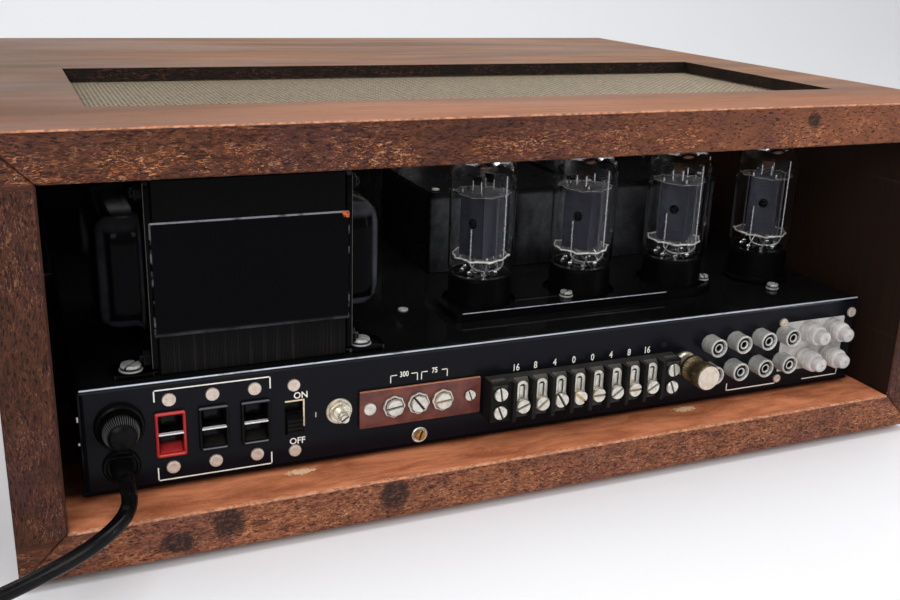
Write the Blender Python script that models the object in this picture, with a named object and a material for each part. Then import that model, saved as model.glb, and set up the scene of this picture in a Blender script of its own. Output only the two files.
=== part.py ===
"""A valve stereo receiver in a mitred wooden cabinet, seen best from its open back.

Metres, +Z up. The front faces -Y and the open back faces +Y. The origin lies on the
surface that the cabinet stands on, under the middle of the object without its cord.
"""

import math

import bmesh
import bpy
import numpy as np
from mathutils import Matrix, Vector

# Clearances and cutting overruns
GAP = 0.0003                 # between pieces that touch
SLIP = 0.0004                # between a moving piece and what guides it
OVERRUN = 0.002              # how far a cutter runs past the face it cuts

# Cabinet
OPENING_WIDTH = 0.423
OPENING_HEIGHT = 0.1397
BOARD = 0.0196
CABINET_DEPTH = 0.365
BOARD_EDGE = 0.0007
GLIDE_HEIGHT = 0.004
GLIDE_RADIUS = 0.0095
GLIDE_INSET = 0.032
GLIDE_ROOT = 0.003

# Cut-out in the cabinet top and its net
CUTOUT_FROM_SIDE = 0.022
CUTOUT_WIDTH = OPENING_WIDTH - 2 * CUTOUT_FROM_SIDE
CUTOUT_LENGTH = 0.135
CUTOUT_FROM_REAR = 0.052
NET_BELOW_TOP = 0.0065
NET_LEDGE = 0.007
NET_BORDER = 0.0075
NET_THICKNESS = 0.0016
NET_BAR = 0.0030
NET_COLUMNS = 15
NET_ROWS = 5

# How far the longest knob stands in front of the cabinet
FRONT_REACH = 0.020

# Chassis
CHASSIS_WIDTH = 0.405
CHASSIS_HEIGHT = 0.048
CHASSIS_RECESS = 0.023
CHASSIS_FRONT_SETBACK = 0.024
CHASSIS_LIFT = 0.0025
SHEET = 0.0012
FOLD_RADIUS = 0.0016
COVER_FOOT_RADIUS = 0.008
COVER_FOOT_INSET = 0.035
VENT_WIDTH = 0.003
VENT_LENGTH = 0.034
VENT_SPACING = 0.014
VENT_COUNT = 10

# Reference planes that follow from these sizes
CABINET_REAR = (CABINET_DEPTH + FRONT_REACH) / 2
CABINET_FRONT = CABINET_REAR - CABINET_DEPTH
FLOOR_TOP = GLIDE_HEIGHT + BOARD
CEILING = FLOOR_TOP + OPENING_HEIGHT
CABINET_TOP = CEILING + BOARD
APRON = CABINET_REAR - CHASSIS_RECESS
CHASSIS_LENGTH = CABINET_DEPTH - CHASSIS_RECESS - CHASSIS_FRONT_SETBACK
CHASSIS_BOTTOM = FLOOR_TOP + CHASSIS_LIFT
DECK = CHASSIS_BOTTOM + CHASSIS_HEIGHT

# Power transformer
CORE_WIDTH = 0.081
CORE_LENGTH = 0.100
CORE_HEIGHT = 0.083
CORE_FROM_SIDE = 0.033
CORE_FROM_APRON = 0.005
CORE_BEVEL = 0.0006
BAND_HEIGHT = 0.0485
BAND_THICKNESS = 0.0009
BAND_LIFT = 0.0172
BELL_FLANGE = 0.0026
BELL_REACH = 0.022
BELL_DOME_LENGTH = 0.074
BELL_DOME_HEIGHT = 0.052
BELL_DOME_LIFT = 0.014
BELL_ROUNDING = 0.0085
BELL_FOOT_LENGTH = 0.016
BELL_FOOT_WIDTH = 0.015
BELL_FOOT_THICKNESS = 0.002
BELL_GUSSET = 0.011
BELL_BOLT_RADIUS = 0.0042
BELL_BOLT_HEIGHT = 0.0032
BELL_BOLT_INSET = 0.0075

# Output transformer cans
CAN_LENGTH = 0.080
CAN_HEIGHT = 0.0455
CAN_FROM_SIDE = 0.194
CAN_FROM_FAR_SIDE = 0.020
CAN_FROM_APRON = 0.108
CAN_SPACE = 0.003
CAN_WIDTH = (CHASSIS_WIDTH - CAN_FROM_SIDE - CAN_FROM_FAR_SIDE - CAN_SPACE) / 2
CAN_CORNER = 0.0035
CAN_LID_STEP = 0.0012

# Output tubes
TUBE_COUNT = 4
TUBE_FIRST = 0.199
TUBE_SPACING = 0.0583
TUBE_FROM_APRON = 0.050
TUBE_BASE_RADIUS = 0.0161
TUBE_BASE_HEIGHT = 0.0175
TUBE_COLLAR_RADIUS = 0.0182
TUBE_COLLAR_HEIGHT = 0.0022
BULB_RADIUS = 0.0166
BULB_WALL = 0.0011
BULB_HEIGHT = 0.0625
BULB_SHOULDER = 0.0125
BULB_FOOT_RADIUS = 0.0150
STEM_RADIUS = 0.0062
MICA_RADIUS = 0.0135
MICA_THICKNESS = 0.0007
MICA_LOW = 0.0265
MICA_HIGH = 0.059
ANODE_WIDTH = 0.0215
ANODE_DEPTH = 0.0125
ANODE_SIDE = 0.0095
ANODE_HOLE = 0.0022
ANODE_HOLE_DEPTH = 0.0012
ANODE_HOLE_SHARE = 0.62
ROD_RADIUS = 0.0007
ROD_SPREAD = 0.0118
TUBE_STEPS = 16

# Socket cover plate under the first tubes
SOCKET_PLATE_HEIGHT = 0.004
SOCKET_PLATE_REACH = 0.022
SOCKET_PLATE_TUBES = 3
SOCKET_PLATE_CORNER = 0.003
SOCKET_HOLE_CLEARANCE = 0.0009

# Tuner and its capacitor
TUNER_WIDTH = 0.150
TUNER_LENGTH = 0.088
TUNER_HEIGHT = 0.036
TUNER_FROM_SIDE = 0.206
TUNER_FROM_APRON = 0.200
TUNER_CORNER = 0.0025
SHIELD_RADIUS = 0.0115
SHIELD_HEIGHT = 0.034
SHIELD_COUNT = 3
IF_CAN_SIDE = 0.019
IF_CAN_HEIGHT = 0.030
IF_CAN_COUNT = 4
IF_CAN_CORNER = 0.0015
TUNER_EDGE = 0.018
GANG_X = 0.078
GANG_AXIS_HEIGHT = 0.0435
GANG_FROM_APRON = 0.214
GANG_LENGTH = 0.074
GANG_WIDTH = 0.068
GANG_SHEET = 0.002
GANG_BASE = 0.0025
ROTOR_SHAFT_RADIUS = 0.0032
ROTOR_RADIUS = 0.026
ROTOR_PLATE = 0.0012
ROTOR_SPACING = 0.0090
ROTOR_PLATES = 6
STATOR_RADIUS = 0.029
STATOR_BORE = 0.0062
STATOR_BAR = 0.0045
DRUM_RADIUS = 0.040
DRUM_WIDTH = 0.0052
DRUM_GROOVE = 0.0012
DRUM_HUB_RADIUS = 0.0075
DRUM_HUB_LENGTH = 0.0042
DRUM_WINDOW_INNER = 0.013
DRUM_WINDOW_OUTER = 0.033
DRUM_SPOKES = 4
DRUM_SPOKE_DEG = 22.0

# Front panel, dial and pointer
PANEL_MARGIN = 0.0008
PANEL_SETBACK = 0.004
PANEL_THICKNESS = 0.005
PANEL_EDGE = 0.0006
WINDOW_WIDTH = 0.220
WINDOW_HEIGHT = 0.040
WINDOW_X = -0.045
WINDOW_UP = 0.098
WINDOW_CORNER = 0.004
PANEL_POST_RADIUS = 0.004
PANEL_POST_INSET = 0.018
DIAL_PLATE_THICKNESS = 0.0015
DIAL_PLATE_TOP = 0.131
DIAL_PLATE_FROM_SIDE = 0.0115
DIAL_PLATE_WIDTH = OPENING_WIDTH - 2 * DIAL_PLATE_FROM_SIDE
POINTER_WIDTH = 0.0012
POINTER_LENGTH = 0.044
POINTER_THICKNESS = 0.0008
CARRIAGE_WIDTH = 0.014
CARRIAGE_WALL = 0.0010
CARRIAGE_DROP = 0.0055

# Knobs and switches on the front
KNOB_ROW_UP = 0.030
KNOB_FROM_SIDE = 0.0515
KNOB_FIRST = KNOB_FROM_SIDE - OPENING_WIDTH / 2
KNOB_SPACING = 0.064
KNOB_NAMES = ("selector_knob", "volume_knob", "balance_knob", "bass_knob", "treble_knob")
KNOB_RADIUS = 0.0125
KNOB_SKIRT_RADIUS = 0.0145
KNOB_SKIRT = 0.003
KNOB_LENGTH = 0.016
KNOB_CHAMFER = 0.0014
KNOB_FLUTE = 0.0006
KNOB_STEPS = 20
KNOB_OFF_PANEL = 0.0010
KNOB_SHAFT_RADIUS = 0.003
KNOB_SHAFT_IN = 0.010
KNOB_MARK_WIDTH = 0.0014
KNOB_MARK_DEPTH = 0.0008
TUNING_X = 0.148
TUNING_UP = 0.092
TUNING_RADIUS = 0.024
TUNING_SKIRT_RADIUS = 0.027
TUNING_SHAFT_RADIUS = 0.005
TUNING_SHAFT_BEHIND = 0.034
TUNING_BORE_DEPTH = 0.014
FLYWHEEL_RADIUS = 0.022
FLYWHEEL_WIDTH = 0.009
FLYWHEEL_FROM_PLATE = 0.010
ROCKER_X = 0.160
ROCKER_WIDTH = 0.012
ROCKER_HEIGHT = 0.022
ROCKER_STAND = 0.0024
ROCKER_CORNER = 0.0012
ROCKER_PIVOT_DEPTH = 0.0032
ROCKER_TILT_DEG = 8.0
ROCKER_PIN_RADIUS = 0.0011
ROCKER_PIN_END = 0.0016
ROCKER_BOX_WALL = 0.0012
ROCKER_BOX_DEPTH = 0.0080

# Fuse holder and cap
FUSE_U = 0.0149
FUSE_V = 0.0305
FUSE_RIM_RADIUS = 0.0102
FUSE_RIM_HEIGHT = 0.0030
FUSE_BODY_RADIUS = 0.0072
FUSE_BODY_LENGTH = 0.030
FUSE_BORE_RADIUS = 0.0052
FUSE_BORE_DEPTH = 0.018
FUSE_CAP_RADIUS = 0.0076
FUSE_CAP_LENGTH = 0.0105
FUSE_CAP_STEM = 0.014
FUSE_CAP_KNURL = 0.0005
FUSE_CAP_STEPS = 24
FUSE_CAP_CROWN = 0.0016

# Strain relief where the cord comes out
RELIEF_U = 0.0147
RELIEF_V = 0.0122
RELIEF_RING_RADIUS = 0.0078
RELIEF_RING_HEIGHT = 0.0028
RELIEF_BARREL_RADIUS = 0.0066
RELIEF_ROOT_RADIUS = 0.0055
RELIEF_TIP_RADIUS = 0.0038
RELIEF_OUTSIDE = 0.0145
RELIEF_INSIDE = 0.0075

# Mains outlets
OUTLET_FIRST = 0.0353
OUTLET_SPACING = 0.0180
OUTLET_NAMES = ("outlet_red", "outlet_black_inner", "outlet_black_outer")
OUTLET_V = 0.024
OUTLET_WIDTH = 0.0126
OUTLET_HEIGHT = 0.0202
OUTLET_PROUD = 0.0022
OUTLET_BODY_WIDTH = 0.0112
OUTLET_BODY_HEIGHT = 0.0188
OUTLET_BODY_DEPTH = 0.013
OUTLET_SLOT_WIDTH = 0.0086
OUTLET_SLOT_HEIGHT = 0.0068
OUTLET_SLOT_DEPTH = 0.0105
OUTLET_BRIDGE = 0.0022
OUTLET_CORNER = 0.0010

# Speaker slide switch
SWITCH_U = 0.0885
SWITCH_V = 0.0232
SWITCH_WINDOW_WIDTH = 0.0078
SWITCH_WINDOW_HEIGHT = 0.0152
SWITCH_TRAVEL = 0.0066
SWITCH_BODY_WIDTH = 0.0118
SWITCH_BODY_HEIGHT = 0.0220
SWITCH_BODY_DEPTH = 0.0095
SWITCH_SLIDER_DEPTH = 0.0022
SWITCH_SLIDER_OVERLAP = 0.0012
LEVER_WIDTH = 0.0068
LEVER_PROUD = 0.0022
LEVER_RIB = 0.0006
LEVER_RIBS = 4

# Muting control
MUTING_U = 0.109
MUTING_V = 0.0234
MUTING_WASHER_RADIUS = 0.0061
MUTING_WASHER_HEIGHT = 0.0009
MUTING_NUT_RADIUS = 0.0052
MUTING_NUT_HEIGHT = 0.0024
MUTING_BUSH_RADIUS = 0.0034
MUTING_BUSH_PROUD = 0.0068
MUTING_SHAFT_RADIUS = 0.0022
MUTING_SHAFT_PROUD = 0.0098
MUTING_SHAFT_IN = 0.006
MUTING_SLOT_WIDTH = 0.0009
MUTING_SLOT_DEPTH = 0.0014
MUTING_POT_RADIUS = 0.0085
MUTING_POT_DEPTH = 0.0095
MUTING_STEPS = 14

# Antenna board
ANTENNA_U = 0.1480
ANTENNA_V = 0.0224
ANTENNA_WIDTH = 0.0595
ANTENNA_HEIGHT = 0.0178
ANTENNA_THICKNESS = 0.0016
ANTENNA_SCREW_SPACING = 0.0120
ANTENNA_SCREW_COUNT = 3
ANTENNA_SCREW_OFFSET = -0.0010
ANTENNA_WASHER_RADIUS = 0.0044
ANTENNA_WASHER_HEIGHT = 0.0018
ANTENNA_HEAD_RADIUS = 0.0036
ANTENNA_HEAD_HEIGHT = 0.0022

# Speaker terminal strip
STRIP_CENTRE = 0.2325
STRIP_V = 0.0205
STRIP_SPACING = 0.0103
STRIP_TERMINALS = 8
STRIP_HEIGHT = 0.0200
STRIP_BASE = 0.0055
STRIP_FIN = 0.0018
STRIP_PROUD = 0.0118
STRIP_END = 0.0112
STRIP_END_PROUD = 0.0092

# Ground post and its thumb nut
GROUND_U = 0.2935
GROUND_V = 0.0232
GROUND_FLANGE_RADIUS = 0.0048
GROUND_FLANGE_HEIGHT = 0.0016
GROUND_STUD_RADIUS = 0.0026
GROUND_PROUD = 0.0218
GROUND_BEHIND = 0.007
GROUND_NUT_RADIUS = 0.0068
GROUND_NUT_WAIST = 0.0048
GROUND_NUT_START = 0.0060
GROUND_NUT_HEAD = 0.0070
GROUND_NUT_KNURL = 0.0003
GROUND_NUT_STEPS = 20

# Phono jacks on their board behind the apron
JACK_FIRST = 0.3080
JACK_SPACING = 0.0159
JACK_COLUMNS = 6
JACK_CAPPED_COLUMNS = 2
JACK_LOW_V = 0.0172
JACK_RISE = 0.0152
JACK_RADIUS = 0.0041
JACK_PROUD = 0.0105
JACK_BORE = 0.0016
JACK_BORE_DEPTH = 0.0085
JACK_COLLAR_RADIUS = 0.0054
JACK_COLLAR_HEIGHT = 0.0012
JACK_STEPS = 10
JACK_BOARD_MARGIN = 0.0085
JACK_BOARD_THICKNESS = 0.0016
JACK_CAP_RADIUS = 0.0060
JACK_CAP_BODY = 0.0116
JACK_CAP_NOSE_RADIUS = 0.0044
JACK_CAP_NOSE = 0.0042
JACK_CAP_EDGE = 0.0006
JACK_CAP_STEPS = 12

# Power cord: exit, free route, coil, tie and plug
CORD_DIAMETER = 0.0064
CORD_RADIUS = CORD_DIAMETER / 2
COIL_CENTRE_X = 0.300
COIL_START_BEHIND = 0.016
COIL_SPACING = 0.0071
COIL_INNER = 0.0254
COIL_TURNS = 3.5
COIL_OUT_TURNS = 3.25
COIL_POINTS = 24
COIL_TAIL = 0.034
COIL_LIFT = 0.0011
TIE_WIDTH = 0.009
TIE_THICKNESS = 0.0008
TIE_SLACK = 0.0005
TIE_ANGLE_DEG = 208.0
PLUG_RADIUS = 0.0110
PLUG_LENGTH = 0.026
PLUG_NECK_RADIUS = 0.0056
PLUG_NECK = 0.012
PLUG_FACE = 0.0025
BLADE_WIDTH = 0.0063
BLADE_THICKNESS = 0.0015
BLADE_LENGTH = 0.017
BLADE_SPACING = 0.0127
BLADE_ROOT = 0.004

# The free cord's route, chosen by hand between the strain relief and the coil: distance
# right of the apron's cord end, distance out of the apron, height over the resting surface
CORD_ROUTE = (
    (0.0147, 0.0212, 0.0383),
    (0.0146, 0.0275, 0.0381),
    (0.0136, 0.0336, 0.0374),
    (0.0110, 0.0392, 0.0362),
    (0.0066, 0.0438, 0.0344),
    (0.0008, 0.0469, 0.0320),
    (-0.0058, 0.0484, 0.0291),
    (-0.0135, 0.0487, 0.0257),
    (-0.0240, 0.0477, 0.0209),
    (-0.0355, 0.0458, 0.0158),
    (-0.0475, 0.0434, 0.0111),
    (-0.0595, 0.0413, 0.0073),
    (-0.0700, 0.0397, 0.0051),
)


def material(name, colour, roughness, metallic=0.0, transmission=0.0):
    """A Principled finish by name, made once and shared."""
    made = bpy.data.materials.get(name)
    if made:
        return made
    made = bpy.data.materials.new(name)
    made.use_nodes = True
    shader = made.node_tree.nodes["Principled BSDF"]
    shader.inputs["Base Color"].default_value = (*colour, 1.0)
    shader.inputs["Roughness"].default_value = roughness
    shader.inputs["Metallic"].default_value = metallic
    shader.inputs["Transmission Weight"].default_value = transmission
    made.diffuse_color = (*colour, 1.0)
    made.roughness = roughness
    made.metallic = metallic
    return made


FINISHES = {
    "walnut": ((0.20, 0.085, 0.04), 0.5),
    "net": ((0.42, 0.40, 0.33), 0.45, 0.7),
    "black_enamel": ((0.012, 0.012, 0.014), 0.18, 0.2),
    "transformer_black": ((0.014, 0.014, 0.016), 0.35, 0.1),
    "phenolic_black": ((0.015, 0.014, 0.014), 0.4),
    "phenolic_brown": ((0.16, 0.045, 0.03), 0.45),
    "outlet_red": ((0.45, 0.03, 0.025), 0.35),
    "bulb_glass": ((0.95, 0.97, 0.98), 0.02, 0.0, 1.0),
    "anode_grey": ((0.22, 0.225, 0.235), 0.5, 0.4),
    "tin_plate": ((0.62, 0.62, 0.60), 0.32, 1.0),
    "brass": ((0.72, 0.56, 0.28), 0.3, 1.0),
    "aged_nickel": ((0.5, 0.46, 0.36), 0.38, 1.0),
    "switch_black": ((0.018, 0.018, 0.02), 0.35),
    "cap_white": ((0.78, 0.79, 0.78), 0.35),
    "cord_black": ((0.012, 0.012, 0.012), 0.4),
    "panel_black": ((0.01, 0.01, 0.012), 0.08),
    "dial_ground": ((0.05, 0.09, 0.10), 0.4),
    "pointer_red": ((0.6, 0.06, 0.03), 0.4),
    "knob_alloy": ((0.70, 0.69, 0.66), 0.3, 1.0),
}


def finish(name):
    """The named finish from the table above."""
    return material(name, *FINISHES[name])


# Solids in a piece's own frame

def solid(name, bm, finish_name=None, smooth=True):
    """A new object from a bmesh, with its normals pointing out."""
    bm.normal_update()
    bmesh.ops.recalc_face_normals(bm, faces=bm.faces)
    mesh = bpy.data.meshes.new(name)
    bm.to_mesh(mesh)
    bm.free()
    piece = bpy.data.objects.new(name, mesh)
    bpy.context.scene.collection.objects.link(piece)
    if finish_name:
        mesh.materials.append(finish(finish_name))
    if smooth:
        shade_round(mesh)
    return piece


def shade_round(mesh):
    """Smooth shading on the round faces, with edges over 35 degrees kept sharp."""
    mesh.shade_smooth()
    mesh.set_sharp_from_angle(angle=math.radians(35))


def block(low, high):
    """A box between two corners."""
    low, high = Vector(low), Vector(high)
    bm = bmesh.new()
    bmesh.ops.create_cube(bm, size=1.0)
    middle = (low + high) / 2
    for vert in bm.verts:
        vert.co = middle + vert.co * (high - low)
    return bm


def slab(outline, start, end):
    """An outline in x and y, carried along z from start to end."""
    bm = bmesh.new()
    face = bm.faces.new([bm.verts.new((x, y, start)) for x, y in outline])
    grown = bmesh.ops.extrude_face_region(bm, geom=[face])["geom"]
    moved = [part for part in grown if isinstance(part, bmesh.types.BMVert)]
    bmesh.ops.translate(bm, verts=moved, vec=(0, 0, end - start))
    return bm


def lathe(profile, steps, closed=False):
    """A solid turned about z from (radius, height) points, each radius a value or a function of the step.

    A closed profile meets itself again, as for a ring or a bulb open at its foot.
    """
    bm = bmesh.new()
    rings = []
    for radius, height in profile:
        if not callable(radius) and radius == 0:
            rings.append([bm.verts.new((0, 0, height))])
            continue
        ring = []
        for step in range(steps):
            reach = radius(step) if callable(radius) else radius
            turn = 2 * math.pi * step / steps
            ring.append(bm.verts.new((reach * math.cos(turn), reach * math.sin(turn), height)))
        rings.append(ring)
    pairs = list(zip(rings, rings[1:]))
    if closed:
        pairs.append((rings[-1], rings[0]))
    for low, high in pairs:
        if len(low) == len(high) == 1:
            continue
        for step in range(steps):
            after = (step + 1) % steps
            corners = []
            for ring, at in ((low, step), (low, after), (high, after), (high, step)):
                vert = ring[at % len(ring)]
                if vert not in corners:
                    corners.append(vert)
            bm.faces.new(corners)
    return bm


def knurled(radius, depth):
    """A radius that dips by depth at every second step round the turn."""
    return lambda step: radius - depth * (step % 2)


def rounded_rectangle(width, height, corner, steps=3):
    """Outline points of a rectangle about the origin with arcs at its corners."""
    points = []
    for turn, (sx, sy) in enumerate(((1, 1), (-1, 1), (-1, -1), (1, -1))):
        for step in range(steps + 1):
            angle = math.radians(90 * (turn + step / steps))
            points.append((
                sx * (width / 2 - corner) + corner * math.cos(angle),
                sy * (height / 2 - corner) + corner * math.sin(angle),
            ))
    return points


def hole_radius(radius):
    """The radius that leaves the gap round a piece even at the flats of a hole of few sides."""
    return (radius + GAP) / math.cos(math.pi / JACK_STEPS)


def circle(radius, steps, centre=(0, 0)):
    """Outline points of a circle."""
    turns = [2 * math.pi * step / steps for step in range(steps)]
    return [(centre[0] + radius * math.cos(a), centre[1] + radius * math.sin(a)) for a in turns]


def shifted(bm, x=0, y=0, z=0):
    """The same bmesh moved."""
    bmesh.ops.translate(bm, verts=bm.verts, vec=(x, y, z))
    return bm


def exchanged(bm, order):
    """The same bmesh with its axes in another order, such as (0, 2, 1) for y and z exchanged."""
    for vert in bm.verts:
        vert.co = [vert.co[axis] for axis in order]
    return bm


def soften(piece, width, segments=1, limit_deg=30):
    """Bevels the piece's sharp edges and keeps the result in its mesh."""
    step = piece.modifiers.new("soft_edges", "BEVEL")
    step.width = width
    step.segments = segments
    step.limit_method = "ANGLE"
    step.angle_limit = math.radians(limit_deg)
    return settle(piece)


def settle(piece):
    """Puts the result of the piece's modifiers into its mesh."""
    bpy.context.view_layer.update()
    graph = bpy.context.evaluated_depsgraph_get()
    mesh = bpy.data.meshes.new_from_object(piece.evaluated_get(graph))
    piece.modifiers.clear()
    old = piece.data
    piece.data = mesh
    bpy.data.meshes.remove(old)
    mesh.name = piece.name
    shade_round(mesh)
    return piece


def combine(piece, operation, tools):
    """Joins to the piece, or cuts from it, each bmesh in tools, with exact Booleans."""
    helpers = []
    for bm in tools:
        helper = solid(piece.name + "_tool", bm, smooth=False)
        helpers.append(helper)
        step = piece.modifiers.new("shape", "BOOLEAN")
        step.operation = operation
        step.solver = "EXACT"
        step.object = helper
    settle(piece)
    for helper in helpers:
        bpy.data.objects.remove(helper)
    return piece


def add_to(piece, *tools):
    return combine(piece, "UNION", tools)


def cut_from(piece, *tools):
    return combine(piece, "DIFFERENCE", tools)


# Placing pieces

SEEN_FROM_REAR = Matrix(((-1, 0, 0), (0, 0, 1), (0, 1, 0))).to_4x4()
SEEN_FROM_FRONT = Matrix(((1, 0, 0), (0, 0, -1), (0, 1, 0))).to_4x4()


def on_apron(piece, u, v, proud=0.0):
    """Places a piece made with x right, y up and z out of the rear apron. u runs right from its cord end."""
    place = Vector((CHASSIS_WIDTH / 2 - u, APRON + proud, CHASSIS_BOTTOM + v))
    piece.matrix_world = Matrix.Translation(place) @ SEEN_FROM_REAR
    return piece


def on_front(piece, x, up, behind):
    """Places a piece made with x right, y up and z towards the viewer, behind the cabinet's front edge."""
    place = Vector((x, CABINET_FRONT + behind, FLOOR_TOP + up))
    piece.matrix_world = Matrix.Translation(place) @ SEEN_FROM_FRONT
    return piece


def on_deck(piece, u, back, up=0.0):
    """Places an upright piece on the chassis top, u from the cord end and back from the apron."""
    piece.location = (CHASSIS_WIDTH / 2 - u, APRON - back, DECK + GAP + up)
    return piece


# Cabinet

def board(name, corners):
    """One mitred board: its end outline in x and z, carried along the cabinet's depth."""
    bm = exchanged(slab(corners, CABINET_FRONT, CABINET_REAR), (0, 2, 1))
    return soften(solid(name, bm, "walnut"), BOARD_EDGE)


def cabinet():
    """Four boards with mitred corners; the top has the ventilation cut-out, the bottom its glides."""
    inner = OPENING_WIDTH / 2
    outer = inner + BOARD
    slack = GAP / math.sqrt(2)
    for name, side in (("cabinet_side_right", -1), ("cabinet_side_left", 1)):
        board(name, [
            (side * outer, GLIDE_HEIGHT + slack),
            (side * outer, CABINET_TOP - slack),
            (side * inner, CEILING - slack),
            (side * inner, FLOOR_TOP + slack),
        ])
    top = board("cabinet_top", [
        (-outer + slack, CABINET_TOP), (-inner + slack, CEILING),
        (inner - slack, CEILING), (outer - slack, CABINET_TOP),
    ])
    far = CABINET_REAR - CUTOUT_FROM_REAR
    near = far - CUTOUT_LENGTH
    net_top = CABINET_TOP - NET_BELOW_TOP
    cut_from(
        top,
        block((-CUTOUT_WIDTH / 2, near, CEILING - OVERRUN), (CUTOUT_WIDTH / 2, far, CABINET_TOP + OVERRUN)),
        block(
            (-CUTOUT_WIDTH / 2 - NET_LEDGE, near - NET_LEDGE, CEILING - OVERRUN),
            (CUTOUT_WIDTH / 2 + NET_LEDGE, far + NET_LEDGE, net_top),
        ),
    )
    bottom = board("cabinet_bottom", [
        (-outer + slack, GLIDE_HEIGHT), (outer - slack, GLIDE_HEIGHT),
        (inner - slack, FLOOR_TOP), (-inner + slack, FLOOR_TOP),
    ])
    glides = []
    for x in (-inner + GLIDE_INSET, inner - GLIDE_INSET):
        for y in (CABINET_FRONT + GLIDE_INSET, CABINET_REAR - GLIDE_INSET):
            disc = slab(circle(GLIDE_RADIUS, TUBE_STEPS, (x, y)), 0, GLIDE_HEIGHT + GLIDE_ROOT)
            glides.append(disc)
    add_to(bottom, *glides)


def net_lines(length, count):
    """Places along one side of the net: the border, then bar and gap by turns."""
    opening = length - 2 * (NET_BORDER + NET_LEDGE)
    mesh_gap = (opening - (count - 1) * NET_BAR) / count
    places = [0, NET_BORDER + NET_LEDGE]
    for _ in range(count - 1):
        places += [places[-1] + mesh_gap, places[-1] + mesh_gap + NET_BAR]
    places += [places[-1] + mesh_gap, length]
    return [place - length / 2 for place in places]


def top_grille():
    """The flat metal net in its rebate: a border and crossing bars round open gaps."""
    width = CUTOUT_WIDTH + 2 * (NET_LEDGE - GAP)
    length = CUTOUT_LENGTH + 2 * (NET_LEDGE - GAP)
    xs, ys = net_lines(width, NET_COLUMNS), net_lines(length, NET_ROWS)
    bm = bmesh.new()
    layers = []
    for z in (0, NET_THICKNESS):
        layers.append([[bm.verts.new((x, y, z)) for y in ys] for x in xs])

    def is_metal(i, j):
        inside = 0 <= i < len(xs) - 1 and 0 <= j < len(ys) - 1
        return inside and not (i % 2 == 1 and j % 2 == 1)

    low, high = layers
    for i in range(len(xs) - 1):
        for j in range(len(ys) - 1):
            if not is_metal(i, j):
                continue
            bm.faces.new((high[i][j], high[i + 1][j], high[i + 1][j + 1], high[i][j + 1]))
            bm.faces.new((low[i][j], low[i][j + 1], low[i + 1][j + 1], low[i + 1][j]))
            walls = (
                (not is_metal(i - 1, j), (i, j), (i, j + 1)),
                (not is_metal(i + 1, j), (i + 1, j + 1), (i + 1, j)),
                (not is_metal(i, j - 1), (i + 1, j), (i, j)),
                (not is_metal(i, j + 1), (i, j + 1), (i + 1, j + 1)),
            )
            for open_side, (a, b), (c, d) in walls:
                if open_side:
                    bm.faces.new((low[a][b], low[c][d], high[c][d], high[a][b]))
    piece = solid("top_grille", bm, "net", smooth=False)
    middle = CABINET_REAR - CUTOUT_FROM_REAR - CUTOUT_LENGTH / 2
    piece.location = (0, middle, CABINET_TOP - NET_BELOW_TOP - NET_THICKNESS - GAP)


# Chassis

def apron_holes():
    """Cutters for every fitting in the rear apron, each with its clearance, in the apron's frame."""
    def hole(radius, u, v):
        return slab(circle(hole_radius(radius), JACK_STEPS, (u, v)), -SHEET - OVERRUN, OVERRUN)

    def window(width, height, u, v):
        half_width, half_height = width / 2 + GAP, height / 2 + GAP
        low = (u - half_width, v - half_height, -SHEET - OVERRUN)
        return block(low, (u + half_width, v + half_height, OVERRUN))

    tools = [
        hole(FUSE_BODY_RADIUS, FUSE_U, FUSE_V),
        hole(RELIEF_BARREL_RADIUS, RELIEF_U, RELIEF_V),
        window(SWITCH_WINDOW_WIDTH, SWITCH_WINDOW_HEIGHT, SWITCH_U, SWITCH_V),
        hole(MUTING_BUSH_RADIUS, MUTING_U, MUTING_V),
        hole(GROUND_STUD_RADIUS, GROUND_U, GROUND_V),
    ]
    for place in range(len(OUTLET_NAMES)):
        u = OUTLET_FIRST + place * OUTLET_SPACING
        tools.append(window(OUTLET_BODY_WIDTH, OUTLET_BODY_HEIGHT, u, OUTLET_V))
    for u, v in jack_places():
        tools.append(hole(JACK_RADIUS, u, v))
    return tools


def front_shaft_places():
    """x and height above the cabinet floor of each knob shaft in the lower row."""
    return [(KNOB_FIRST + place * KNOB_SPACING, KNOB_ROW_UP) for place in range(len(KNOB_NAMES))]


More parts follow.
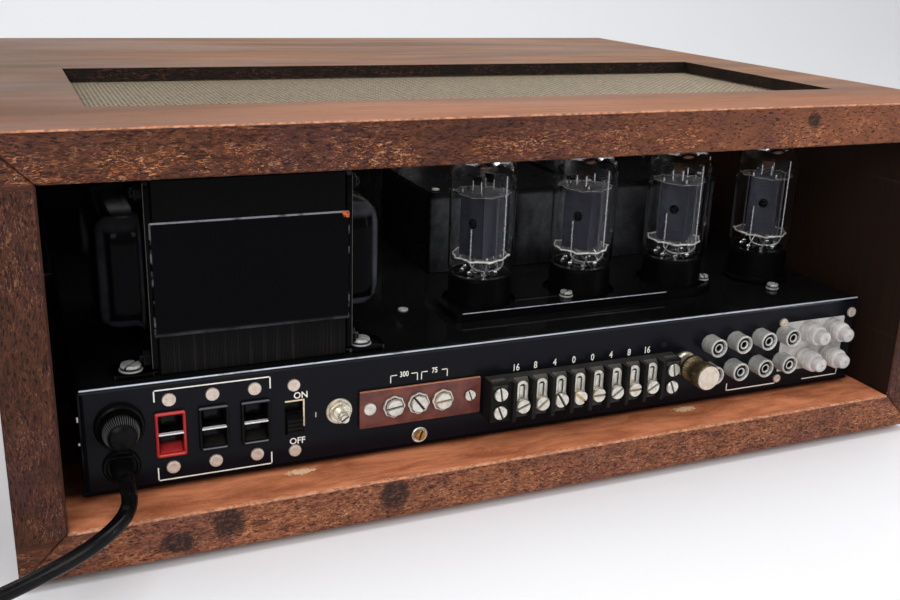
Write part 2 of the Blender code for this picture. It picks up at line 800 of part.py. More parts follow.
def chassis():
    """A folded pan, open below, with holes for what it carries, and its slotted bottom cover."""
    pan = solid("chassis_pan", block((0, 0, -CHASSIS_LENGTH), (CHASSIS_WIDTH, CHASSIS_HEIGHT, 0)), "black_enamel")
    soften(pan, FOLD_RADIUS, 2)
    hollow = block(
        (SHEET, -OVERRUN, -CHASSIS_LENGTH + SHEET),
        (CHASSIS_WIDTH - SHEET, CHASSIS_HEIGHT - SHEET, -SHEET),
    )
    foot = block((-OVERRUN, -OVERRUN, -CHASSIS_LENGTH - OVERRUN), (CHASSIS_WIDTH + OVERRUN, FOLD_RADIUS, OVERRUN))
    front = []
    for x, up in front_shaft_places():
        spot = (CHASSIS_WIDTH / 2 - x, up - CHASSIS_LIFT)
        disc = slab(circle(KNOB_SHAFT_RADIUS + SLIP, JACK_STEPS, spot), -OVERRUN, SHEET + OVERRUN)
        front.append(shifted(disc, z=-CHASSIS_LENGTH))
    cut_from(pan, hollow, foot, *front, *apron_holes())
    on_apron(pan, 0, 0)

    bottom = solid("chassis_bottom_cover", block(
        (0, -SHEET, -CHASSIS_LENGTH), (CHASSIS_WIDTH, 0, 0)), "black_enamel", smooth=False)
    feet = []
    for u in (COVER_FOOT_INSET, CHASSIS_WIDTH - COVER_FOOT_INSET):
        for back in (COVER_FOOT_INSET, CHASSIS_LENGTH - COVER_FOOT_INSET):
            stub = slab(circle(COVER_FOOT_RADIUS, JACK_STEPS, (u, -back)), -cover_drop(), -SHEET / 2)
            feet.append(exchanged(stub, (0, 2, 1)))
    vents = []
    start = CHASSIS_WIDTH / 2 - (VENT_COUNT - 1) * VENT_SPACING / 2
    for place in range(VENT_COUNT):
        u = start + place * VENT_SPACING
        middle = -CHASSIS_LENGTH / 2
        vents.append(block(
            (u - VENT_WIDTH / 2, -SHEET - OVERRUN, middle - VENT_LENGTH / 2),
            (u + VENT_WIDTH / 2, OVERRUN, middle + VENT_LENGTH / 2)))
    cut_from(bottom, *vents)
    add_to(bottom, *feet)
    on_apron(bottom, 0, FOLD_RADIUS - GAP)


def cover_drop():
    """How far the cover's pressed feet reach below its top face, to just clear the cabinet floor."""
    return CHASSIS_LIFT + FOLD_RADIUS - 2 * GAP


def socket_plate():
    """The low raised plate round the first tubes: a shallow tray upside down with three holes."""
    last = (SOCKET_PLATE_TUBES - 1) * TUBE_SPACING
    reach = SOCKET_PLATE_REACH

    def outline(inset):
        far = reach - inset
        corner = max(SOCKET_PLATE_CORNER - inset, inset)
        points = []
        for step in range(9):
            angle = math.radians(-90 + 180 * step / 8)
            points.append((-last - far * math.cos(angle), far * math.sin(angle)))
        for sign, first in ((1, 90), (-1, 0)):
            for step in range(3):
                angle = math.radians(first - 45 * step)
                points.append((
                    far - corner + corner * math.cos(angle),
                    sign * (far - corner) + corner * math.sin(angle),
                ))
        return points

    plate = solid("socket_plate", slab(outline(0), 0, SOCKET_PLATE_HEIGHT), "black_enamel")
    tools = [slab(outline(SHEET), -OVERRUN, SOCKET_PLATE_HEIGHT - SHEET)]
    radius = TUBE_COLLAR_RADIUS + SOCKET_HOLE_CLEARANCE
    for place in range(SOCKET_PLATE_TUBES):
        spot = (-place * TUBE_SPACING, 0)
        tools.append(slab(circle(radius, TUBE_STEPS, spot), -OVERRUN, SOCKET_PLATE_HEIGHT + OVERRUN))
    cut_from(plate, *tools)
    on_deck(plate, TUBE_FIRST, TUBE_FROM_APRON)


# Transformers

def power_transformer():
    """Lamination stack, copper flux band round it, and two end bells with feet."""
    half = CORE_WIDTH / 2
    core = solid("power_transformer_core", block(
        (-half, -CORE_LENGTH, 0), (half, 0, CORE_HEIGHT)), "transformer_black")
    soften(core, CORE_BEVEL)
    centre = CORE_FROM_SIDE + half
    on_deck(core, centre, CORE_FROM_APRON)

    near, thick = GAP, BAND_THICKNESS
    reach = near + thick
    band = solid("power_transformer_band", block(
        (-half - reach, -CORE_LENGTH - reach, BAND_LIFT),
        (half + reach, reach, BAND_LIFT + BAND_HEIGHT)), "transformer_black")
    soften(band, CORE_BEVEL)
    cut_from(band, block(
        (-half - near, -CORE_LENGTH - near, BAND_LIFT - OVERRUN),
        (half + near, near, BAND_LIFT + BAND_HEIGHT + OVERRUN)))
    on_deck(band, centre, CORE_FROM_APRON)

    for name, side in (("power_transformer_bell_left", 1), ("power_transformer_bell_right", -1)):
        bell = end_bell(name)
        if side < 0:
            bell.data.transform(Matrix.Scale(-1, 4, (1, 0, 0)))
            bell.data.flip_normals()
        on_deck(bell, centre - side * (half + GAP), CORE_FROM_APRON)


def end_bell(name):
    """A pressed bell for the +X end: flange, rounded dome, four bolt heads and two gusseted feet."""
    bell = solid(name, block((0, -CORE_LENGTH, 0), (BELL_FLANGE, 0, CORE_HEIGHT)), "transformer_black")
    back = (CORE_LENGTH - BELL_DOME_LENGTH) / 2
    dome = solid("dome", block(
        (-BELL_REACH, -CORE_LENGTH + back, BELL_DOME_LIFT),
        (BELL_REACH, -back, BELL_DOME_LIFT + BELL_DOME_HEIGHT)))
    soften(dome, BELL_ROUNDING, 3)
    tools = [bmesh.new()]
    tools[0].from_mesh(dome.data)
    bpy.data.objects.remove(dome)
    bmesh.ops.bisect_plane(
        tools[0], geom=tools[0].verts[:] + tools[0].edges[:] + tools[0].faces[:],
        plane_co=(BELL_FLANGE / 2, 0, 0), plane_no=(-1, 0, 0), clear_outer=True)
    bmesh.ops.holes_fill(tools[0], edges=[edge for edge in tools[0].edges if edge.is_boundary])
    for y in (-BELL_BOLT_INSET, -CORE_LENGTH + BELL_BOLT_INSET):
        for z in (BELL_BOLT_INSET, CORE_HEIGHT - BELL_BOLT_INSET):
            head = slab(circle(BELL_BOLT_RADIUS, 6), BELL_FLANGE / 2, BELL_FLANGE + BELL_BOLT_HEIGHT)
            bmesh.ops.rotate(head, verts=head.verts, matrix=Matrix.Rotation(math.radians(90), 3, "Y"))
            tools.append(shifted(head, y=y, z=z))
    for y in (-BELL_FOOT_WIDTH, -CORE_LENGTH):
        tools.append(block(
            (BELL_FLANGE / 2, y, 0), (BELL_FLANGE + BELL_FOOT_LENGTH, y + BELL_FOOT_WIDTH, BELL_FOOT_THICKNESS)))
        tall = BELL_FLANGE + BELL_GUSSET
        web = slab([
            (BELL_FLANGE / 2, BELL_FOOT_THICKNESS / 2), (tall, BELL_FOOT_THICKNESS / 2),
            (BELL_FLANGE / 2, tall)], 0, BELL_FOOT_THICKNESS)
        bmesh.ops.rotate(web, verts=web.verts, matrix=Matrix.Rotation(math.radians(90), 3, "X"))
        tools.append(shifted(web, y=y + BELL_FOOT_WIDTH))
    add_to(bell, *tools)
    slot = GAP + BAND_THICKNESS
    bite = 2 * GAP
    cut_from(bell, block(
        (-OVERRUN, -CORE_LENGTH - OVERRUN, BAND_LIFT - bite),
        (slot, OVERRUN, BAND_LIFT + BAND_HEIGHT + bite)))
    return bell


def output_transformers():
    """Two potted cans side by side behind the output tubes, each with a lid set in a little."""
    for place, name in enumerate(("output_transformer_left", "output_transformer_right")):
        can = solid(name, slab(
            rounded_rectangle(CAN_WIDTH, CAN_LENGTH, CAN_CORNER), 0, CAN_HEIGHT - CAN_LID_STEP), "transformer_black")
        inset = 2 * CAN_LID_STEP
        add_to(can, slab(rounded_rectangle(
            CAN_WIDTH - inset, CAN_LENGTH - inset, CAN_CORNER), CAN_HEIGHT / 2, CAN_HEIGHT))
        u = CAN_FROM_SIDE + CAN_WIDTH / 2 + place * (CAN_WIDTH + CAN_SPACE)
        on_deck(can, u, CAN_FROM_APRON + CAN_LENGTH / 2)


# Output tubes

def tube_base(name):
    """Socket collar, base, glass stem and the electrode stack that the bulb covers, as one solid."""
    top = TUBE_BASE_HEIGHT
    base = solid(name, lathe([
        (0, 0), (TUBE_COLLAR_RADIUS, 0), (TUBE_COLLAR_RADIUS, TUBE_COLLAR_HEIGHT),
        (TUBE_BASE_RADIUS, TUBE_COLLAR_HEIGHT), (TUBE_BASE_RADIUS, top - BULB_WALL),
        (TUBE_BASE_RADIUS - BULB_WALL, top), (STEM_RADIUS, top),
        (STEM_RADIUS, MICA_LOW + MICA_THICKNESS / 2), (0, MICA_LOW + MICA_THICKNESS / 2),
    ], TUBE_STEPS), "phenolic_black")
    step = MICA_THICKNESS / 3
    side = ANODE_SIDE / 2
    half_width, half_depth = ANODE_WIDTH / 2, ANODE_DEPTH / 2
    outline = [
        (half_width, -side / 2), (half_width, side / 2), (side, half_depth), (-side, half_depth),
        (-half_width, side / 2), (-half_width, -side / 2), (-side, -half_depth), (side, -half_depth),
    ]
    add_to(
        base,
        slab(circle(MICA_RADIUS, JACK_STEPS), MICA_LOW, MICA_LOW + MICA_THICKNESS),
        slab(outline, MICA_LOW + step, MICA_HIGH + step),
        slab(circle(MICA_RADIUS, JACK_STEPS), MICA_HIGH, MICA_HIGH + MICA_THICKNESS),
        *[slab(circle(ROD_RADIUS, 6, (x, 0)), MICA_LOW + step, MICA_HIGH + 2 * step)
          for x in (-ROD_SPREAD, ROD_SPREAD)],
    )
    rise = MICA_LOW + ANODE_HOLE_SHARE * (MICA_HIGH - MICA_LOW)
    hole = slab(circle(ANODE_HOLE, 10), -ANODE_HOLE_DEPTH, OVERRUN)
    bmesh.ops.rotate(hole, verts=hole.verts, matrix=Matrix.Rotation(math.radians(-90), 3, "X"))
    cut_from(base, shifted(hole, y=half_depth, z=rise))
    return base


def tube_bulb(name):
    """A blown bulb with a rounded shoulder, open below where it seats round the stem."""
    def arc(radius, height, steps):
        turns = [math.radians(90 * step / steps) for step in range(steps + 1)]
        centre = BULB_HEIGHT - BULB_SHOULDER
        return [(radius * math.cos(a), centre + height * math.sin(a)) for a in turns]

    outer = [(BULB_FOOT_RADIUS, 0), (BULB_RADIUS, BULB_SHOULDER / 4)] + arc(BULB_RADIUS, BULB_SHOULDER, 4)
    inner_radius = BULB_RADIUS - BULB_WALL
    inner = arc(inner_radius, BULB_SHOULDER - BULB_WALL, 3)[::-1]
    inner += [(inner_radius, BULB_SHOULDER / 4), (BULB_FOOT_RADIUS - BULB_WALL, 0)]
    outer[-1] = (0, outer[-1][1])
    inner[0] = (0, inner[0][1])
    return solid(name, lathe(outer + inner, TUBE_STEPS, closed=True), "bulb_glass")


def output_tubes():
    """Four tubes in a row along the back of the chassis."""
    for place in range(TUBE_COUNT):
        u = TUBE_FIRST + place * TUBE_SPACING
        base = tube_base(f"output_tube_{place + 1}_base")
        on_deck(base, u, TUBE_FROM_APRON)
        bulb = tube_bulb(f"output_tube_{place + 1}_bulb")
        on_deck(bulb, u, TUBE_FROM_APRON, TUBE_BASE_HEIGHT + GAP)


# Tuner

def tuner():
    """The closed tuner unit with its shielded tubes and coil cans standing on it."""
    unit = solid("tuner_unit", slab(
        rounded_rectangle(TUNER_WIDTH, TUNER_LENGTH, TUNER_CORNER), 0, TUNER_HEIGHT), "tin_plate")
    tools = []
    low = TUNER_HEIGHT - TUNER_CORNER
    for place in range(SHIELD_COUNT):
        x = TUNER_WIDTH / 2 - TUNER_EDGE - place * (TUNER_WIDTH - 2 * TUNER_EDGE) / (SHIELD_COUNT - 1)
        spot = (x, TUNER_LENGTH / 2 - TUNER_EDGE)
        tools.append(slab(circle(SHIELD_RADIUS, JACK_STEPS, spot), low, TUNER_HEIGHT + SHIELD_HEIGHT))
    for place in range(IF_CAN_COUNT):
        x = TUNER_WIDTH / 2 - TUNER_EDGE - place * (TUNER_WIDTH - 2 * TUNER_EDGE) / (IF_CAN_COUNT - 1)
        can = slab(rounded_rectangle(IF_CAN_SIDE, IF_CAN_SIDE, IF_CAN_CORNER, 1), low, TUNER_HEIGHT + IF_CAN_HEIGHT)
        tools.append(shifted(can, x=x, y=-TUNER_LENGTH / 2 + TUNER_EDGE))
    add_to(unit, *tools)
    on_deck(unit, TUNER_FROM_SIDE + TUNER_WIDTH / 2, TUNER_FROM_APRON + TUNER_LENGTH / 2)


def rotor_plate_places():
    """Distance in front of the gang's rear end of each rotor plate's middle."""
    span = (ROTOR_PLATES - 1) * ROTOR_SPACING
    return [(GANG_LENGTH - span) / 2 + place * ROTOR_SPACING for place in range(ROTOR_PLATES)]


def half_disc(inner, outer, first_deg, sweep_deg, steps=8):
    """Outline of a half ring in x and y."""
    turns = [math.radians(first_deg + sweep_deg * step / steps) for step in range(steps + 1)]
    points = [(outer * math.cos(a), outer * math.sin(a)) for a in turns]
    return points + [(inner * math.cos(a), inner * math.sin(a)) for a in reversed(turns[::2])]


def tuning_gang():
    """The tuning capacitor: a frame with its fixed plates, and the rotor with the dial drum."""
    frame = solid("tuning_gang_frame", block(
        (-GANG_WIDTH / 2, -GANG_AXIS_HEIGHT, -GANG_LENGTH), (GANG_WIDTH / 2, -GANG_AXIS_HEIGHT + GANG_BASE, 0)),
        "tin_plate")
    sheet = GANG_SHEET
    tools = []
    cheek = [
        (-GANG_WIDTH / 2, -GANG_AXIS_HEIGHT + GANG_BASE / 2), (GANG_WIDTH / 2, -GANG_AXIS_HEIGHT + GANG_BASE / 2),
        (GANG_WIDTH / 2, -GANG_AXIS_HEIGHT / 2), (GANG_WIDTH / 4, GANG_WIDTH / 4),
        (-GANG_WIDTH / 4, GANG_WIDTH / 4), (-GANG_WIDTH / 2, -GANG_AXIS_HEIGHT / 2),
    ]
    for start in (-sheet, -GANG_LENGTH):
        tools.append(slab(cheek, start, start + sheet))
    bar = STATOR_BAR
    for sign in (-1, 1):
        low = (sign * STATOR_RADIUS - bar / 2, -3 * bar / 2, -GANG_LENGTH + sheet / 2)
        tools.append(block(low, (low[0] + bar, -bar / 2, -sheet / 2)))
    for place in rotor_plate_places()[:-1]:
        middle = -place - ROTOR_SPACING / 2
        tools.append(slab(
            half_disc(STATOR_BORE, STATOR_RADIUS, 180, 180),
            middle - ROTOR_PLATE / 2, middle + ROTOR_PLATE / 2))
    add_to(frame, *tools)
    bore = slab(circle(ROTOR_SHAFT_RADIUS + SLIP, JACK_STEPS), -GANG_LENGTH - OVERRUN, OVERRUN)
    cut_from(frame, bore)

    shaft = solid("tuning_gang_rotor", slab(
        circle(ROTOR_SHAFT_RADIUS, JACK_STEPS), -GANG_LENGTH - DRUM_HUB_LENGTH - DRUM_WIDTH, sheet), "brass")
    plates = []
    for place in rotor_plate_places():
        plates.append(slab(
            half_disc(ROTOR_SHAFT_RADIUS / 2, ROTOR_RADIUS, 95, 170), -place - ROTOR_PLATE / 2, -place + ROTOR_PLATE / 2))
    drum_back = -GANG_LENGTH - DRUM_HUB_LENGTH
    rim = DRUM_RADIUS
    drum = lathe([
        (0, drum_back - DRUM_WIDTH), (rim, drum_back - DRUM_WIDTH), (rim, drum_back - DRUM_WIDTH * 2 / 3),
        (rim - DRUM_GROOVE, drum_back - DRUM_WIDTH / 2), (rim, drum_back - DRUM_WIDTH / 3),
        (rim, drum_back), (DRUM_HUB_RADIUS, drum_back), (DRUM_HUB_RADIUS, drum_back + DRUM_HUB_LENGTH / 2),
        (0, drum_back + DRUM_HUB_LENGTH / 2),
    ], KNOB_STEPS)
    add_to(shaft, *plates, drum)
    windows = []
    each = 360 / DRUM_SPOKES
    for place in range(DRUM_SPOKES):
        points = half_disc(DRUM_WINDOW_INNER, DRUM_WINDOW_OUTER, place * each, each - DRUM_SPOKE_DEG, 4)
        windows.append(slab(points, drum_back - DRUM_WIDTH - OVERRUN, drum_back + OVERRUN))
    cut_from(shaft, *windows)
    for piece in (frame, shaft):
        place = Vector((GANG_X, APRON - GANG_FROM_APRON, DECK + GANG_AXIS_HEIGHT + GAP))
        piece.matrix_world = Matrix.Translation(place) @ SEEN_FROM_REAR


# Front

def panel_back():
    """How far behind the cabinet's front edge the panel's back face lies."""
    return PANEL_SETBACK + PANEL_THICKNESS


def dial_plate_front():
    """How far behind the cabinet's front edge the dial plate's front face lies."""
    return CHASSIS_FRONT_SETBACK - GAP - DIAL_PLATE_THICKNESS


def front_panel():
    """The glass panel with its dial window, knob holes and rocker slot, and posts to the dial plate."""
    width = OPENING_WIDTH - 2 * PANEL_MARGIN
    height = OPENING_HEIGHT - 2 * PANEL_MARGIN
    middle = OPENING_HEIGHT / 2
    panel = solid("front_panel", block(
        (-width / 2, -height / 2, -PANEL_THICKNESS), (width / 2, height / 2, 0)), "panel_black")
    soften(panel, PANEL_EDGE)
    post_end = -(dial_plate_front() - PANEL_SETBACK) + GAP
    posts = []
    for sx in (-1, 1):
        for sy in (-1, 1):
            spot = (sx * (width / 2 - PANEL_POST_INSET), sy * (height / 2 - PANEL_POST_INSET))
            posts.append(slab(circle(PANEL_POST_RADIUS, 10, spot), post_end, -PANEL_THICKNESS / 2))
    slot_width = ROCKER_WIDTH / 2 + GAP
    slot_height = ROCKER_HEIGHT / 2 + SLIP
    wall = ROCKER_BOX_WALL
    box_end = -PANEL_THICKNESS - ROCKER_BOX_DEPTH
    switch = KNOB_ROW_UP - middle
    add_to(panel, *posts, block(
        (ROCKER_X - slot_width - wall, switch - slot_height - wall, box_end),
        (ROCKER_X + slot_width + wall, switch + slot_height + wall, -PANEL_THICKNESS / 2)))
    deep = -PANEL_THICKNESS - OVERRUN
    window = slab(rounded_rectangle(WINDOW_WIDTH, WINDOW_HEIGHT, WINDOW_CORNER), deep, OVERRUN)
    tools = [shifted(window, x=WINDOW_X, y=WINDOW_UP - middle)]
    for x, up in front_shaft_places():
        tools.append(slab(circle(KNOB_SHAFT_RADIUS + SLIP, JACK_STEPS, (x, up - middle)), deep, OVERRUN))
    spot = (TUNING_X, TUNING_UP - middle)
    tools.append(slab(circle(TUNING_SHAFT_RADIUS + SLIP, JACK_STEPS, spot), deep, OVERRUN))
    tools.append(block(
        (ROCKER_X - slot_width, switch - slot_height, box_end + wall),
        (ROCKER_X + slot_width, switch + slot_height, OVERRUN)))
    pin_hole = rocker_pin(ROCKER_PIN_RADIUS + SLIP, ROCKER_WIDTH / 2 + ROCKER_PIN_END + GAP)
    tools.append(shifted(pin_hole, x=ROCKER_X, y=switch, z=-ROCKER_PIVOT_DEPTH))
    cut_from(panel, *tools)
    on_front(panel, 0, middle, PANEL_SETBACK)

    glass = solid("dial_glass", slab(rounded_rectangle(
        WINDOW_WIDTH - 2 * GAP, WINDOW_HEIGHT - 2 * GAP, WINDOW_CORNER), -PANEL_THICKNESS, 0), "bulb_glass")
    on_front(glass, WINDOW_X, WINDOW_UP, PANEL_SETBACK)


def dial():
    """The steel plate that carries the scale, and the pointer that hangs on its top edge."""
    low = CHASSIS_LIFT
    plate = solid("dial_plate", block(
        (-DIAL_PLATE_WIDTH / 2, low, -DIAL_PLATE_THICKNESS), (DIAL_PLATE_WIDTH / 2, DIAL_PLATE_TOP, 0)),
        "dial_ground", smooth=False)
    tools = []
    for x, up in front_shaft_places():
        tools.append(slab(
            circle(KNOB_SHAFT_RADIUS + SLIP, JACK_STEPS, (x, up)), -DIAL_PLATE_THICKNESS - OVERRUN, OVERRUN))
    tools.append(slab(
        circle(TUNING_SHAFT_RADIUS + SLIP, JACK_STEPS, (TUNING_X, TUNING_UP)),
        -DIAL_PLATE_THICKNESS - OVERRUN, OVERRUN))
    cut_from(plate, *tools)
    on_front(plate, 0, 0, dial_plate_front())

    wall, thick = CARRIAGE_WALL, DIAL_PLATE_THICKNESS
    clear = SLIP
    outline = [
        (clear, -CARRIAGE_DROP), (clear + wall, -CARRIAGE_DROP), (clear + wall, clear + wall),
        (-thick - clear - wall, clear + wall), (-thick - clear - wall, -CARRIAGE_DROP),
        (-thick - clear, -CARRIAGE_DROP), (-thick - clear, clear), (clear, clear),
    ]
    carriage = exchanged(slab(outline, -CARRIAGE_WIDTH / 2, CARRIAGE_WIDTH / 2), (2, 1, 0))
    pointer = solid("dial_pointer", carriage, "pointer_red")
    add_to(pointer, block(
        (-POINTER_WIDTH / 2, -POINTER_LENGTH, clear), (POINTER_WIDTH / 2, 0, clear + POINTER_THICKNESS)))
    on_front(pointer, WINDOW_X, DIAL_PLATE_TOP, dial_plate_front())


def turned_knob(name, radius, skirt_radius, length, bore=None):
    """A fluted knob with a plain skirt, a chamfered face and a pointer line cut in it."""
    flute = knurled(radius, KNOB_FLUTE)
    crown = radius - KNOB_CHAMFER
    knob = solid(name, lathe([
        (0, 0), (skirt_radius, 0), (skirt_radius - KNOB_CHAMFER / 2, KNOB_SKIRT),
        (flute, KNOB_SKIRT), (flute, length - KNOB_CHAMFER), (crown, length), (0, length),
    ], KNOB_STEPS), "knob_alloy")
    cut_from(knob, block(
        (-KNOB_MARK_WIDTH / 2, radius / 3, length - KNOB_MARK_DEPTH),
        (KNOB_MARK_WIDTH / 2, radius + OVERRUN, length + OVERRUN)))
    return knob


def front_controls():
    """Five knobs on their shafts, the tuning knob with its flywheel shaft, and the power rocker."""
    seat = PANEL_SETBACK - KNOB_OFF_PANEL
    reach = CHASSIS_FRONT_SETBACK - seat + KNOB_SHAFT_IN
    for name, (x, up) in zip(KNOB_NAMES, front_shaft_places()):
        knob = turned_knob(name, KNOB_RADIUS, KNOB_SKIRT_RADIUS, KNOB_LENGTH)
        add_to(knob, slab(circle(KNOB_SHAFT_RADIUS, JACK_STEPS), -reach, KNOB_SKIRT / 2))
        on_front(knob, x, up, seat)

    length = FRONT_REACH + seat
    knob = turned_knob("tuning_knob", TUNING_RADIUS, TUNING_SKIRT_RADIUS, length)
    cut_from(knob, slab(circle(TUNING_SHAFT_RADIUS + GAP, JACK_STEPS), -OVERRUN, TUNING_BORE_DEPTH))
    on_front(knob, TUNING_X, TUNING_UP, seat)
    back = CHASSIS_FRONT_SETBACK - seat
    start = -(back + FLYWHEEL_FROM_PLATE)
    shaft = solid("tuning_shaft", slab(
        circle(TUNING_SHAFT_RADIUS, JACK_STEPS), -(back + TUNING_SHAFT_BEHIND), TUNING_BORE_DEPTH - GAP), "tin_plate")
    wheel = slab(circle(FLYWHEEL_RADIUS, KNOB_STEPS), start - FLYWHEEL_WIDTH, start)
    add_to(shaft, wheel)
    on_front(shaft, TUNING_X, TUNING_UP, seat)
    rocker()


def rocker():
    """A rocker with a dished face that turns on its cross pin in the panel, and rests with one end in."""
    half = ROCKER_HEIGHT / 2 - SLIP
    depth = ROCKER_PIVOT_DEPTH
    front = depth + ROCKER_STAND
    outline = [(-depth, -half * 2 / 3), (depth, -half)]
    for step in range(7):
        share = step / 3 - 1
        dish = ROCKER_STAND / 2 * (1 - share * share)
        outline.append((front - dish, share * (half - ROCKER_CORNER)))
    outline += [(depth, half), (-depth, half * 2 / 3)]
    bm = exchanged(slab(outline, -ROCKER_WIDTH / 2, ROCKER_WIDTH / 2), (2, 1, 0))
    piece = solid("power_rocker", bm, "switch_black")
    add_to(piece, rocker_pin(ROCKER_PIN_RADIUS, ROCKER_WIDTH / 2 + ROCKER_PIN_END))
    on_front(piece, ROCKER_X, KNOB_ROW_UP, PANEL_SETBACK + depth)
    piece.matrix_world = piece.matrix_world @ Matrix.Rotation(math.radians(ROCKER_TILT_DEG), 4, "X")


def rocker_pin(radius, reach):
    """A bar across the rocker on its turning axis, used for its pin and, larger, for the pin's holes."""
    return exchanged(slab(circle(radius, 12), -reach, reach), (2, 1, 0))


# Rear fittings

def fuse():
    """The panel fuse holder with its bore, and the knurled bayonet cap that twists in it."""
    holder = solid("fuse_holder", lathe([
        (0, -FUSE_BODY_LENGTH), (FUSE_BODY_RADIUS, -FUSE_BODY_LENGTH), (FUSE_BODY_RADIUS, GAP),
        (FUSE_RIM_RADIUS, GAP), (FUSE_RIM_RADIUS, FUSE_RIM_HEIGHT / 2),
        (FUSE_CAP_RADIUS + 2 * GAP, FUSE_RIM_HEIGHT), (FUSE_BORE_RADIUS, FUSE_RIM_HEIGHT),
        (FUSE_BORE_RADIUS, -FUSE_BORE_DEPTH), (0, -FUSE_BORE_DEPTH),
    ], TUBE_STEPS), "phenolic_black")
    on_apron(holder, FUSE_U, FUSE_V)
    knurl = knurled(FUSE_CAP_RADIUS, FUSE_CAP_KNURL)
    foot = FUSE_RIM_HEIGHT + GAP
    cap = solid("fuse_cap", lathe([
        (0, -FUSE_CAP_STEM), (FUSE_BORE_RADIUS - SLIP, -FUSE_CAP_STEM), (FUSE_BORE_RADIUS - SLIP, foot),
        (knurl, foot), (knurl, foot + FUSE_CAP_LENGTH - FUSE_CAP_CROWN),
        (FUSE_CAP_RADIUS - FUSE_CAP_CROWN, foot + FUSE_CAP_LENGTH), (0, foot + FUSE_CAP_LENGTH),
    ], FUSE_CAP_STEPS), "phenolic_black")
    on_apron(cap, FUSE_U, FUSE_V)


def strain_relief():
    """A ring bush in the apron with a tapered sleeve that ends where the free cord starts."""
    tip = RELIEF_OUTSIDE
    piece = solid("strain_relief", lathe([
        (0, -RELIEF_INSIDE), (RELIEF_BARREL_RADIUS, -RELIEF_INSIDE), (RELIEF_BARREL_RADIUS, GAP),
        (RELIEF_RING_RADIUS, GAP), (RELIEF_RING_RADIUS, RELIEF_RING_HEIGHT / 2),
        (RELIEF_BARREL_RADIUS, RELIEF_RING_HEIGHT), (RELIEF_ROOT_RADIUS, RELIEF_RING_HEIGHT),
        (RELIEF_TIP_RADIUS, tip), (0, tip),
    ], TUBE_STEPS), "phenolic_black")
    on_apron(piece, RELIEF_U, RELIEF_V)


def outlets():
    """Three mains outlets: a bezel with two blade slots and a bridge between them."""
    rise = (OUTLET_SLOT_HEIGHT + OUTLET_BRIDGE) / 2
    for place, name in enumerate(OUTLET_NAMES):
        tint = "outlet_red" if place == 0 else "switch_black"
        bezel = solid(name, slab(
            rounded_rectangle(OUTLET_WIDTH, OUTLET_HEIGHT, OUTLET_CORNER, 2), GAP, OUTLET_PROUD), tint)
        half_width, half_height = OUTLET_BODY_WIDTH / 2, OUTLET_BODY_HEIGHT / 2
        add_to(bezel, block(
            (-half_width, -half_height, -OUTLET_BODY_DEPTH), (half_width, half_height, OUTLET_PROUD / 2)))
        slots = []
        for side in (-1, 1):
            low = (-OUTLET_SLOT_WIDTH / 2, side * rise - OUTLET_SLOT_HEIGHT / 2, OUTLET_PROUD - OUTLET_SLOT_DEPTH)
            high = (OUTLET_SLOT_WIDTH / 2, side * rise + OUTLET_SLOT_HEIGHT / 2, OUTLET_PROUD + OVERRUN)
            slots.append(block(low, high))
        cut_from(bezel, *slots)
        on_apron(bezel, OUTLET_FIRST + place * OUTLET_SPACING, OUTLET_V)


def speaker_switch():
    """The slide switch: its body behind the apron and the ribbed lever in the window, down at rest."""
    half_width, half_height = SWITCH_BODY_WIDTH / 2, SWITCH_BODY_HEIGHT / 2
    back = -SHEET - GAP
    body = solid("speaker_switch_body", block(
        (-half_width, -half_height, back - SWITCH_BODY_DEPTH), (half_width, half_height, back)), "tin_plate")
    slider_half_width = LEVER_WIDTH / 2 + SWITCH_SLIDER_OVERLAP
    lever_height = SWITCH_WINDOW_HEIGHT - SWITCH_TRAVEL - 2 * SLIP
    slider_half_height = lever_height / 2 + SWITCH_SLIDER_OVERLAP
    travel = SWITCH_TRAVEL / 2
    cavity = slider_half_height + travel + SLIP
    cut_from(body, block(
        (-slider_half_width - SLIP, -cavity, back - SWITCH_SLIDER_DEPTH - 2 * SLIP),
        (slider_half_width + SLIP, cavity, back + OVERRUN)))
    on_apron(body, SWITCH_U, SWITCH_V)

    lever = solid("speaker_switch_lever", block(
        (-slider_half_width, -slider_half_height, back - SLIP - SWITCH_SLIDER_DEPTH),
        (slider_half_width, slider_half_height, back - SLIP)), "switch_black")
    foot = back - SLIP - SWITCH_SLIDER_DEPTH / 2
    step = lever_height / (2 * LEVER_RIBS)
    ridge = [(-lever_height / 2, foot)]
    for place in range(2 * LEVER_RIBS + 1):
        ridge.append((-lever_height / 2 + place * step, LEVER_PROUD - LEVER_RIB * (place % 2)))
    ridge.append((lever_height / 2, foot))
    add_to(lever, exchanged(slab(ridge, -LEVER_WIDTH / 2, LEVER_WIDTH / 2), (2, 0, 1)))
    on_apron(lever, SWITCH_U, SWITCH_V - travel)


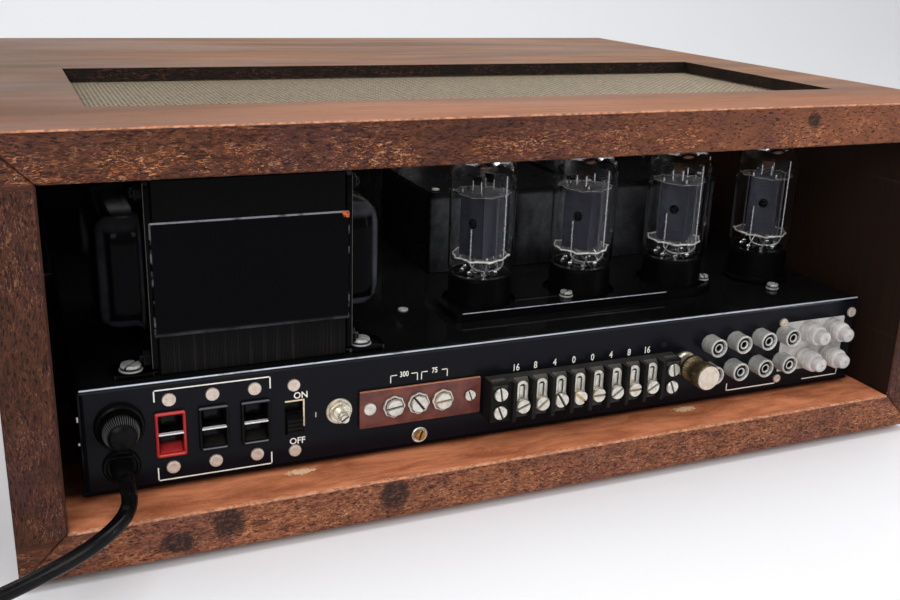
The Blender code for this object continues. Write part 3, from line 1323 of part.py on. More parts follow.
def muting_control():
    """The muting control: pot body, threaded bush, nut and washer as one fixed piece, and its slotted shaft."""
    back = -SHEET - GAP
    bush = solid("muting_bushing", lathe([
        (0, back - MUTING_POT_DEPTH), (MUTING_POT_RADIUS, back - MUTING_POT_DEPTH), (MUTING_POT_RADIUS, back),
        (MUTING_BUSH_RADIUS, back), (MUTING_BUSH_RADIUS, GAP), (MUTING_WASHER_RADIUS, GAP),
        (MUTING_WASHER_RADIUS, GAP + MUTING_WASHER_HEIGHT), (MUTING_BUSH_RADIUS, GAP + MUTING_WASHER_HEIGHT),
        (MUTING_BUSH_RADIUS, MUTING_BUSH_PROUD), (MUTING_SHAFT_RADIUS + SLIP, MUTING_BUSH_PROUD),
        (MUTING_SHAFT_RADIUS + SLIP, -MUTING_SHAFT_IN - SLIP), (0, -MUTING_SHAFT_IN - SLIP),
    ], MUTING_STEPS), "tin_plate")
    nut_start = GAP + MUTING_WASHER_HEIGHT / 2
    nut = slab(circle(MUTING_NUT_RADIUS, 6), nut_start, nut_start + MUTING_NUT_HEIGHT)
    hole = slab(circle((MUTING_SHAFT_RADIUS + MUTING_BUSH_RADIUS) / 2, 12), -OVERRUN, nut_start + 2 * MUTING_NUT_HEIGHT)
    ring = solid("ring", nut)
    cut_from(ring, hole)
    shape = bmesh.new()
    shape.from_mesh(ring.data)
    bpy.data.objects.remove(ring)
    add_to(bush, shape)
    on_apron(bush, MUTING_U, MUTING_V)

    shaft = solid("muting_shaft", slab(
        circle(MUTING_SHAFT_RADIUS, JACK_STEPS), -MUTING_SHAFT_IN, MUTING_SHAFT_PROUD), "tin_plate")
    half = MUTING_SLOT_WIDTH / 2
    cut_from(shaft, block(
        (-half, -MUTING_BUSH_RADIUS, MUTING_SHAFT_PROUD - MUTING_SLOT_DEPTH),
        (half, MUTING_BUSH_RADIUS, MUTING_SHAFT_PROUD + OVERRUN)))
    on_apron(shaft, MUTING_U, MUTING_V)


def antenna_board():
    """The phenolic strip with its terminal screws in cup washers."""
    piece = solid("antenna_board", block(
        (-ANTENNA_WIDTH / 2, -ANTENNA_HEIGHT / 2, GAP),
        (ANTENNA_WIDTH / 2, ANTENNA_HEIGHT / 2, GAP + ANTENNA_THICKNESS)), "phenolic_brown")
    top = GAP + ANTENNA_THICKNESS
    tools = []
    for place in range(ANTENNA_SCREW_COUNT):
        x = ANTENNA_SCREW_OFFSET + (place - (ANTENNA_SCREW_COUNT - 1) / 2) * ANTENNA_SCREW_SPACING
        tools.append(shifted(lathe([
            (0, top - ANTENNA_THICKNESS / 2), (ANTENNA_WASHER_RADIUS, top - ANTENNA_THICKNESS / 2),
            (ANTENNA_WASHER_RADIUS, top + ANTENNA_WASHER_HEIGHT), (ANTENNA_HEAD_RADIUS, top + ANTENNA_WASHER_HEIGHT),
            (ANTENNA_HEAD_RADIUS, top + ANTENNA_WASHER_HEIGHT + ANTENNA_HEAD_HEIGHT / 2),
            (ANTENNA_HEAD_RADIUS / 2, top + ANTENNA_WASHER_HEIGHT + ANTENNA_HEAD_HEIGHT),
            (0, top + ANTENNA_WASHER_HEIGHT + ANTENNA_HEAD_HEIGHT)], JACK_STEPS), x=x))
    add_to(piece, *tools)
    on_apron(piece, ANTENNA_U, ANTENNA_V)


def terminal_strip():
    """The barrier strip: one comb outline seen from above, carried up its height."""
    half = STRIP_TERMINALS * STRIP_SPACING / 2
    outer = half + STRIP_END
    fin = STRIP_FIN / 2
    points = [(-outer, GAP), (outer, GAP), (outer, STRIP_END_PROUD), (half + fin, STRIP_END_PROUD)]
    for place in range(STRIP_TERMINALS + 1):
        x = half - place * STRIP_SPACING
        points += [(x + fin, STRIP_PROUD), (x - fin, STRIP_PROUD)]
        if place < STRIP_TERMINALS:
            points += [(x - fin, STRIP_BASE), (x - STRIP_SPACING + fin, STRIP_BASE)]
    points += [(-half - fin, STRIP_END_PROUD), (-outer, STRIP_END_PROUD)]
    bm = exchanged(slab(points, -STRIP_HEIGHT / 2, STRIP_HEIGHT / 2), (0, 2, 1))
    piece = solid("speaker_terminal_strip", bm, "phenolic_black", smooth=False)
    on_apron(piece, STRIP_CENTRE, STRIP_V)


def ground_terminal():
    """The ground post's flange and stud, and the thumb nut that turns on it."""
    post = solid("ground_post", lathe([
        (0, -GROUND_BEHIND), (GROUND_STUD_RADIUS, -GROUND_BEHIND), (GROUND_STUD_RADIUS, GAP),
        (GROUND_FLANGE_RADIUS, GAP), (GROUND_FLANGE_RADIUS, GROUND_FLANGE_HEIGHT),
        (GROUND_STUD_RADIUS, 2 * GROUND_FLANGE_HEIGHT), (GROUND_STUD_RADIUS, GROUND_PROUD / 2),
        (0, GROUND_PROUD / 2),
    ], JACK_STEPS), "aged_nickel")
    on_apron(post, GROUND_U, GROUND_V)
    head = GROUND_PROUD - GROUND_NUT_HEAD
    knurl = knurled(GROUND_NUT_RADIUS, GROUND_NUT_KNURL)
    bore = GROUND_STUD_RADIUS + SLIP
    waist_top = head - (GROUND_NUT_RADIUS - GROUND_NUT_WAIST)
    nut = solid("ground_nut", lathe([
        (0, GROUND_PROUD / 2 + SLIP), (bore, GROUND_PROUD / 2 + SLIP), (bore, GROUND_NUT_START),
        (GROUND_NUT_WAIST, GROUND_NUT_START), (GROUND_NUT_WAIST, waist_top),
        (knurl, head), (knurl, GROUND_PROUD - GROUND_NUT_KNURL),
        (GROUND_NUT_RADIUS - 2 * GROUND_NUT_KNURL, GROUND_PROUD), (0, GROUND_PROUD),
    ], GROUND_NUT_STEPS), "aged_nickel")
    on_apron(nut, GROUND_U, GROUND_V)


def jack_places():
    """u and v of each phono jack, column by column from the cord end."""
    places = []
    for column in range(JACK_COLUMNS):
        for row in (0, 1):
            places.append((JACK_FIRST + column * JACK_SPACING, JACK_LOW_V + row * JACK_RISE))
    return places


def phono_jacks():
    """All phono jacks on one board behind the apron, and the push-on caps on the last columns."""
    places = jack_places()
    margin = JACK_BOARD_MARGIN
    back = -SHEET - GAP
    low = (places[0][0] - margin, places[0][1] - margin, back - JACK_BOARD_THICKNESS)
    high = (places[-1][0] + margin, places[-1][1] + margin, back)
    piece = solid("jack_board", block(low, high), "tin_plate")
    capped = len(places) - 2 * JACK_CAPPED_COLUMNS
    tools = []
    for place, (u, v) in enumerate(places):
        barrel = [(0, back - JACK_BOARD_THICKNESS / 2), (JACK_RADIUS, back - JACK_BOARD_THICKNESS / 2)]
        if place < capped:
            barrel += [(JACK_RADIUS, GAP), (JACK_COLLAR_RADIUS, GAP), (JACK_COLLAR_RADIUS, JACK_COLLAR_HEIGHT),
                       (JACK_RADIUS, JACK_COLLAR_HEIGHT)]
        barrel += [(JACK_RADIUS, JACK_PROUD), (JACK_BORE, JACK_PROUD),
                   (JACK_BORE, JACK_PROUD - JACK_BORE_DEPTH), (0, JACK_PROUD - JACK_BORE_DEPTH)]
        tools.append(shifted(lathe(barrel, JACK_STEPS), x=u, y=v))
    add_to(piece, *tools)
    on_apron(piece, 0, 0)

    for number, (u, v) in enumerate(places[capped:], 1):
        sleeve = JACK_RADIUS + GAP
        end = JACK_PROUD + GAP
        body = GAP + JACK_CAP_BODY
        cap = solid(f"jack_cap_{number}", lathe([
            (0, end), (sleeve, end), (sleeve, GAP), (JACK_CAP_RADIUS, GAP), (JACK_CAP_RADIUS, body - JACK_CAP_EDGE),
            (JACK_CAP_RADIUS - JACK_CAP_EDGE, body), (JACK_CAP_NOSE_RADIUS + JACK_CAP_EDGE, body),
            (JACK_CAP_NOSE_RADIUS, body + JACK_CAP_EDGE), (JACK_CAP_NOSE_RADIUS, body + JACK_CAP_NOSE - JACK_CAP_EDGE),
            (JACK_CAP_NOSE_RADIUS - JACK_CAP_EDGE, body + JACK_CAP_NOSE), (0, body + JACK_CAP_NOSE),
        ], JACK_CAP_STEPS), "cap_white")
        on_apron(cap, u, v)


# Cord

def tube_curve(name, points, resolution):
    """A cord along the points, as a poly curve with a round bevel and closed ends."""
    curve = bpy.data.curves.new(name, "CURVE")
    curve.dimensions = "3D"
    curve.bevel_depth = CORD_RADIUS
    curve.bevel_resolution = resolution
    curve.use_fill_caps = True
    spline = curve.splines.new("POLY")
    spline.points.add(len(points) - 1)
    for slot, point in zip(spline.points, points):
        slot.co = (*point, 1.0)
    piece = bpy.data.objects.new(name, curve)
    bpy.context.scene.collection.objects.link(piece)
    curve.materials.append(finish("cord_black"))
    return piece


def smooth_route(route, spacing):
    """Points at even spacing along a Catmull-Rom curve through the route."""
    knots = np.array([route[0]] + list(route) + [route[-1]])
    fine = []
    for start in range(len(route) - 1):
        a, b, c, d = knots[start:start + 4]
        for t in np.linspace(0, 1, 20, endpoint=False):
            fine.append(0.5 * (2 * b + (c - a) * t + (2 * a - 5 * b + 4 * c - d) * t ** 2
                               + (3 * b - a - 3 * c + d) * t ** 3))
    fine.append(knots[-1])
    fine = np.array(fine)
    walked = np.concatenate([[0], np.cumsum(np.linalg.norm(np.diff(fine, axis=0), axis=1))])
    count = max(2, int(round(walked[-1] / spacing)) + 1)
    at = np.linspace(0, walked[-1], count)
    return np.column_stack([np.interp(at, walked, fine[:, axis]) for axis in range(3)])


def coil_points():
    """The coil: in along the surface, a climb in the half turn where it reverses, and out again on top.

    It starts at the coil's rear side heading +X and turns clockwise seen from above. Radius falls
    by one pitch a turn, follows a parabola through the half turn, and grows again at the same rate.
    """
    outer = COIL_INNER + COIL_SPACING * COIL_TURNS
    centre = coil_centre()
    half_turn = 0.5
    total = COIL_TURNS + half_turn + COIL_OUT_TURNS
    count = int(round(total * COIL_POINTS)) + 1
    turn = np.linspace(0, total, count)
    climb = np.clip((turn - COIL_TURNS) / half_turn, 0, 1)
    inward = COIL_SPACING * np.minimum(turn, COIL_TURNS)
    dip = COIL_SPACING * half_turn * (climb - climb ** 2)
    outward = COIL_SPACING * np.maximum(turn - COIL_TURNS - half_turn, 0)
    radius = outer - inward - dip + outward
    angle = math.pi / 2 - 2 * math.pi * turn
    rise = COIL_LIFT + CORD_RADIUS + COIL_SPACING * (3 * climb ** 2 - 2 * climb ** 3)
    points = np.column_stack([
        centre[0] + radius * np.cos(angle), centre[1] + radius * np.sin(angle), rise])
    start = points[0] - np.array([CORD_DIAMETER, 0, 0])
    heading = np.array([math.sin(angle[-1]), -math.cos(angle[-1]), 0])
    end = points[-1] + heading * COIL_TAIL
    return np.vstack([start, points, end]), heading


def least_gap(points):
    """The smallest clear distance between parts of the tube that lie more than a half turn apart."""
    least = math.inf
    apart = COIL_POINTS // 3
    a, b = points[:-1], points[1:]
    samples = np.concatenate([a + (b - a) * t for t in (0.0, 0.25, 0.5, 0.75)])
    order = np.concatenate([np.arange(len(a)) + t for t in (0.0, 0.25, 0.5, 0.75)])
    for place, point in zip(order, samples):
        far = samples[np.abs(order - place) > apart]
        least = min(least, np.min(np.linalg.norm(far - point, axis=1)))
    return least - CORD_DIAMETER


def power_cord():
    """The free stretch from the strain relief to the coil, the coil, its tie and the plug."""
    def placed(point):
        u, out, up = point
        return (CHASSIS_WIDTH / 2 - u, APRON + out, up)

    points, heading = coil_points()
    leave = placed((RELIEF_U, RELIEF_OUTSIDE + GAP, CHASSIS_BOTTOM + RELIEF_V))
    meet = points[0] - np.array([GAP, 0, 0])
    route = [leave] + [placed(point) for point in CORD_ROUTE] + [meet - np.array([CORD_DIAMETER, 0, 0]), meet]
    tube_curve("power_cord", smooth_route(route, 2.2 * CORD_DIAMETER), 2)
    tube_curve("cord_coil", points, 1)
    print("coil: least gap to itself %.2f mm" % (least_gap(points) * 1000))
    plug(points[-1], heading)
    coil_tie()


def coil_centre():
    """Where the middle of the coil lies on the resting surface."""
    outer = COIL_INNER + COIL_SPACING * COIL_TURNS
    return np.array([COIL_CENTRE_X, CABINET_REAR + COIL_START_BEHIND - outer])


def coil_tie():
    """A flat strap closed round all the turns at one place; the coil rests on it."""
    turned = (90 - TIE_ANGLE_DEG) % 360 / 360
    outer = COIL_INNER + COIL_SPACING * (COIL_TURNS - turned)
    innermost = COIL_INNER - COIL_SPACING / 8 - CORD_RADIUS
    near = math.sqrt(innermost ** 2 - TIE_WIDTH ** 2) - TIE_SLACK
    far = outer + CORD_RADIUS + TIE_SLACK
    low, high = TIE_THICKNESS, COIL_LIFT + COIL_SPACING + CORD_DIAMETER + TIE_SLACK
    wall = 2 * TIE_THICKNESS
    band = solid("coil_tie", slab(
        rounded_rectangle(far - near + wall, high - low + wall, CORD_RADIUS), -TIE_WIDTH / 2, TIE_WIDTH / 2),
        "cord_black")
    cut_from(band, slab(
        rounded_rectangle(far - near, high - low, CORD_RADIUS - TIE_THICKNESS),
        -TIE_WIDTH / 2 - OVERRUN, TIE_WIDTH / 2 + OVERRUN))
    turn = Matrix.Rotation(math.radians(TIE_ANGLE_DEG), 4, "Z")
    upright = Matrix.Rotation(math.radians(90), 4, "X")
    out = Matrix.Translation(Vector(((near + far) / 2, 0, (low + high) / 2)))
    band.matrix_world = Matrix.Translation(Vector((*coil_centre(), 0))) @ turn @ out @ upright


def plug(cord_end, heading):
    """A two-blade plug that takes the coil's end at its neck and lies on the resting surface."""
    body = solid("power_plug", lathe([
        (0, GAP), (PLUG_NECK_RADIUS * 3 / 4, GAP), (PLUG_NECK_RADIUS, PLUG_NECK / 2), (PLUG_NECK_RADIUS, PLUG_NECK),
        (PLUG_RADIUS, PLUG_NECK + PLUG_RADIUS - PLUG_NECK_RADIUS), (PLUG_RADIUS, PLUG_NECK + PLUG_LENGTH - PLUG_FACE),
        (PLUG_RADIUS - PLUG_FACE / 2, PLUG_NECK + PLUG_LENGTH), (0, PLUG_NECK + PLUG_LENGTH),
    ], TUBE_STEPS), "phenolic_black")
    face = PLUG_NECK + PLUG_LENGTH
    blades = []
    for side in (-1, 1):
        x = side * BLADE_SPACING / 2
        blades.append(block(
            (x - BLADE_THICKNESS / 2, -BLADE_WIDTH / 2, face - BLADE_ROOT),
            (x + BLADE_THICKNESS / 2, BLADE_WIDTH / 2, face + BLADE_LENGTH)))
    add_to(body, *blades)
    out = Vector(heading).normalized()
    up = Vector((0, 0, 1))
    side = up.cross(out)
    turn = Matrix((side, up, out)).transposed().to_4x4()
    body.matrix_world = Matrix.Translation(Vector(cord_end)) @ turn


def build():
    """Everything, from the cabinet to the cord."""
    for piece in list(bpy.data.objects):
        bpy.data.objects.remove(piece)
    cabinet()
    top_grille()
    chassis()
    socket_plate()
    power_transformer()
    output_transformers()
    output_tubes()
    tuner()
    tuning_gang()
    front_panel()
    dial()
    front_controls()
    fuse()
    strain_relief()
    outlets()
    speaker_switch()
    muting_control()
    antenna_board()
    terminal_strip()
    ground_terminal()
    phono_jacks()
    power_cord()


build()
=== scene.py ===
import math
import bpy
import bmesh
import numpy as np
from mathutils import Matrix, Vector


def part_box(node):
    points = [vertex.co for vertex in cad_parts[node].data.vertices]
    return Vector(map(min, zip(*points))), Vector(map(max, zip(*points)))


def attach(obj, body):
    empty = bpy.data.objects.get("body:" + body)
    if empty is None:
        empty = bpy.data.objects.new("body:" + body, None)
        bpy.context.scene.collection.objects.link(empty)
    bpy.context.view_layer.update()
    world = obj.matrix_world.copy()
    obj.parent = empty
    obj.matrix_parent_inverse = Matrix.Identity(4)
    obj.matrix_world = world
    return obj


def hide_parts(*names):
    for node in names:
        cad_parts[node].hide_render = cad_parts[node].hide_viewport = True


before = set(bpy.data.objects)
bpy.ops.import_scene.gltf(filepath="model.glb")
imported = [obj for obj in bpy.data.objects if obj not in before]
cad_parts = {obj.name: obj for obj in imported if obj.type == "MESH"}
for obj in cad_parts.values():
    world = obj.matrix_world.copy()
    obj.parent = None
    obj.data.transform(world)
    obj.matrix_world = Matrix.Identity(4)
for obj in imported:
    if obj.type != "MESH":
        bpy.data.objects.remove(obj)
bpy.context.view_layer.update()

# All shapes below are worked out in millimetres; piece() turns them into metres.
MM = 0.001

# Planes of the set: the apron's face, the chassis's lower edge, deck and cord end, the front panel's face
APRON = 169.5
CHASSIS_BOTTOM = 26.1
DECK = 74.1
CHASSIS_EDGE = 202.5
PANEL = -168.5

# Places on the apron: along from its cord end, and up from its lower edge
FUSE_AT = (14.9, 30.5)
MUTING_AT = (109.0, 23.4)
GROUND_AT = (293.5, 23.2)
OUTLETS = (("outlet_red", 35.3), ("outlet_black_inner", 53.3), ("outlet_black_outer", 71.3))
OUTLET_HEIGHT = 24.0
STRIP_BAYS = [232.5 + (place - 3.5) * 10.3 for place in range(8)]
JACK_COLUMNS = [308.0 + 15.9 * column for column in range(6)]
JACK_ROWS = (17.2, 32.4)

# Places on the front panel
KNOB_ROW = (("selector_knob", -160), ("volume_knob", -96), ("balance_knob", -32), ("bass_knob", 32),
            ("treble_knob", 96))
KNOB_ROW_Z = 53.6
TUNING_AT = (148, 115.6)
DIAL_X = -45

# Full circle and quarter turn
ROUND, QUARTER = 2 * math.pi, math.pi / 2


def link(made):
    bpy.context.scene.collection.objects.link(made)
    return made


# Camera: where it stands and how it is turned, solved from the cabinet's corners in the picture
def make_camera():
    eye = Vector((0.220116, 0.580884, 0.247151))
    right = Vector((-0.92085642, 0.38851237, 0.03288747))
    up = Vector((-0.09503054, -0.30544436, 0.94745604))
    forward = Vector((-0.37814368, -0.86934566, -0.31819094))
    data = bpy.data.cameras.new("camera")
    data.lens = 41.84
    data.sensor_width = 36.0
    data.clip_start = 0.01
    data.clip_end = 20.0
    camera = bpy.data.objects.new("camera", data)
    turn = Matrix((right, up, -forward)).transposed().to_4x4()
    camera.matrix_world = Matrix.Translation(eye) @ turn
    bpy.context.scene.camera = link(camera)


# Shapes: every surface is a grid of points, rows by columns by three
def unit(vector):
    vector = np.asarray(vector, float)
    return vector / np.linalg.norm(vector, axis=-1, keepdims=True)


def across(axis):
    """Two unit vectors square to the axis and to each other: axis x helper, then axis x that."""
    axis = unit(axis)
    helper = np.array([1.0, 0, 0]) if abs(axis[0]) < 0.9 else np.array([0, 1.0, 0])
    side = unit(np.cross(axis, helper))
    return side, np.cross(axis, side)


def shell(points, ring_rows=False, ring_columns=False, look=0):
    return {"points": np.asarray(points, float), "ring": (ring_rows, ring_columns), "look": look}


def turned(profile, origin=(0, 0, 0), axis=(0, 0, 1), steps=32, look=0, flutes=0, depth=0.0, fluted=None,
           start=0.0, span=ROUND, reach=(1.0, 1.0)):
    """Each (radius, along) of the profile goes round the axis.

    point = origin + along * axis + radius * (cos a * side + sin a * other), where the radius of the
    fluted rows falls and rises by depth * cos(flutes * a), and reach stretches side and other.
    """
    profile = np.asarray(profile, float)
    whole = span > 6.28
    a = start + np.linspace(0, span, steps, endpoint=not whole)
    side, other = across(axis)
    radius = np.repeat(profile[:, :1], len(a), axis=1)
    if flutes:
        rows = np.ones(len(profile)) if fluted is None else np.isin(np.arange(len(profile)), fluted)
        radius = radius + rows[:, None] * depth * np.cos(flutes * a)[None, :]
    ring = reach[0] * np.cos(a)[:, None] * side + reach[1] * np.sin(a)[:, None] * other
    points = np.asarray(origin, float) + profile[:, 1, None, None] * unit(axis) + radius[..., None] * ring
    return shell(points, False, whole, look)


def rounded_ring(half_width, half_height, corner, steps=4):
    """Corner centre plus corner radius times (cos a, sin a), a quarter turn at each of four corners."""
    corner = min(corner, half_width - 0.001, half_height - 0.001)
    a = np.linspace(0, QUARTER, steps + 1)
    arcs = []
    for turn, (sx, sy) in enumerate(((1, 1), (-1, 1), (-1, -1), (1, -1))):
        b = a + turn * QUARTER
        arcs.append(np.column_stack([sx * (half_width - corner) + corner * np.cos(b),
                                     sy * (half_height - corner) + corner * np.sin(b)]))
    return np.vstack(arcs)


def block(low, high, corner=0.8, edge=0.3, axis=2, look=0, steps=3, arc=3):
    """A block with round corners and softened ends: rounded rings stacked along one axis.

    Near each end the ring draws in by edge * (1 - sin t) while it climbs by edge * (1 - cos t).
    """
    low, high = np.minimum(low, high).astype(float), np.maximum(low, high).astype(float)
    a, b = [(1, 2), (2, 0), (0, 1)][axis]
    half = (high - low) / 2
    middle = (high + low) / 2
    edge = min(edge, half[a] * 0.9, half[b] * 0.9, half[axis] * 0.9)
    t = np.linspace(0, QUARTER, arc)
    draw = edge * (1 - np.sin(t))
    climb = edge * (1 - np.cos(t))
    rows = [(None, low[axis])] + [(d, low[axis] + c) for d, c in zip(draw, climb)]
    rows += [(d, high[axis] - c) for d, c in zip(draw[::-1], climb[::-1])] + [(None, high[axis])]
    count = 4 * (steps + 1)
    points = np.zeros((len(rows), count, 3))
    for row, (inset, along) in enumerate(rows):
        ring = np.zeros((count, 2)) if inset is None else rounded_ring(
            half[a] - inset, half[b] - inset, max(corner - inset, 0.02), steps)
        points[row, :, a] = middle[a] + ring[:, 0]
        points[row, :, b] = middle[b] + ring[:, 1]
        points[row, :, axis] = along
    return shell(points, False, True, look)


def prism(outline, low, high, axis=2, edge=0.2, look=0):
    """A flat outline carried from low to high along an axis, drawn in by edge at both ends."""
    outline = np.asarray(outline, float)
    middle = outline.mean(axis=0)
    size = np.abs(outline - middle).max()
    a, b = [(1, 2), (2, 0), (0, 1)][axis]
    rows = [(0.0, low), (1 - edge / size, low), (1.0, low + edge), (1.0, high - edge),
            (1 - edge / size, high), (0.0, high)]
    points = np.zeros((len(rows), len(outline), 3))
    for row, (share, along) in enumerate(rows):
        ring = middle + (outline - middle) * share
        points[row, :, a] = ring[:, 0]
        points[row, :, b] = ring[:, 1]
        points[row, :, axis] = along
    return shell(points, False, True, look)


def carried(section, path, up=(0, 0, 1), look=0, scale=None, closed_ends=True):
    """A closed section carried along a path: point = path + scale * (s * side + t * lift).

    side = tangent x up and lift = side x tangent, so the section keeps its top towards up.
    """
    path = np.asarray(path, float)
    scale = np.ones(len(path)) if scale is None else np.asarray(scale, float)
    tangent = unit(np.gradient(path, axis=0))
    up = np.broadcast_to(np.asarray(up, float), path.shape)
    side = unit(np.cross(tangent, up))
    lift = np.cross(side, tangent)
    if closed_ends:
        path = np.vstack([path[:1], path, path[-1:]])
        side = np.vstack([side[:1], side, side[-1:]])
        lift = np.vstack([lift[:1], lift, lift[-1:]])
        scale = np.concatenate([[0.0], scale, [0.0]])
    section = np.asarray(section, float)
    points = path[:, None] + scale[:, None, None] * (
        section[None, :, :1] * side[:, None] + section[None, :, 1:] * lift[:, None])
    return shell(points, False, True, look)


def disc_section(radius, steps=8):
    """radius * (cos a, sin a)."""
    a = np.linspace(0, ROUND, steps, endpoint=False)
    return radius * np.column_stack([np.cos(a), np.sin(a)])


def wire(path, radius, look=0, steps=8, up=(0.31, 0.17, 1.0)):
    return carried(disc_section(radius, steps), path, up, look)


def moved(part, by):
    part["points"] = part["points"] + np.asarray(by, float)
    return part


def spun(part, degrees, centre=(0, 0, 0)):
    """Turns a shell about a vertical line through centre."""
    a = math.radians(degrees)
    turn = np.array([[math.cos(a), -math.sin(a), 0], [math.sin(a), math.cos(a), 0], [0, 0, 1]])
    centre = np.asarray(centre, float)
    part["points"] = (part["points"] - centre) @ turn.T + centre
    return part


def facing_rear(part):
    """Lays a shell drawn with +Z out of a wall against the apron: x is reversed, y goes up and z to +Y."""
    p = part["points"]
    part["points"] = np.stack([-p[..., 0], p[..., 2], p[..., 1]], axis=-1)
    return part


def rear(u, v, out=0.0):
    """The apron's own measures as a place: u from its cord end, v above its lower edge, out of its face."""
    return np.array([CHASSIS_EDGE - u, APRON + out, CHASSIS_BOTTOM + v])


def on_apron(parts, u, v, out=0.0):
    at = rear(u, v, out)
    return [moved(facing_rear(part), at) for part in parts]


def rear_block(u, half, v_low, v_high, out_low, out_high, *shape):
    """A block on the apron: half its width each side of u, between two heights and two distances out."""
    return block(rear(u + half, v_low, out_low), rear(u - half, v_high, out_high), *shape)


def side_prism(u, half, outline, edge, look=0):
    """An outline of (out, up) seen from the apron's end, carried along it by half each side of u."""
    out, v = np.asarray(outline, float).T
    x = CHASSIS_EDGE - u
    return prism(np.column_stack([APRON + out, CHASSIS_BOTTOM + v]), x - half, x + half, 0, edge, look)


def capped(rows, look=0):
    """A skin over rings of points, closed by a point in the middle of the first ring and of the last."""
    rows = np.asarray(rows, float)
    ends = rows[[0, -1]].mean(axis=1, keepdims=True).repeat(rows.shape[1], axis=1)
    return shell(np.concatenate([ends[:1], rows, ends[1:]]), False, True, look)


def grid_quads(rows, columns, ring_rows=False, ring_columns=False):
    """Each cell of a grid as four corner numbers; a ring also joins its last line to its first."""
    r = np.arange(rows if ring_rows else rows - 1)
    c = np.arange(columns if ring_columns else columns - 1)
    r, c = np.meshgrid(r, c, indexing="ij")
    r2, c2 = (r + 1) % rows, (c + 1) % columns
    quads = [r * columns + c, r2 * columns + c, r2 * columns + c2, r * columns + c2]
    return np.stack(quads, -1).reshape(-1, 4)


def hang(name, mesh, body, replaces=()):
    """Puts a mesh in the scene on its body and the nodes that it stands for."""
    made = link(bpy.data.objects.new(name, mesh))
    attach(made, body)
    if replaces:
        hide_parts(*([replaces] if isinstance(replaces, str) else replaces))
    return made


def piece(name, shells, looks, body="receiver", replaces=(), crease=32.0):
    """One mesh of several shells. Quads join each grid's neighbours; poles and seams are merged."""
    points, quads, marks = [], [], []
    start = 0
    for part in shells:
        rows, columns = part["points"].shape[:2]
        cells = grid_quads(rows, columns, *part["ring"])
        quads.append(cells + start)
        marks.append(np.full(len(cells), part["look"]))
        points.append(part["points"].reshape(-1, 3))
        start += rows * columns
    mesh = bpy.data.meshes.new(name)
    mesh.from_pydata((np.vstack(points) * MM).tolist(), [], np.vstack(quads).tolist())
    mesh.polygons.foreach_set("material_index", np.concatenate(marks).astype(np.int32))
    for look in looks:
        mesh.materials.append(look)
    work = bmesh.new()
    work.from_mesh(mesh)
    bmesh.ops.remove_doubles(work, verts=work.verts, dist=2e-6)
    bmesh.ops.dissolve_degenerate(work, edges=work.edges, dist=1e-7)
    bmesh.ops.recalc_face_normals(work, faces=work.faces)
    work.to_mesh(mesh)
    work.free()
    mesh.polygons.foreach_set("use_smooth", np.ones(len(mesh.polygons), bool))
    mesh.set_sharp_from_angle(angle=math.radians(crease))
    mesh.update()
    return hang(name, mesh, body, replaces)


# Materials: short words for the nodes of one tree
SOCKETS = {"colour": "Base Color", "rough": "Roughness", "metal": "Metallic", "normal": "Normal",
           "alpha": "Alpha", "ior": "IOR", "clear": "Transmission Weight", "specular": "Specular IOR Level",
           "mirror": "Specular Tint"}


def tone(red, green, blue):
    """A colour as the eye reads it, from 0 to 255, as the linear colour that a shader takes."""
    def linear(value):
        value = value / 255
        return value / 12.92 if value <= 0.04045 else ((value + 0.055) / 1.055) ** 2.4
    return (linear(red), linear(green), linear(blue), 1.0)


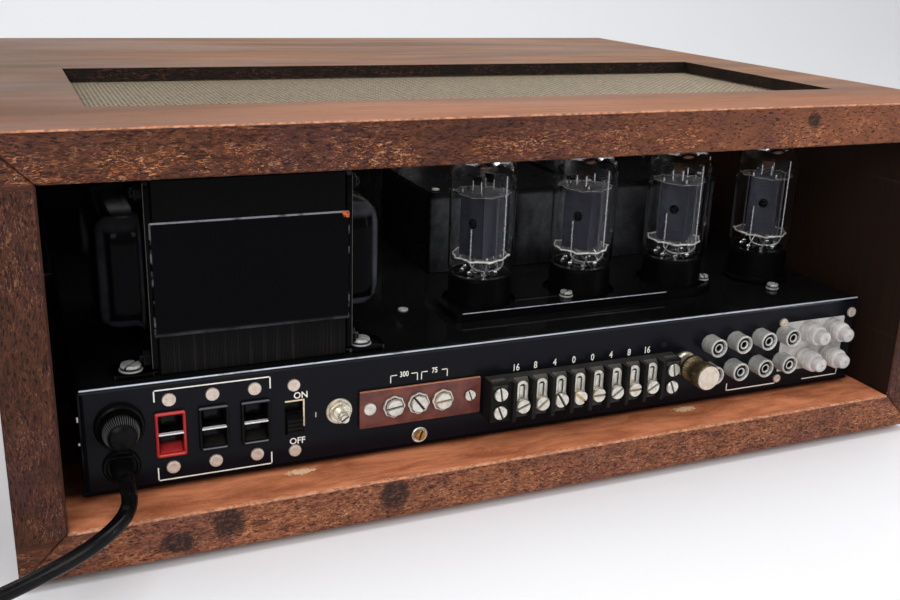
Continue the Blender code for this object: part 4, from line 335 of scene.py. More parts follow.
class Sketch:
    """A value is a number, a colour, or another node's output. Three numbers in a mix are a tone."""

    def __init__(self, tree):
        self.tree = tree

    def fill(self, node, values):
        for key, value in values.items():
            if isinstance(value, bpy.types.NodeSocket):
                self.tree.links.new(value, node.inputs[key])
            else:
                node.inputs[key].default_value = value
        return node.outputs

    def put(self, kind, values=(), out=0, **settings):
        node = self.tree.nodes.new(kind)
        for name, value in settings.items():
            setattr(node, name, value)
        return self.fill(node, dict(values))[out]

    def math(self, operation, a, b=0.0):
        return self.put("ShaderNodeMath", {0: a, 1: b}, operation=operation)

    def times(self, *values):
        product = values[0]
        for value in values[1:]:
            product = self.math("MULTIPLY", product, value)
        return product

    def plus(self, a, b):
        return self.math("ADD", a, b)

    def most(self, a, b):
        return self.math("MAXIMUM", a, b)

    def least(self, a, b):
        return self.math("MINIMUM", a, b)

    def size(self, value):
        return self.math("ABSOLUTE", value)

    def sine(self, value):
        return self.math("SINE", value)

    def rest(self, value):
        """What a share leaves of one."""
        return self.plus(1.0, self.times(value, -1.0))

    def band(self, value, low, high, to_low=0.0, to_high=1.0):
        """Falls or climbs from one value to another between low and high."""
        return self.put("ShaderNodeMapRange", {0: value, 1: low, 2: high, 3: to_low, 4: to_high},
                        interpolation_type="SMOOTHSTEP")

    def mix(self, share, a, b):
        a, b = (tone(*each) if isinstance(each, tuple) and len(each) == 3 else each for each in (a, b))
        return self.put("ShaderNodeMix", {0: share, 6: a, 7: b}, out=2, data_type="RGBA")

    def over(self, colour, *coats):
        """Coats laid over a colour in turn, each given as its mask, its share and its own colour."""
        for mask, share, coat in zip(coats[::3], coats[1::3], coats[2::3]):
            colour = self.mix(self.times(mask, share), colour, coat)
        return colour

    def place(self):
        return self.put("ShaderNodeTexCoord", out=3)

    def facing(self):
        return self.put("ShaderNodeTexCoord", out=1)

    def parts(self, vector):
        return list(self.fill(self.tree.nodes.new("ShaderNodeSeparateXYZ"), {0: vector}))

    def joined(self, x, y, z):
        return self.put("ShaderNodeCombineXYZ", {0: x, 1: y, 2: z})

    def scaled(self, vector, scale, turn=(0, 0, 0)):
        return self.put("ShaderNodeMapping", {0: vector, 2: turn, 3: scale})

    def grown(self, vector, scale):
        return self.put("ShaderNodeVectorMath", {0: vector, 3: scale}, operation="SCALE")

    def apart(self, vector, point, scale=(1.0, 1.0, 1.0)):
        """Distance from a point, with each axis stretched first."""
        there = tuple(value * by for value, by in zip(point, scale))
        return self.put("ShaderNodeVectorMath", {0: self.scaled(vector, scale), 1: there}, out=1,
                        operation="DISTANCE")

    def polar(self, x, z):
        """Distance from an axis and the angle about it."""
        radius = self.math("SQRT", self.plus(self.times(x, x), self.times(z, z)))
        return radius, self.math("ARCTAN2", z, x)

    def upended(self, share, vector):
        """The vector with its X and Z exchanged where share is one."""
        x, y, z = self.parts(vector)
        return self.put("ShaderNodeMix", {0: share, 4: vector, 5: self.joined(z, y, x)}, out=1,
                        data_type="VECTOR")

    def noise(self, vector, scale, detail=4.0, rough=0.55, bend=0.0):
        return self.put("ShaderNodeTexNoise", {"Vector": vector, "Scale": scale, "Detail": detail,
                                               "Roughness": rough, "Distortion": bend})

    def grain(self, vector, scale, detail, rough, bend=0.0, turn=(0, 0, 0)):
        """Noise stretched along the axes."""
        return self.noise(self.scaled(vector, scale, turn), 1.0, detail, rough, bend)

    def patches(self, vector, scale, detail, rough, *between):
        """Noise cut to patches by a band."""
        return self.band(self.noise(vector, scale, detail, rough), *between)

    def group(self, tree, values):
        node = self.tree.nodes.new("ShaderNodeGroup")
        node.node_tree = tree
        return self.fill(node, values)

    def bump(self, height, depth_mm, strength=1.0):
        return self.put("ShaderNodeBump", {"Height": height, "Distance": depth_mm * MM,
                                           "Strength": strength})


class Finish(Sketch):
    def __init__(self, name):
        self.made = bpy.data.materials.new(name)
        self.made.use_nodes = True
        super().__init__(self.made.node_tree)

    def finish(self, **values):
        values.setdefault("specular", 0.12 if "clear" in values else 0.22)
        shader = self.tree.nodes["Principled BSDF"]
        self.fill(shader, {SOCKETS[word]: value for word, value in values.items()})
        return self.made


class Effect(Sketch):
    """A node group: takes lists (name, default), where None stands for a vector; give() names its masks."""

    def __init__(self, name, *takes):
        super().__init__(bpy.data.node_groups.new(name, "ShaderNodeTree"))
        for label, default in takes:
            kind = "NodeSocketVector" if default is None else "NodeSocketFloat"
            socket = self.tree.interface.new_socket(label, in_out="INPUT", socket_type=kind)
            if default is not None:
                socket.default_value = default
        self.given = self.tree.nodes.new("NodeGroupInput").outputs

    def give(self, **values):
        for label in values:
            self.tree.interface.new_socket(label, in_out="OUTPUT", socket_type="NodeSocketFloat")
        self.fill(self.tree.nodes.new("NodeGroupOutput"), values)
        return self.tree


def wood_figure():
    """Grain that runs along the vector's X: slow figure, fine streaks and short dark pores."""
    s = Effect("wood_figure", ("Place", None), ("Scale", 1.0))
    grown = s.grown(s.given["Place"], s.given["Scale"])
    slow = s.grain(grown, (1.4, 13, 13), 4, 0.55, 0.9)
    fine = s.grain(grown, (6, 260, 260), 3, 0.6, 0.3)
    pore = s.grain(grown, (34, 900, 900), 2, 0.5)
    return s.give(Figure=s.band(slow, 0.28, 0.72), Streaks=s.band(fine, 0.3, 0.72),
                  Pores=s.band(pore, 0.60, 0.70))


def chip_figure():
    """Pressed wood chips: flat flakes along the vector's X, some of them torn out pale."""
    s = Effect("chip_figure", ("Place", None))
    place = s.given["Place"]
    stretched = s.scaled(place, (150, 520, 520))
    wander = s.grain(place, (60, 60, 60), 3, 0.6)
    one = s.grain(place, (330, 1500, 1500), 3, 0.6, 1.2, turn=(0, 0.22, 0.18))
    two = s.grain(place, (420, 1300, 1300), 3, 0.6, 1.5, turn=(0, -0.30, 0.24))
    slivers = s.most(s.band(one, 0.56, 0.64), s.band(two, 0.57, 0.65))
    torn = s.times(slivers, s.band(wander, 0.36, 0.60, 0.12, 1.0))
    return s.give(Flakes=s.band(s.noise(stretched, 1.0, 5, 0.7, 1.2), 0.3, 0.7), Torn=torn,
                  Pits=s.patches(stretched, 2.6, 3, 0.6, 0.56, 0.66))


def handling():
    """Dust that gathers on top, thin scratches each way, and slow smears of grease."""
    s = Effect("handling", ("Place", None), ("Facing", None), ("Grain", 1.0))
    up = s.parts(s.given["Facing"])[2]
    grown = s.grown(s.given["Place"], s.given["Grain"])
    specks = s.patches(grown, 900, 3, 0.6, 0.60, 0.78)
    cloud = s.noise(grown, 22, 4, 0.6)
    dust = s.times(s.band(up, 0.3, 0.95, 0.25, 1.0), s.plus(s.times(specks, 0.8), s.times(cloud, 0.5)))
    scratch = 0.0
    for turn in (0.35, -0.6, 1.3):
        lines = s.grain(grown, (9, 650, 9), 1, 0.4, 0.1, turn=(turn * 0.4, turn, turn * 0.7))
        scratch = s.most(scratch, s.band(lines, 0.735, 0.80))
    return s.give(Dust=dust, Scratch=s.times(scratch, s.patches(grown, 14, 2, 0.5, 0.42, 0.60)),
                  Smear=s.noise(grown, 38, 5, 0.62, 0.5))


def tarnish():
    """Old plated metal: cloudy stain, small dark pits and turning marks."""
    s = Effect("tarnish", ("Place", None), ("Size", 1.0))
    grown = s.grown(s.given["Place"], s.given["Size"])
    return s.give(Stain=s.band(s.noise(grown, 380, 5, 0.65, 0.6), 0.36, 0.70),
                  Pits=s.patches(grown, 1500, 2, 0.5, 0.64, 0.74),
                  Brush=s.grain(grown, (300, 4000, 300), 2, 0.5))


WOOD, CHIPS, HANDLING, TARNISH = wood_figure(), chip_figure(), handling(), tarnish()


def handled(s, place, grain=1.0):
    """The masks of handling at a place, with its grain made finer or coarser."""
    return s.group(HANDLING, {"Place": place, "Facing": s.facing(), "Grain": grain})


# Finishes of the wooden case
def veneer_tone(s, x, y, along, grain):
    """Slow figure, warmer to the rear and painted darker towards the cord's side as shade, with streaks, pores
    and flame.
    """
    flame = s.band(s.grain(along, (2.0, 30, 30), 2, 0.5, 0.4), 0.52, 0.74)
    return s.over(s.mix(grain["Figure"], (102, 70, 45), (155, 104, 64)),
                  # the darkening towards the cord's side (larger X) is painted shade
                  s.band(y, 0.120, 0.185), 0.6, (182, 110, 68), s.band(x, 0.05, 0.23), 0.6, (77, 57, 40),
                  grain["Streaks"], 0.45, (94, 60, 44), grain["Pores"], 0.6, (62, 36, 27),
                  flame, 0.35, (170, 116, 82))


def floor_tone(s, place, y):
    """The case's floor: redder and dry, scored, worn at the rear, painted black further in as shade under the
    chassis, and splintered twice.
    """
    dry = s.grain(place, (26, 90, 90), 5, 0.7, 0.5)
    scored = s.band(s.grain(place, (30, 700, 30), 1, 0.4, 0.1, turn=(0.1, 0.5, 0.3)), 0.72, 0.78)
    worn = s.times(s.band(y, 0.1902, 0.1922), s.patches(place, 520, 4, 0.65, 0.50, 0.58))
    floor = s.over(s.mix(s.band(dry, 0.3, 0.7), (158, 88, 58), (222, 140, 98)),
                   s.patches(place, 900, 3, 0.65, 0.56, 0.70), 0.5, (206, 148, 112),
                   scored, 0.5, (216, 160, 124), worn, 0.75, (232, 186, 152),
                   # painted shade: the floor further in, under the chassis, goes nearly black
                   s.band(y, 0.168, 0.160), 0.85, (14, 11, 10))
    for at in ((0.1118, 0.1720, 0.0240), (-0.0936, 0.1715, 0.0240)):
        gone = s.apart(place, at, (0.55, 1.4, 1.0))
        split = s.band(s.plus(gone, s.times(s.noise(place, 600, 4, 0.75), 0.012)), 0.0100, 0.0088)
        floor = s.over(floor, split, 0.95, (244, 208, 164))
    return floor


def chip_tone(s, place, x, y, z, upright, chips):
    """Stained chip edge: dull above, lighter on the lower board, torn, pitted and burnt in four places."""
    outside = s.most(s.plus(s.size(x), -0.2115), 0.0)
    lower = s.band(s.plus(z, s.times(outside, 0.965)), 0.0240, 0.0232)
    bleached = s.times(s.band(z, 0.150, 0.165), s.band(x, 0.06, -0.16, 0.0, 0.34))
    dull = s.over(s.mix(chips["Flakes"], (44, 23, 17), (102, 60, 42)), upright, 0.42, (38, 23, 18))
    dull = s.mix(bleached, dull, (172, 106, 76))
    light = s.over(s.mix(chips["Flakes"], (70, 36, 26), (156, 96, 68)),
                   s.patches(place, 700, 3, 0.65, 0.52, 0.66), 0.5, (190, 130, 96))
    light = s.mix(s.band(x, 0.192, 0.214, 0.0, 0.55), light, dull)
    raw = s.mix(lower, dull, light)
    raw = s.mix(s.patches(place, 34, 3, 0.6, 0.40, 0.75), raw, s.mix(0.55, raw, (66, 40, 44)))
    # torn flakes keep to the middle of each board
    off = s.least(s.size(s.plus(z, -0.1690)), s.size(s.plus(z, -0.0120)))
    middle = s.most(s.band(off, 0.0090, 0.0030, 0.30, 1.0), s.times(upright, 0.22))
    shade = s.mix(s.patches(place, 260, 2, 0.5, 0.4, 0.6), (180, 104, 60), (216, 150, 104))
    raw = s.over(raw, s.times(chips["Torn"], 0.82), middle, shade, chips["Pits"], 0.8, (26, 13, 10))
    # dark stains: (x, z) and how many times a metre holds each one's width and height
    ragged = s.times(s.noise(place, 300, 4, 0.7), 0.9)
    burnt = 0.0
    for at_x, at_z, wide, high in ((0.1698, 0.0110, 112, 170), (0.1485, 0.0168, 125, 112),
                                   (0.0746, 0.0162, 116, 126), (-0.1330, 0.1760, 210, 260)):
        gone = s.apart(place, (at_x, 0.0, at_z), (wide, 0.0, high))
        burnt = s.most(burnt, s.band(s.plus(gone, ragged), 1.55, 1.05))
    raw = s.over(raw, s.times(burnt, s.band(y, 0.180, 0.186)),
                 s.patches(place, 700, 3, 0.6, 0.35, 0.65, 0.92, 0.70), (34, 27, 27))
    # rubbed rims of the opening and of the top, and gnawed spots under the opening
    between = s.band(s.size(x), 0.2120, 0.2112)
    lip = s.band(s.size(s.plus(z, -0.0232)), 0.0007, 0.0003)
    rim = s.most(s.band(z, 0.1820, 0.1824), s.times(between, lip))
    chipped = s.band(s.grain(place, (420, 420, 420), 4, 0.65), 0.38, 0.62)
    gnawed = s.times(between, s.band(z, 0.0222, 0.0230), s.band(z, 0.0260, 0.0250),
                     s.patches(place, 420, 3, 0.6, 0.54, 0.62))
    return s.over(raw, rim, s.plus(0.34, s.times(chipped, 0.42)), (226, 160, 122),
                  gnawed, 0.6, (206, 150, 122))


def walnut_finish():
    """Walnut veneer on the flat sides, stained chip edges front and rear, black paint in the cut-out."""
    s = Finish("walnut")
    place = s.place()
    x, y, z = s.parts(place)
    nx, ny, nz = s.parts(s.facing())
    sideways = s.band(s.size(nx), 0.45, 0.55)
    along = s.upended(sideways, place)
    grain = s.group(WOOD, {"Place": along, "Scale": 3.0})
    floor = s.times(s.band(z, 0.0245, 0.0240), s.band(nz, 0.8, 0.95))
    veneer = s.mix(floor, veneer_tone(s, x, y, along, grain), floor_tone(s, place, y))
    # the walls inside are scraped and never polished, and painted much darker and browner as shade inside the
    # case
    inner = s.times(s.band(s.size(x), 0.2125, 0.2118), sideways)
    scraped = s.band(s.grain(place, (40, 5, 420), 1, 0.4, 0.1, turn=(0.5, 0, 0)), 0.72, 0.78)
    wall = s.over(s.mix(s.times(grain["Streaks"], 0.6), (38, 24, 16), (22, 14, 9)), scraped, 0.35,
                  (84, 58, 40))
    veneer = s.mix(inner, veneer, wall)
    upright = s.times(s.band(s.size(x), 0.2105, 0.2125), s.band(s.size(s.plus(z, -0.0915)), 0.0725, 0.0700))
    chips = s.group(CHIPS, {"Place": s.upended(upright, place)})
    edge = s.band(s.size(ny), 0.45, 0.55)
    colour = s.mix(edge, veneer, chip_tone(s, place, x, y, z, upright, chips))
    cut = s.times(s.band(s.size(x), 0.1985, 0.1975), s.band(z, 0.160, 0.1635),
                  s.band(s.size(s.plus(y, -0.073)), 0.0765, 0.0755), s.band(s.size(nz), 0.6, 0.5))
    colour = s.mix(cut, colour, s.mix(s.times(chips["Torn"], 0.5), (24, 20, 18), (120, 74, 42)))
    polish = s.band(s.grain(place, (6, 18, 18), 3, 0.6), 0.3, 0.8, 0.40, 0.58)
    rough = s.mix(edge, polish, (0.62, 0.62, 0.62, 1))
    rough = s.mix(s.most(cut, s.most(inner, floor)), rough, (0.66, 0.66, 0.66, 1))
    relief = s.plus(s.times(s.rest(edge), s.times(grain["Pores"], -0.10)),
                    s.times(edge, s.plus(s.times(chips["Flakes"], 0.5), s.times(chips["Pits"], -0.9))))
    return s.finish(colour=colour, rough=rough, specular=0.14, normal=s.bump(relief, 0.5, 0.7))


# Finishes of the metalwork: black enamels first
DUST = (150, 146, 140)
SCRATCH = (150, 148, 146)


def enamel_finish(name, base, rough_low, rough_high, dust_share, specular=0.35):
    """Baked black enamel: nearly black, glossy, with dust, scratches and greasy smears."""
    s = Finish(name)
    worn = handled(s, s.place())
    colour = s.over(base, worn["Dust"], dust_share, DUST, worn["Scratch"], 0.35, SCRATCH)
    rough = s.plus(s.band(worn["Smear"], 0.3, 0.75, rough_low, rough_high), s.times(worn["Dust"], 0.18))
    return s.finish(colour=colour, rough=rough, specular=specular,
                    normal=s.bump(s.times(worn["Scratch"], -0.05), 0.3, 0.6))


def pan_finish():
    """The chassis: a mirror-like black top, and a more satin apron painted bluer and lighter as a reflection.
    """
    s = Finish("chassis_enamel")
    worn = handled(s, s.place())
    apron = s.band(s.parts(s.facing())[1], 0.6, 0.9)
    # painted reflection: faces turned to the rear take a bluer, lighter black
    colour = s.over(s.mix(apron, (5, 5, 7), (12, 13, 19)),
                    worn["Dust"], s.band(apron, 0, 1, 0.05, 0.03), DUST, worn["Scratch"], 0.22, SCRATCH)
    rough = s.plus(s.band(worn["Smear"], 0.3, 0.75, 0.05, 0.13), s.times(apron, 0.16))
    return s.finish(colour=colour, rough=rough, specular=0.09,
                    normal=s.bump(s.times(worn["Scratch"], -0.05), 0.3, 0.5))


def bell_finish():
    """Deep drawn steel in black gloss, with a painted grey highlight where the dome turns, weaker on the bell
    at larger X.
    """
    s = Finish("bell_black")
    place = s.place()
    nx, ny, nz = s.parts(s.facing())
    worn = handled(s, place)
    outward = s.size(nx)
    # painted highlight: rear-facing faces where the dome turns up, sideways and down take a grey sheen
    turns = [s.times(s.band(nz, 0.35, 0.60), s.band(nz, 0.92, 0.80)),
             s.times(s.band(outward, 0.45, 0.62), s.band(outward, 0.86, 0.74)),
             s.times(s.band(nz, -0.45, -0.60), s.band(nz, -0.86, -0.74))]
    turn = s.times(s.band(ny, 0.25, 0.45), s.most(turns[0], s.most(turns[1], turns[2])))
    broken = s.patches(place, 60, 3, 0.6, 0.3, 0.6, 0.45, 1.0)
    # the painted highlight is weaker on the bell at larger X
    far = s.band(s.parts(place)[0], 0.150, 0.175, 0.50, 0.16)
    colour = s.over((4, 4, 6), s.times(turn, broken), far, (96, 98, 106), worn["Scratch"], 0.15,
                    (120, 120, 120))
    return s.finish(colour=colour, rough=s.band(worn["Smear"], 0.3, 0.75, 0.12, 0.22), specular=0.035,
                    normal=s.bump(s.noise(place, 20, 2, 0.5), 0.6, 0.4))


def knurl_finish():
    """The fuse cap: a rib every 7.5 degrees about its axis, its crest painted grey as a highlight, most on the
    upper side.
    """
    s = Finish("fuse_cap_black")
    place = s.place()
    x, _, z = s.parts(place)
    radius, angle = s.polar(s.plus(x, -0.1876), s.plus(z, -0.0566))
    ribs = s.sine(s.plus(s.times(angle, 48.0), 1.57))
    ring = s.times(s.band(radius, 0.0056, 0.0061), s.band(radius, 0.00755, 0.0072))
    # painted highlight: the crest's grey grows on faces turned upward
    upper = s.band(s.parts(s.facing())[2], 0.0, 0.55)
    crest = s.times(s.band(ribs, 0.2, 0.8), ring, s.plus(0.15, s.times(upper, 0.85)))
    cloud = s.noise(place, 300, 3, 0.6)
    colour = s.over(s.mix(s.band(cloud, 0.3, 0.7), (5, 5, 5), (12, 12, 12)), crest, 0.8, (112, 116, 112))
    return s.finish(colour=colour, rough=s.band(cloud, 0.3, 0.7, 0.26, 0.42), specular=0.08,
                    normal=s.bump(cloud, 0.03, 0.5))


def can_finish():
    """Satin black over steel, with grey cloudy patches painted as a reflection on its lower half, on the face
    towards the rear.
    """
    s = Finish("can_black")
    place = s.place()
    _, y, z = s.parts(place)
    worn = handled(s, place)
    cloud = s.grain(place, (30, 30, 12), 3, 0.55, 0.4)
    # painted reflection: grey clouds on the face towards the rear, below the top edge
    low = s.times(s.band(z, 0.1175, 0.1155), s.band(z, 0.0760, 0.0900, 0.35, 1.0))
    fine = s.patches(place, 160, 4, 0.7, 0.35, 0.65, 0.6, 1.0)
    painted_reflection = s.times(s.band(cloud, 0.36, 0.62, 0.04, 1.0), fine, low, s.band(y, 0.060, 0.0612))
    colour = s.over(s.mix(painted_reflection, (6, 6, 8), (92, 94, 98)),
                    worn["Dust"], 0.05, DUST, worn["Scratch"], 0.3, (150, 150, 150))
    return s.finish(colour=colour, rough=s.band(worn["Smear"], 0.3, 0.75, 0.22, 0.40), specular=0.08,
                    normal=s.bump(s.times(worn["Scratch"], -0.05), 0.3, 0.5))


def bend_finish():
    """A bend painted with a bluish-white highlight along its middle, where it faces half up and half to the
    rear, in broken lengths.
    """
    s = Finish("rubbed_bend")
    _, ny, nz = s.parts(s.facing())
    # painted highlight: the bend's middle takes a bluish-white, half-metal colour
    middle = s.times(s.band(ny, 0.44, 0.66), s.band(nz, 0.44, 0.66))
    broken = s.band(s.grain(s.place(), (70, 300, 300), 4, 0.65), 0.30, 0.46)
    wear_and_highlight = s.times(middle, s.plus(0.35, s.times(broken, 0.65)))
    return s.finish(colour=s.mix(wear_and_highlight, (10, 10, 13), (206, 212, 226)),
                    rough=s.band(wear_and_highlight, 0.0, 1.0, 0.12, 0.34), metal=s.times(wear_and_highlight, 0.4))


def core_finish():
    """Stacked iron sheets under black varnish: fine upright lines, a little rust at the lower edge."""
    sheet = 0.00062
    s = Finish("transformer_core")
    place = s.place()
    x, _, z = s.parts(place)
    worn = handled(s, place)
    sheets = s.sine(s.times(s.plus(x, s.times(s.noise(place, 60, 2, 0.5), 0.0006)), ROUND / sheet))
    uneven = s.grain(place, (900, 900, 6), 2, 0.6)
    cut = s.band(s.size(s.parts(s.facing())[0]), 0.6, 0.4)
    low = s.band(z, 0.098, 0.080)
    colour = s.over((5, 5, 6), s.times(cut, s.band(sheets, -0.2, 0.9)), s.plus(0.12, s.times(low, 0.5)),
                    (34, 32, 33), s.times(low, cut), s.times(s.band(uneven, 0.5, 0.75), 0.35), (52, 45, 42),
                    worn["Dust"], 0.04, (130, 124, 118))
    relief = s.times(cut, s.plus(s.times(sheets, 0.5), s.times(uneven, 0.8)))
    return s.finish(colour=colour, rough=s.band(worn["Smear"], 0.3, 0.75, 0.28, 0.44), specular=0.03,
                    normal=s.bump(relief, 0.12, 0.6))


def band_finish():
    """The copper band under black varnish: painted highlights on its rims, its ends and its lower lip, and
    copper showing at one worn corner.
    """
    s = Finish("flux_band")
    place = s.place()
    x, _, z = s.parts(place)
    worn = handled(s, place)
    # painted highlights: a light line on the rims' upward faces, grey lines near both ends, and a soft grey
    # line along the wavy lower lip
    upper = s.band(s.parts(s.facing())[2], 0.4, 0.8)
    rim = s.times(upper, s.patches(place, 150, 3, 0.6, 0.3, 0.5, 0.25, 0.9))
    side = s.band(s.size(s.plus(x, -0.129)), 0.0409, 0.0413)
    wave = s.times(s.grain(place, (30, 30, 0), 2, 0.5), 0.0030)
    lip = s.times(s.band(s.plus(z, wave), 0.0952, 0.0934), s.patches(place, 70, 3, 0.6, 0.3, 0.6, 0.3, 1.0))
    colour = s.over((4, 4, 6), worn["Dust"], 0.03, (120, 118, 116), worn["Scratch"], 0.10, (120, 116, 112),
                    rim, 0.8, (190, 196, 208),
                    side, s.patches(place, 160, 3, 0.6, 0.46, 0.6, 0.0, 0.4), (150, 150, 154),
                    lip, 0.5, (84, 86, 90))
    near = s.apart(place, (0.0885, 0.1655, 0.1395))
    wear_and_highlight = s.times(s.band(near, 0.0026, 0.0018), s.patches(place, 900, 3, 0.6, 0.40, 0.5))
    colour = s.mix(wear_and_highlight, colour, (206, 104, 50))
    dents = s.grain(place, (22, 22, 34), 2, 0.45, 0.4)
    return s.finish(colour=colour, rough=s.band(worn["Smear"], 0.3, 0.75, 0.12, 0.24), specular=0.03,
                    normal=s.bump(dents, 2.4, 0.5))


def plastic_finish(name, low, high, rough=(0.28, 0.46), grain=0.04, dust=0.15, specular=0.4):
    """Moulded plastic: two near tones in slow clouds, a fine pebbled skin and a little dust."""
    s = Finish(name)
    place = s.place()
    worn = handled(s, place, 2.0)
    colour = s.over(s.mix(s.patches(place, 130, 4, 0.6, 0.35, 0.68), low, high), worn["Dust"], dust,
                    (170, 166, 158))
    return s.finish(colour=colour, rough=s.band(worn["Smear"], 0.3, 0.7, *rough), specular=specular,
                    normal=s.bump(s.noise(place, 2600, 2, 0.5), grain, 0.5))


def metal_finish(name, clean, stained, rough=(0.20, 0.42), metal=1.0, stain=0.6, size=1.0):
    """Plated metal: clean tone, cloudy stain, dark pits and faint turning marks."""
    s = Finish(name)
    old = s.group(TARNISH, {"Place": s.place(), "Size": size})
    colour = s.over(s.mix(s.times(old["Stain"], stain), clean, stained), old["Pits"], 0.45, (60, 52, 44))
    spread = s.plus(s.times(old["Stain"], 0.7), s.times(old["Brush"], 0.3))
    heights = s.plus(old["Brush"], s.times(old["Pits"], -1.0))
    return s.finish(colour=colour, rough=s.band(spread, 0.1, 0.9, *rough), metal=metal,
                    normal=s.bump(heights, 0.03, 0.6))


def outlet_finish(name, body, inside, lip_highlight):
    """An outlet's face in its own colour, painted dark inside its windows as shade, with a painted highlight
    on its upper lip.
    """
    s = Finish(name)
    place = s.place()
    _, y, z = s.parts(place)
    worn = handled(s, place, 2.0)
    # painted shade: faces deeper in the well than its front take the dark colour, less so on the sloping
    # step's foot
    well_shade = s.band(y, 0.1704, 0.1698)
    foot = s.times(s.band(z, 0.0454, 0.0436), s.band(y, 0.1640, 0.1672))
    # painted highlight: upward faces along the outlet's front lip take the light colour
    lip = s.times(s.band(s.parts(s.facing())[2], 0.25, 0.75), s.band(y, 0.1704, 0.1712))
    colour = s.mix(s.patches(place, 260, 4, 0.6, 0.3, 0.7), body, s.mix(0.22, body, (20, 10, 10)))
    colour = s.over(colour, well_shade, s.plus(1.0, s.times(foot, -0.8)), inside, worn["Dust"], 0.08,
                    (170, 160, 150), lip, 0.75, lip_highlight)
    return s.finish(colour=colour, rough=s.band(worn["Smear"], 0.3, 0.7, 0.26, 0.42), specular=0.07,
                    normal=s.bump(s.noise(place, 1800, 2, 0.5), 0.04, 0.5))


def glass_finish(name, tint):
    """Clear glass. Light passes it on its way to what stands inside, as through a thin wall."""
    s = Finish(name)
    made = s.finish(colour=tint, rough=0.02, clear=1.0, ior=1.32, mirror=(0.16, 0.16, 0.17, 1))
    shadow = s.put("ShaderNodeLightPath", out="Is Shadow Ray")
    both = s.put("ShaderNodeMixShader", {0: shadow, 1: s.tree.nodes["Principled BSDF"].outputs[0],
                                         2: s.put("ShaderNodeBsdfTransparent")})
    s.tree.links.new(both, s.tree.nodes["Material Output"].inputs[0])
    return made


def paper_finish(name, low, high, rough=0.6):
    """Paint or card: two close tones and a faint fibre."""
    s = Finish(name)
    place = s.place()
    return s.finish(colour=s.mix(s.patches(place, 500, 4, 0.6, 0.3, 0.7), low, high),
                    rough=s.patches(place, 90, 2, 0.5, 0.3, 0.7, rough - 0.1, rough),
                    normal=s.bump(s.noise(place, 1500, 2, 0.5), 0.02, 0.4))


def clear_finish(name, colour, cover):
    """A thin clear flake: mostly open, with faint clouds that cover a little."""
    s = Finish(name)
    cloud = s.patches(s.place(), 400, 3, 0.6, 0.3, 0.8, cover * 0.6, cover * 1.8)
    return s.finish(colour=tone(*colour), rough=0.2, alpha=cloud)


def lit_finish(name, colour):
    """Pale dial print with a slight fade from one digit to the next."""
    s = Finish(name)
    place = s.place()
    fade = s.mix(s.patches(place, 30, 2, 0.5, 0.3, 0.7), colour, s.mix(0.3, colour, (120, 190, 160)))
    return s.finish(colour=fade, rough=s.patches(place, 90, 2, 0.5, 0.3, 0.7, 0.4, 0.5))


def spun_finish():
    """A turned face: fine rings about the axis of the nearest small knob, or of the tuning knob above them."""
    pitch = 0.064
    s = Finish("spun_alloy")
    x, _, z = s.parts(s.place())
    big = s.band(z, 0.085, 0.086)
    near = s.plus(s.times(s.math("ROUND", s.times(s.plus(x, pitch / 2), 1 / pitch)), pitch), -pitch / 2)
    cx = s.plus(s.times(near, s.rest(big)), s.times(big, 0.148))
    cz = s.band(big, 0.0, 1.0, 0.0536, 0.1156)
    radius, angle = s.polar(s.math("SUBTRACT", x, cx), s.math("SUBTRACT", z, cz))
    rings = s.noise(s.joined(radius, 0.0, 0.0), 5200, 2, 0.6)
    # painted sheen: the colour swings light and dark twice round each knob's axis, as a reflection on spun
    # metal would
    sheen_lobes = s.sine(s.times(angle, 2.0))
    return s.finish(colour=s.mix(s.band(sheen_lobes, -1, 1), (176, 174, 168), (226, 224, 218)), metal=1.0,
                    rough=s.band(rings, 0.3, 0.7, 0.22, 0.38), normal=s.bump(rings, 0.02, 0.5))


def cord_finish():
    """Limp black rubber, dull on top with long faint scuffs."""
    s = Finish("cord_black")
    place = s.place()
    cloud = s.noise(place, 90, 4, 0.6)
    scuff = s.band(s.grain(place, (160, 160, 700), 3, 0.6), 0.56, 0.74)
    colour = s.over(s.mix(s.band(cloud, 0.3, 0.7), (6, 6, 6), (13, 13, 12)), scuff, 0.18, (64, 62, 58))
    return s.finish(colour=colour, rough=s.band(cloud, 0.3, 0.7, 0.22, 0.34), specular=0.13,
                    normal=s.bump(s.noise(place, 1300, 2, 0.5), 0.03, 0.5))


WALNUT = walnut_finish()
ENAMEL = enamel_finish("black_enamel", (6, 6, 8), 0.06, 0.16, 0.03, 0.08)
APRON_ENAMEL = pan_finish()
BELL = bell_finish()
CAN = can_finish()
BEND_HIGHLIGHT = bend_finish()
CORE = core_finish()
BAND = band_finish()
FUSE = knurl_finish()
BAKELITE = plastic_finish("bakelite_black", (5, 5, 5), (12, 11, 11), (0.22, 0.38), 0.03, 0.02, 0.07)
STRIP_BLACK = plastic_finish("strip_black", (5, 5, 5), (11, 11, 11), (0.42, 0.60), 0.07, 0.34, 0.06)
STRIP_POST = plastic_finish("strip_post", (14, 14, 14), (34, 35, 34), (0.45, 0.62), 0.10, 0.75, 0.2)
SWITCH_BLACK = plastic_finish("switch_black", (7, 7, 8), (14, 14, 15), (0.20, 0.34), 0.02, 0.04, 0.12)
PHENOLIC = plastic_finish("phenolic_brown", (82, 40, 34), (112, 58, 48), (0.38, 0.55), 0.06, 0.14)
CAP_WHITE = plastic_finish("cap_white", (168, 165, 163), (204, 200, 197), (0.30, 0.42), 0.02, 0.10)
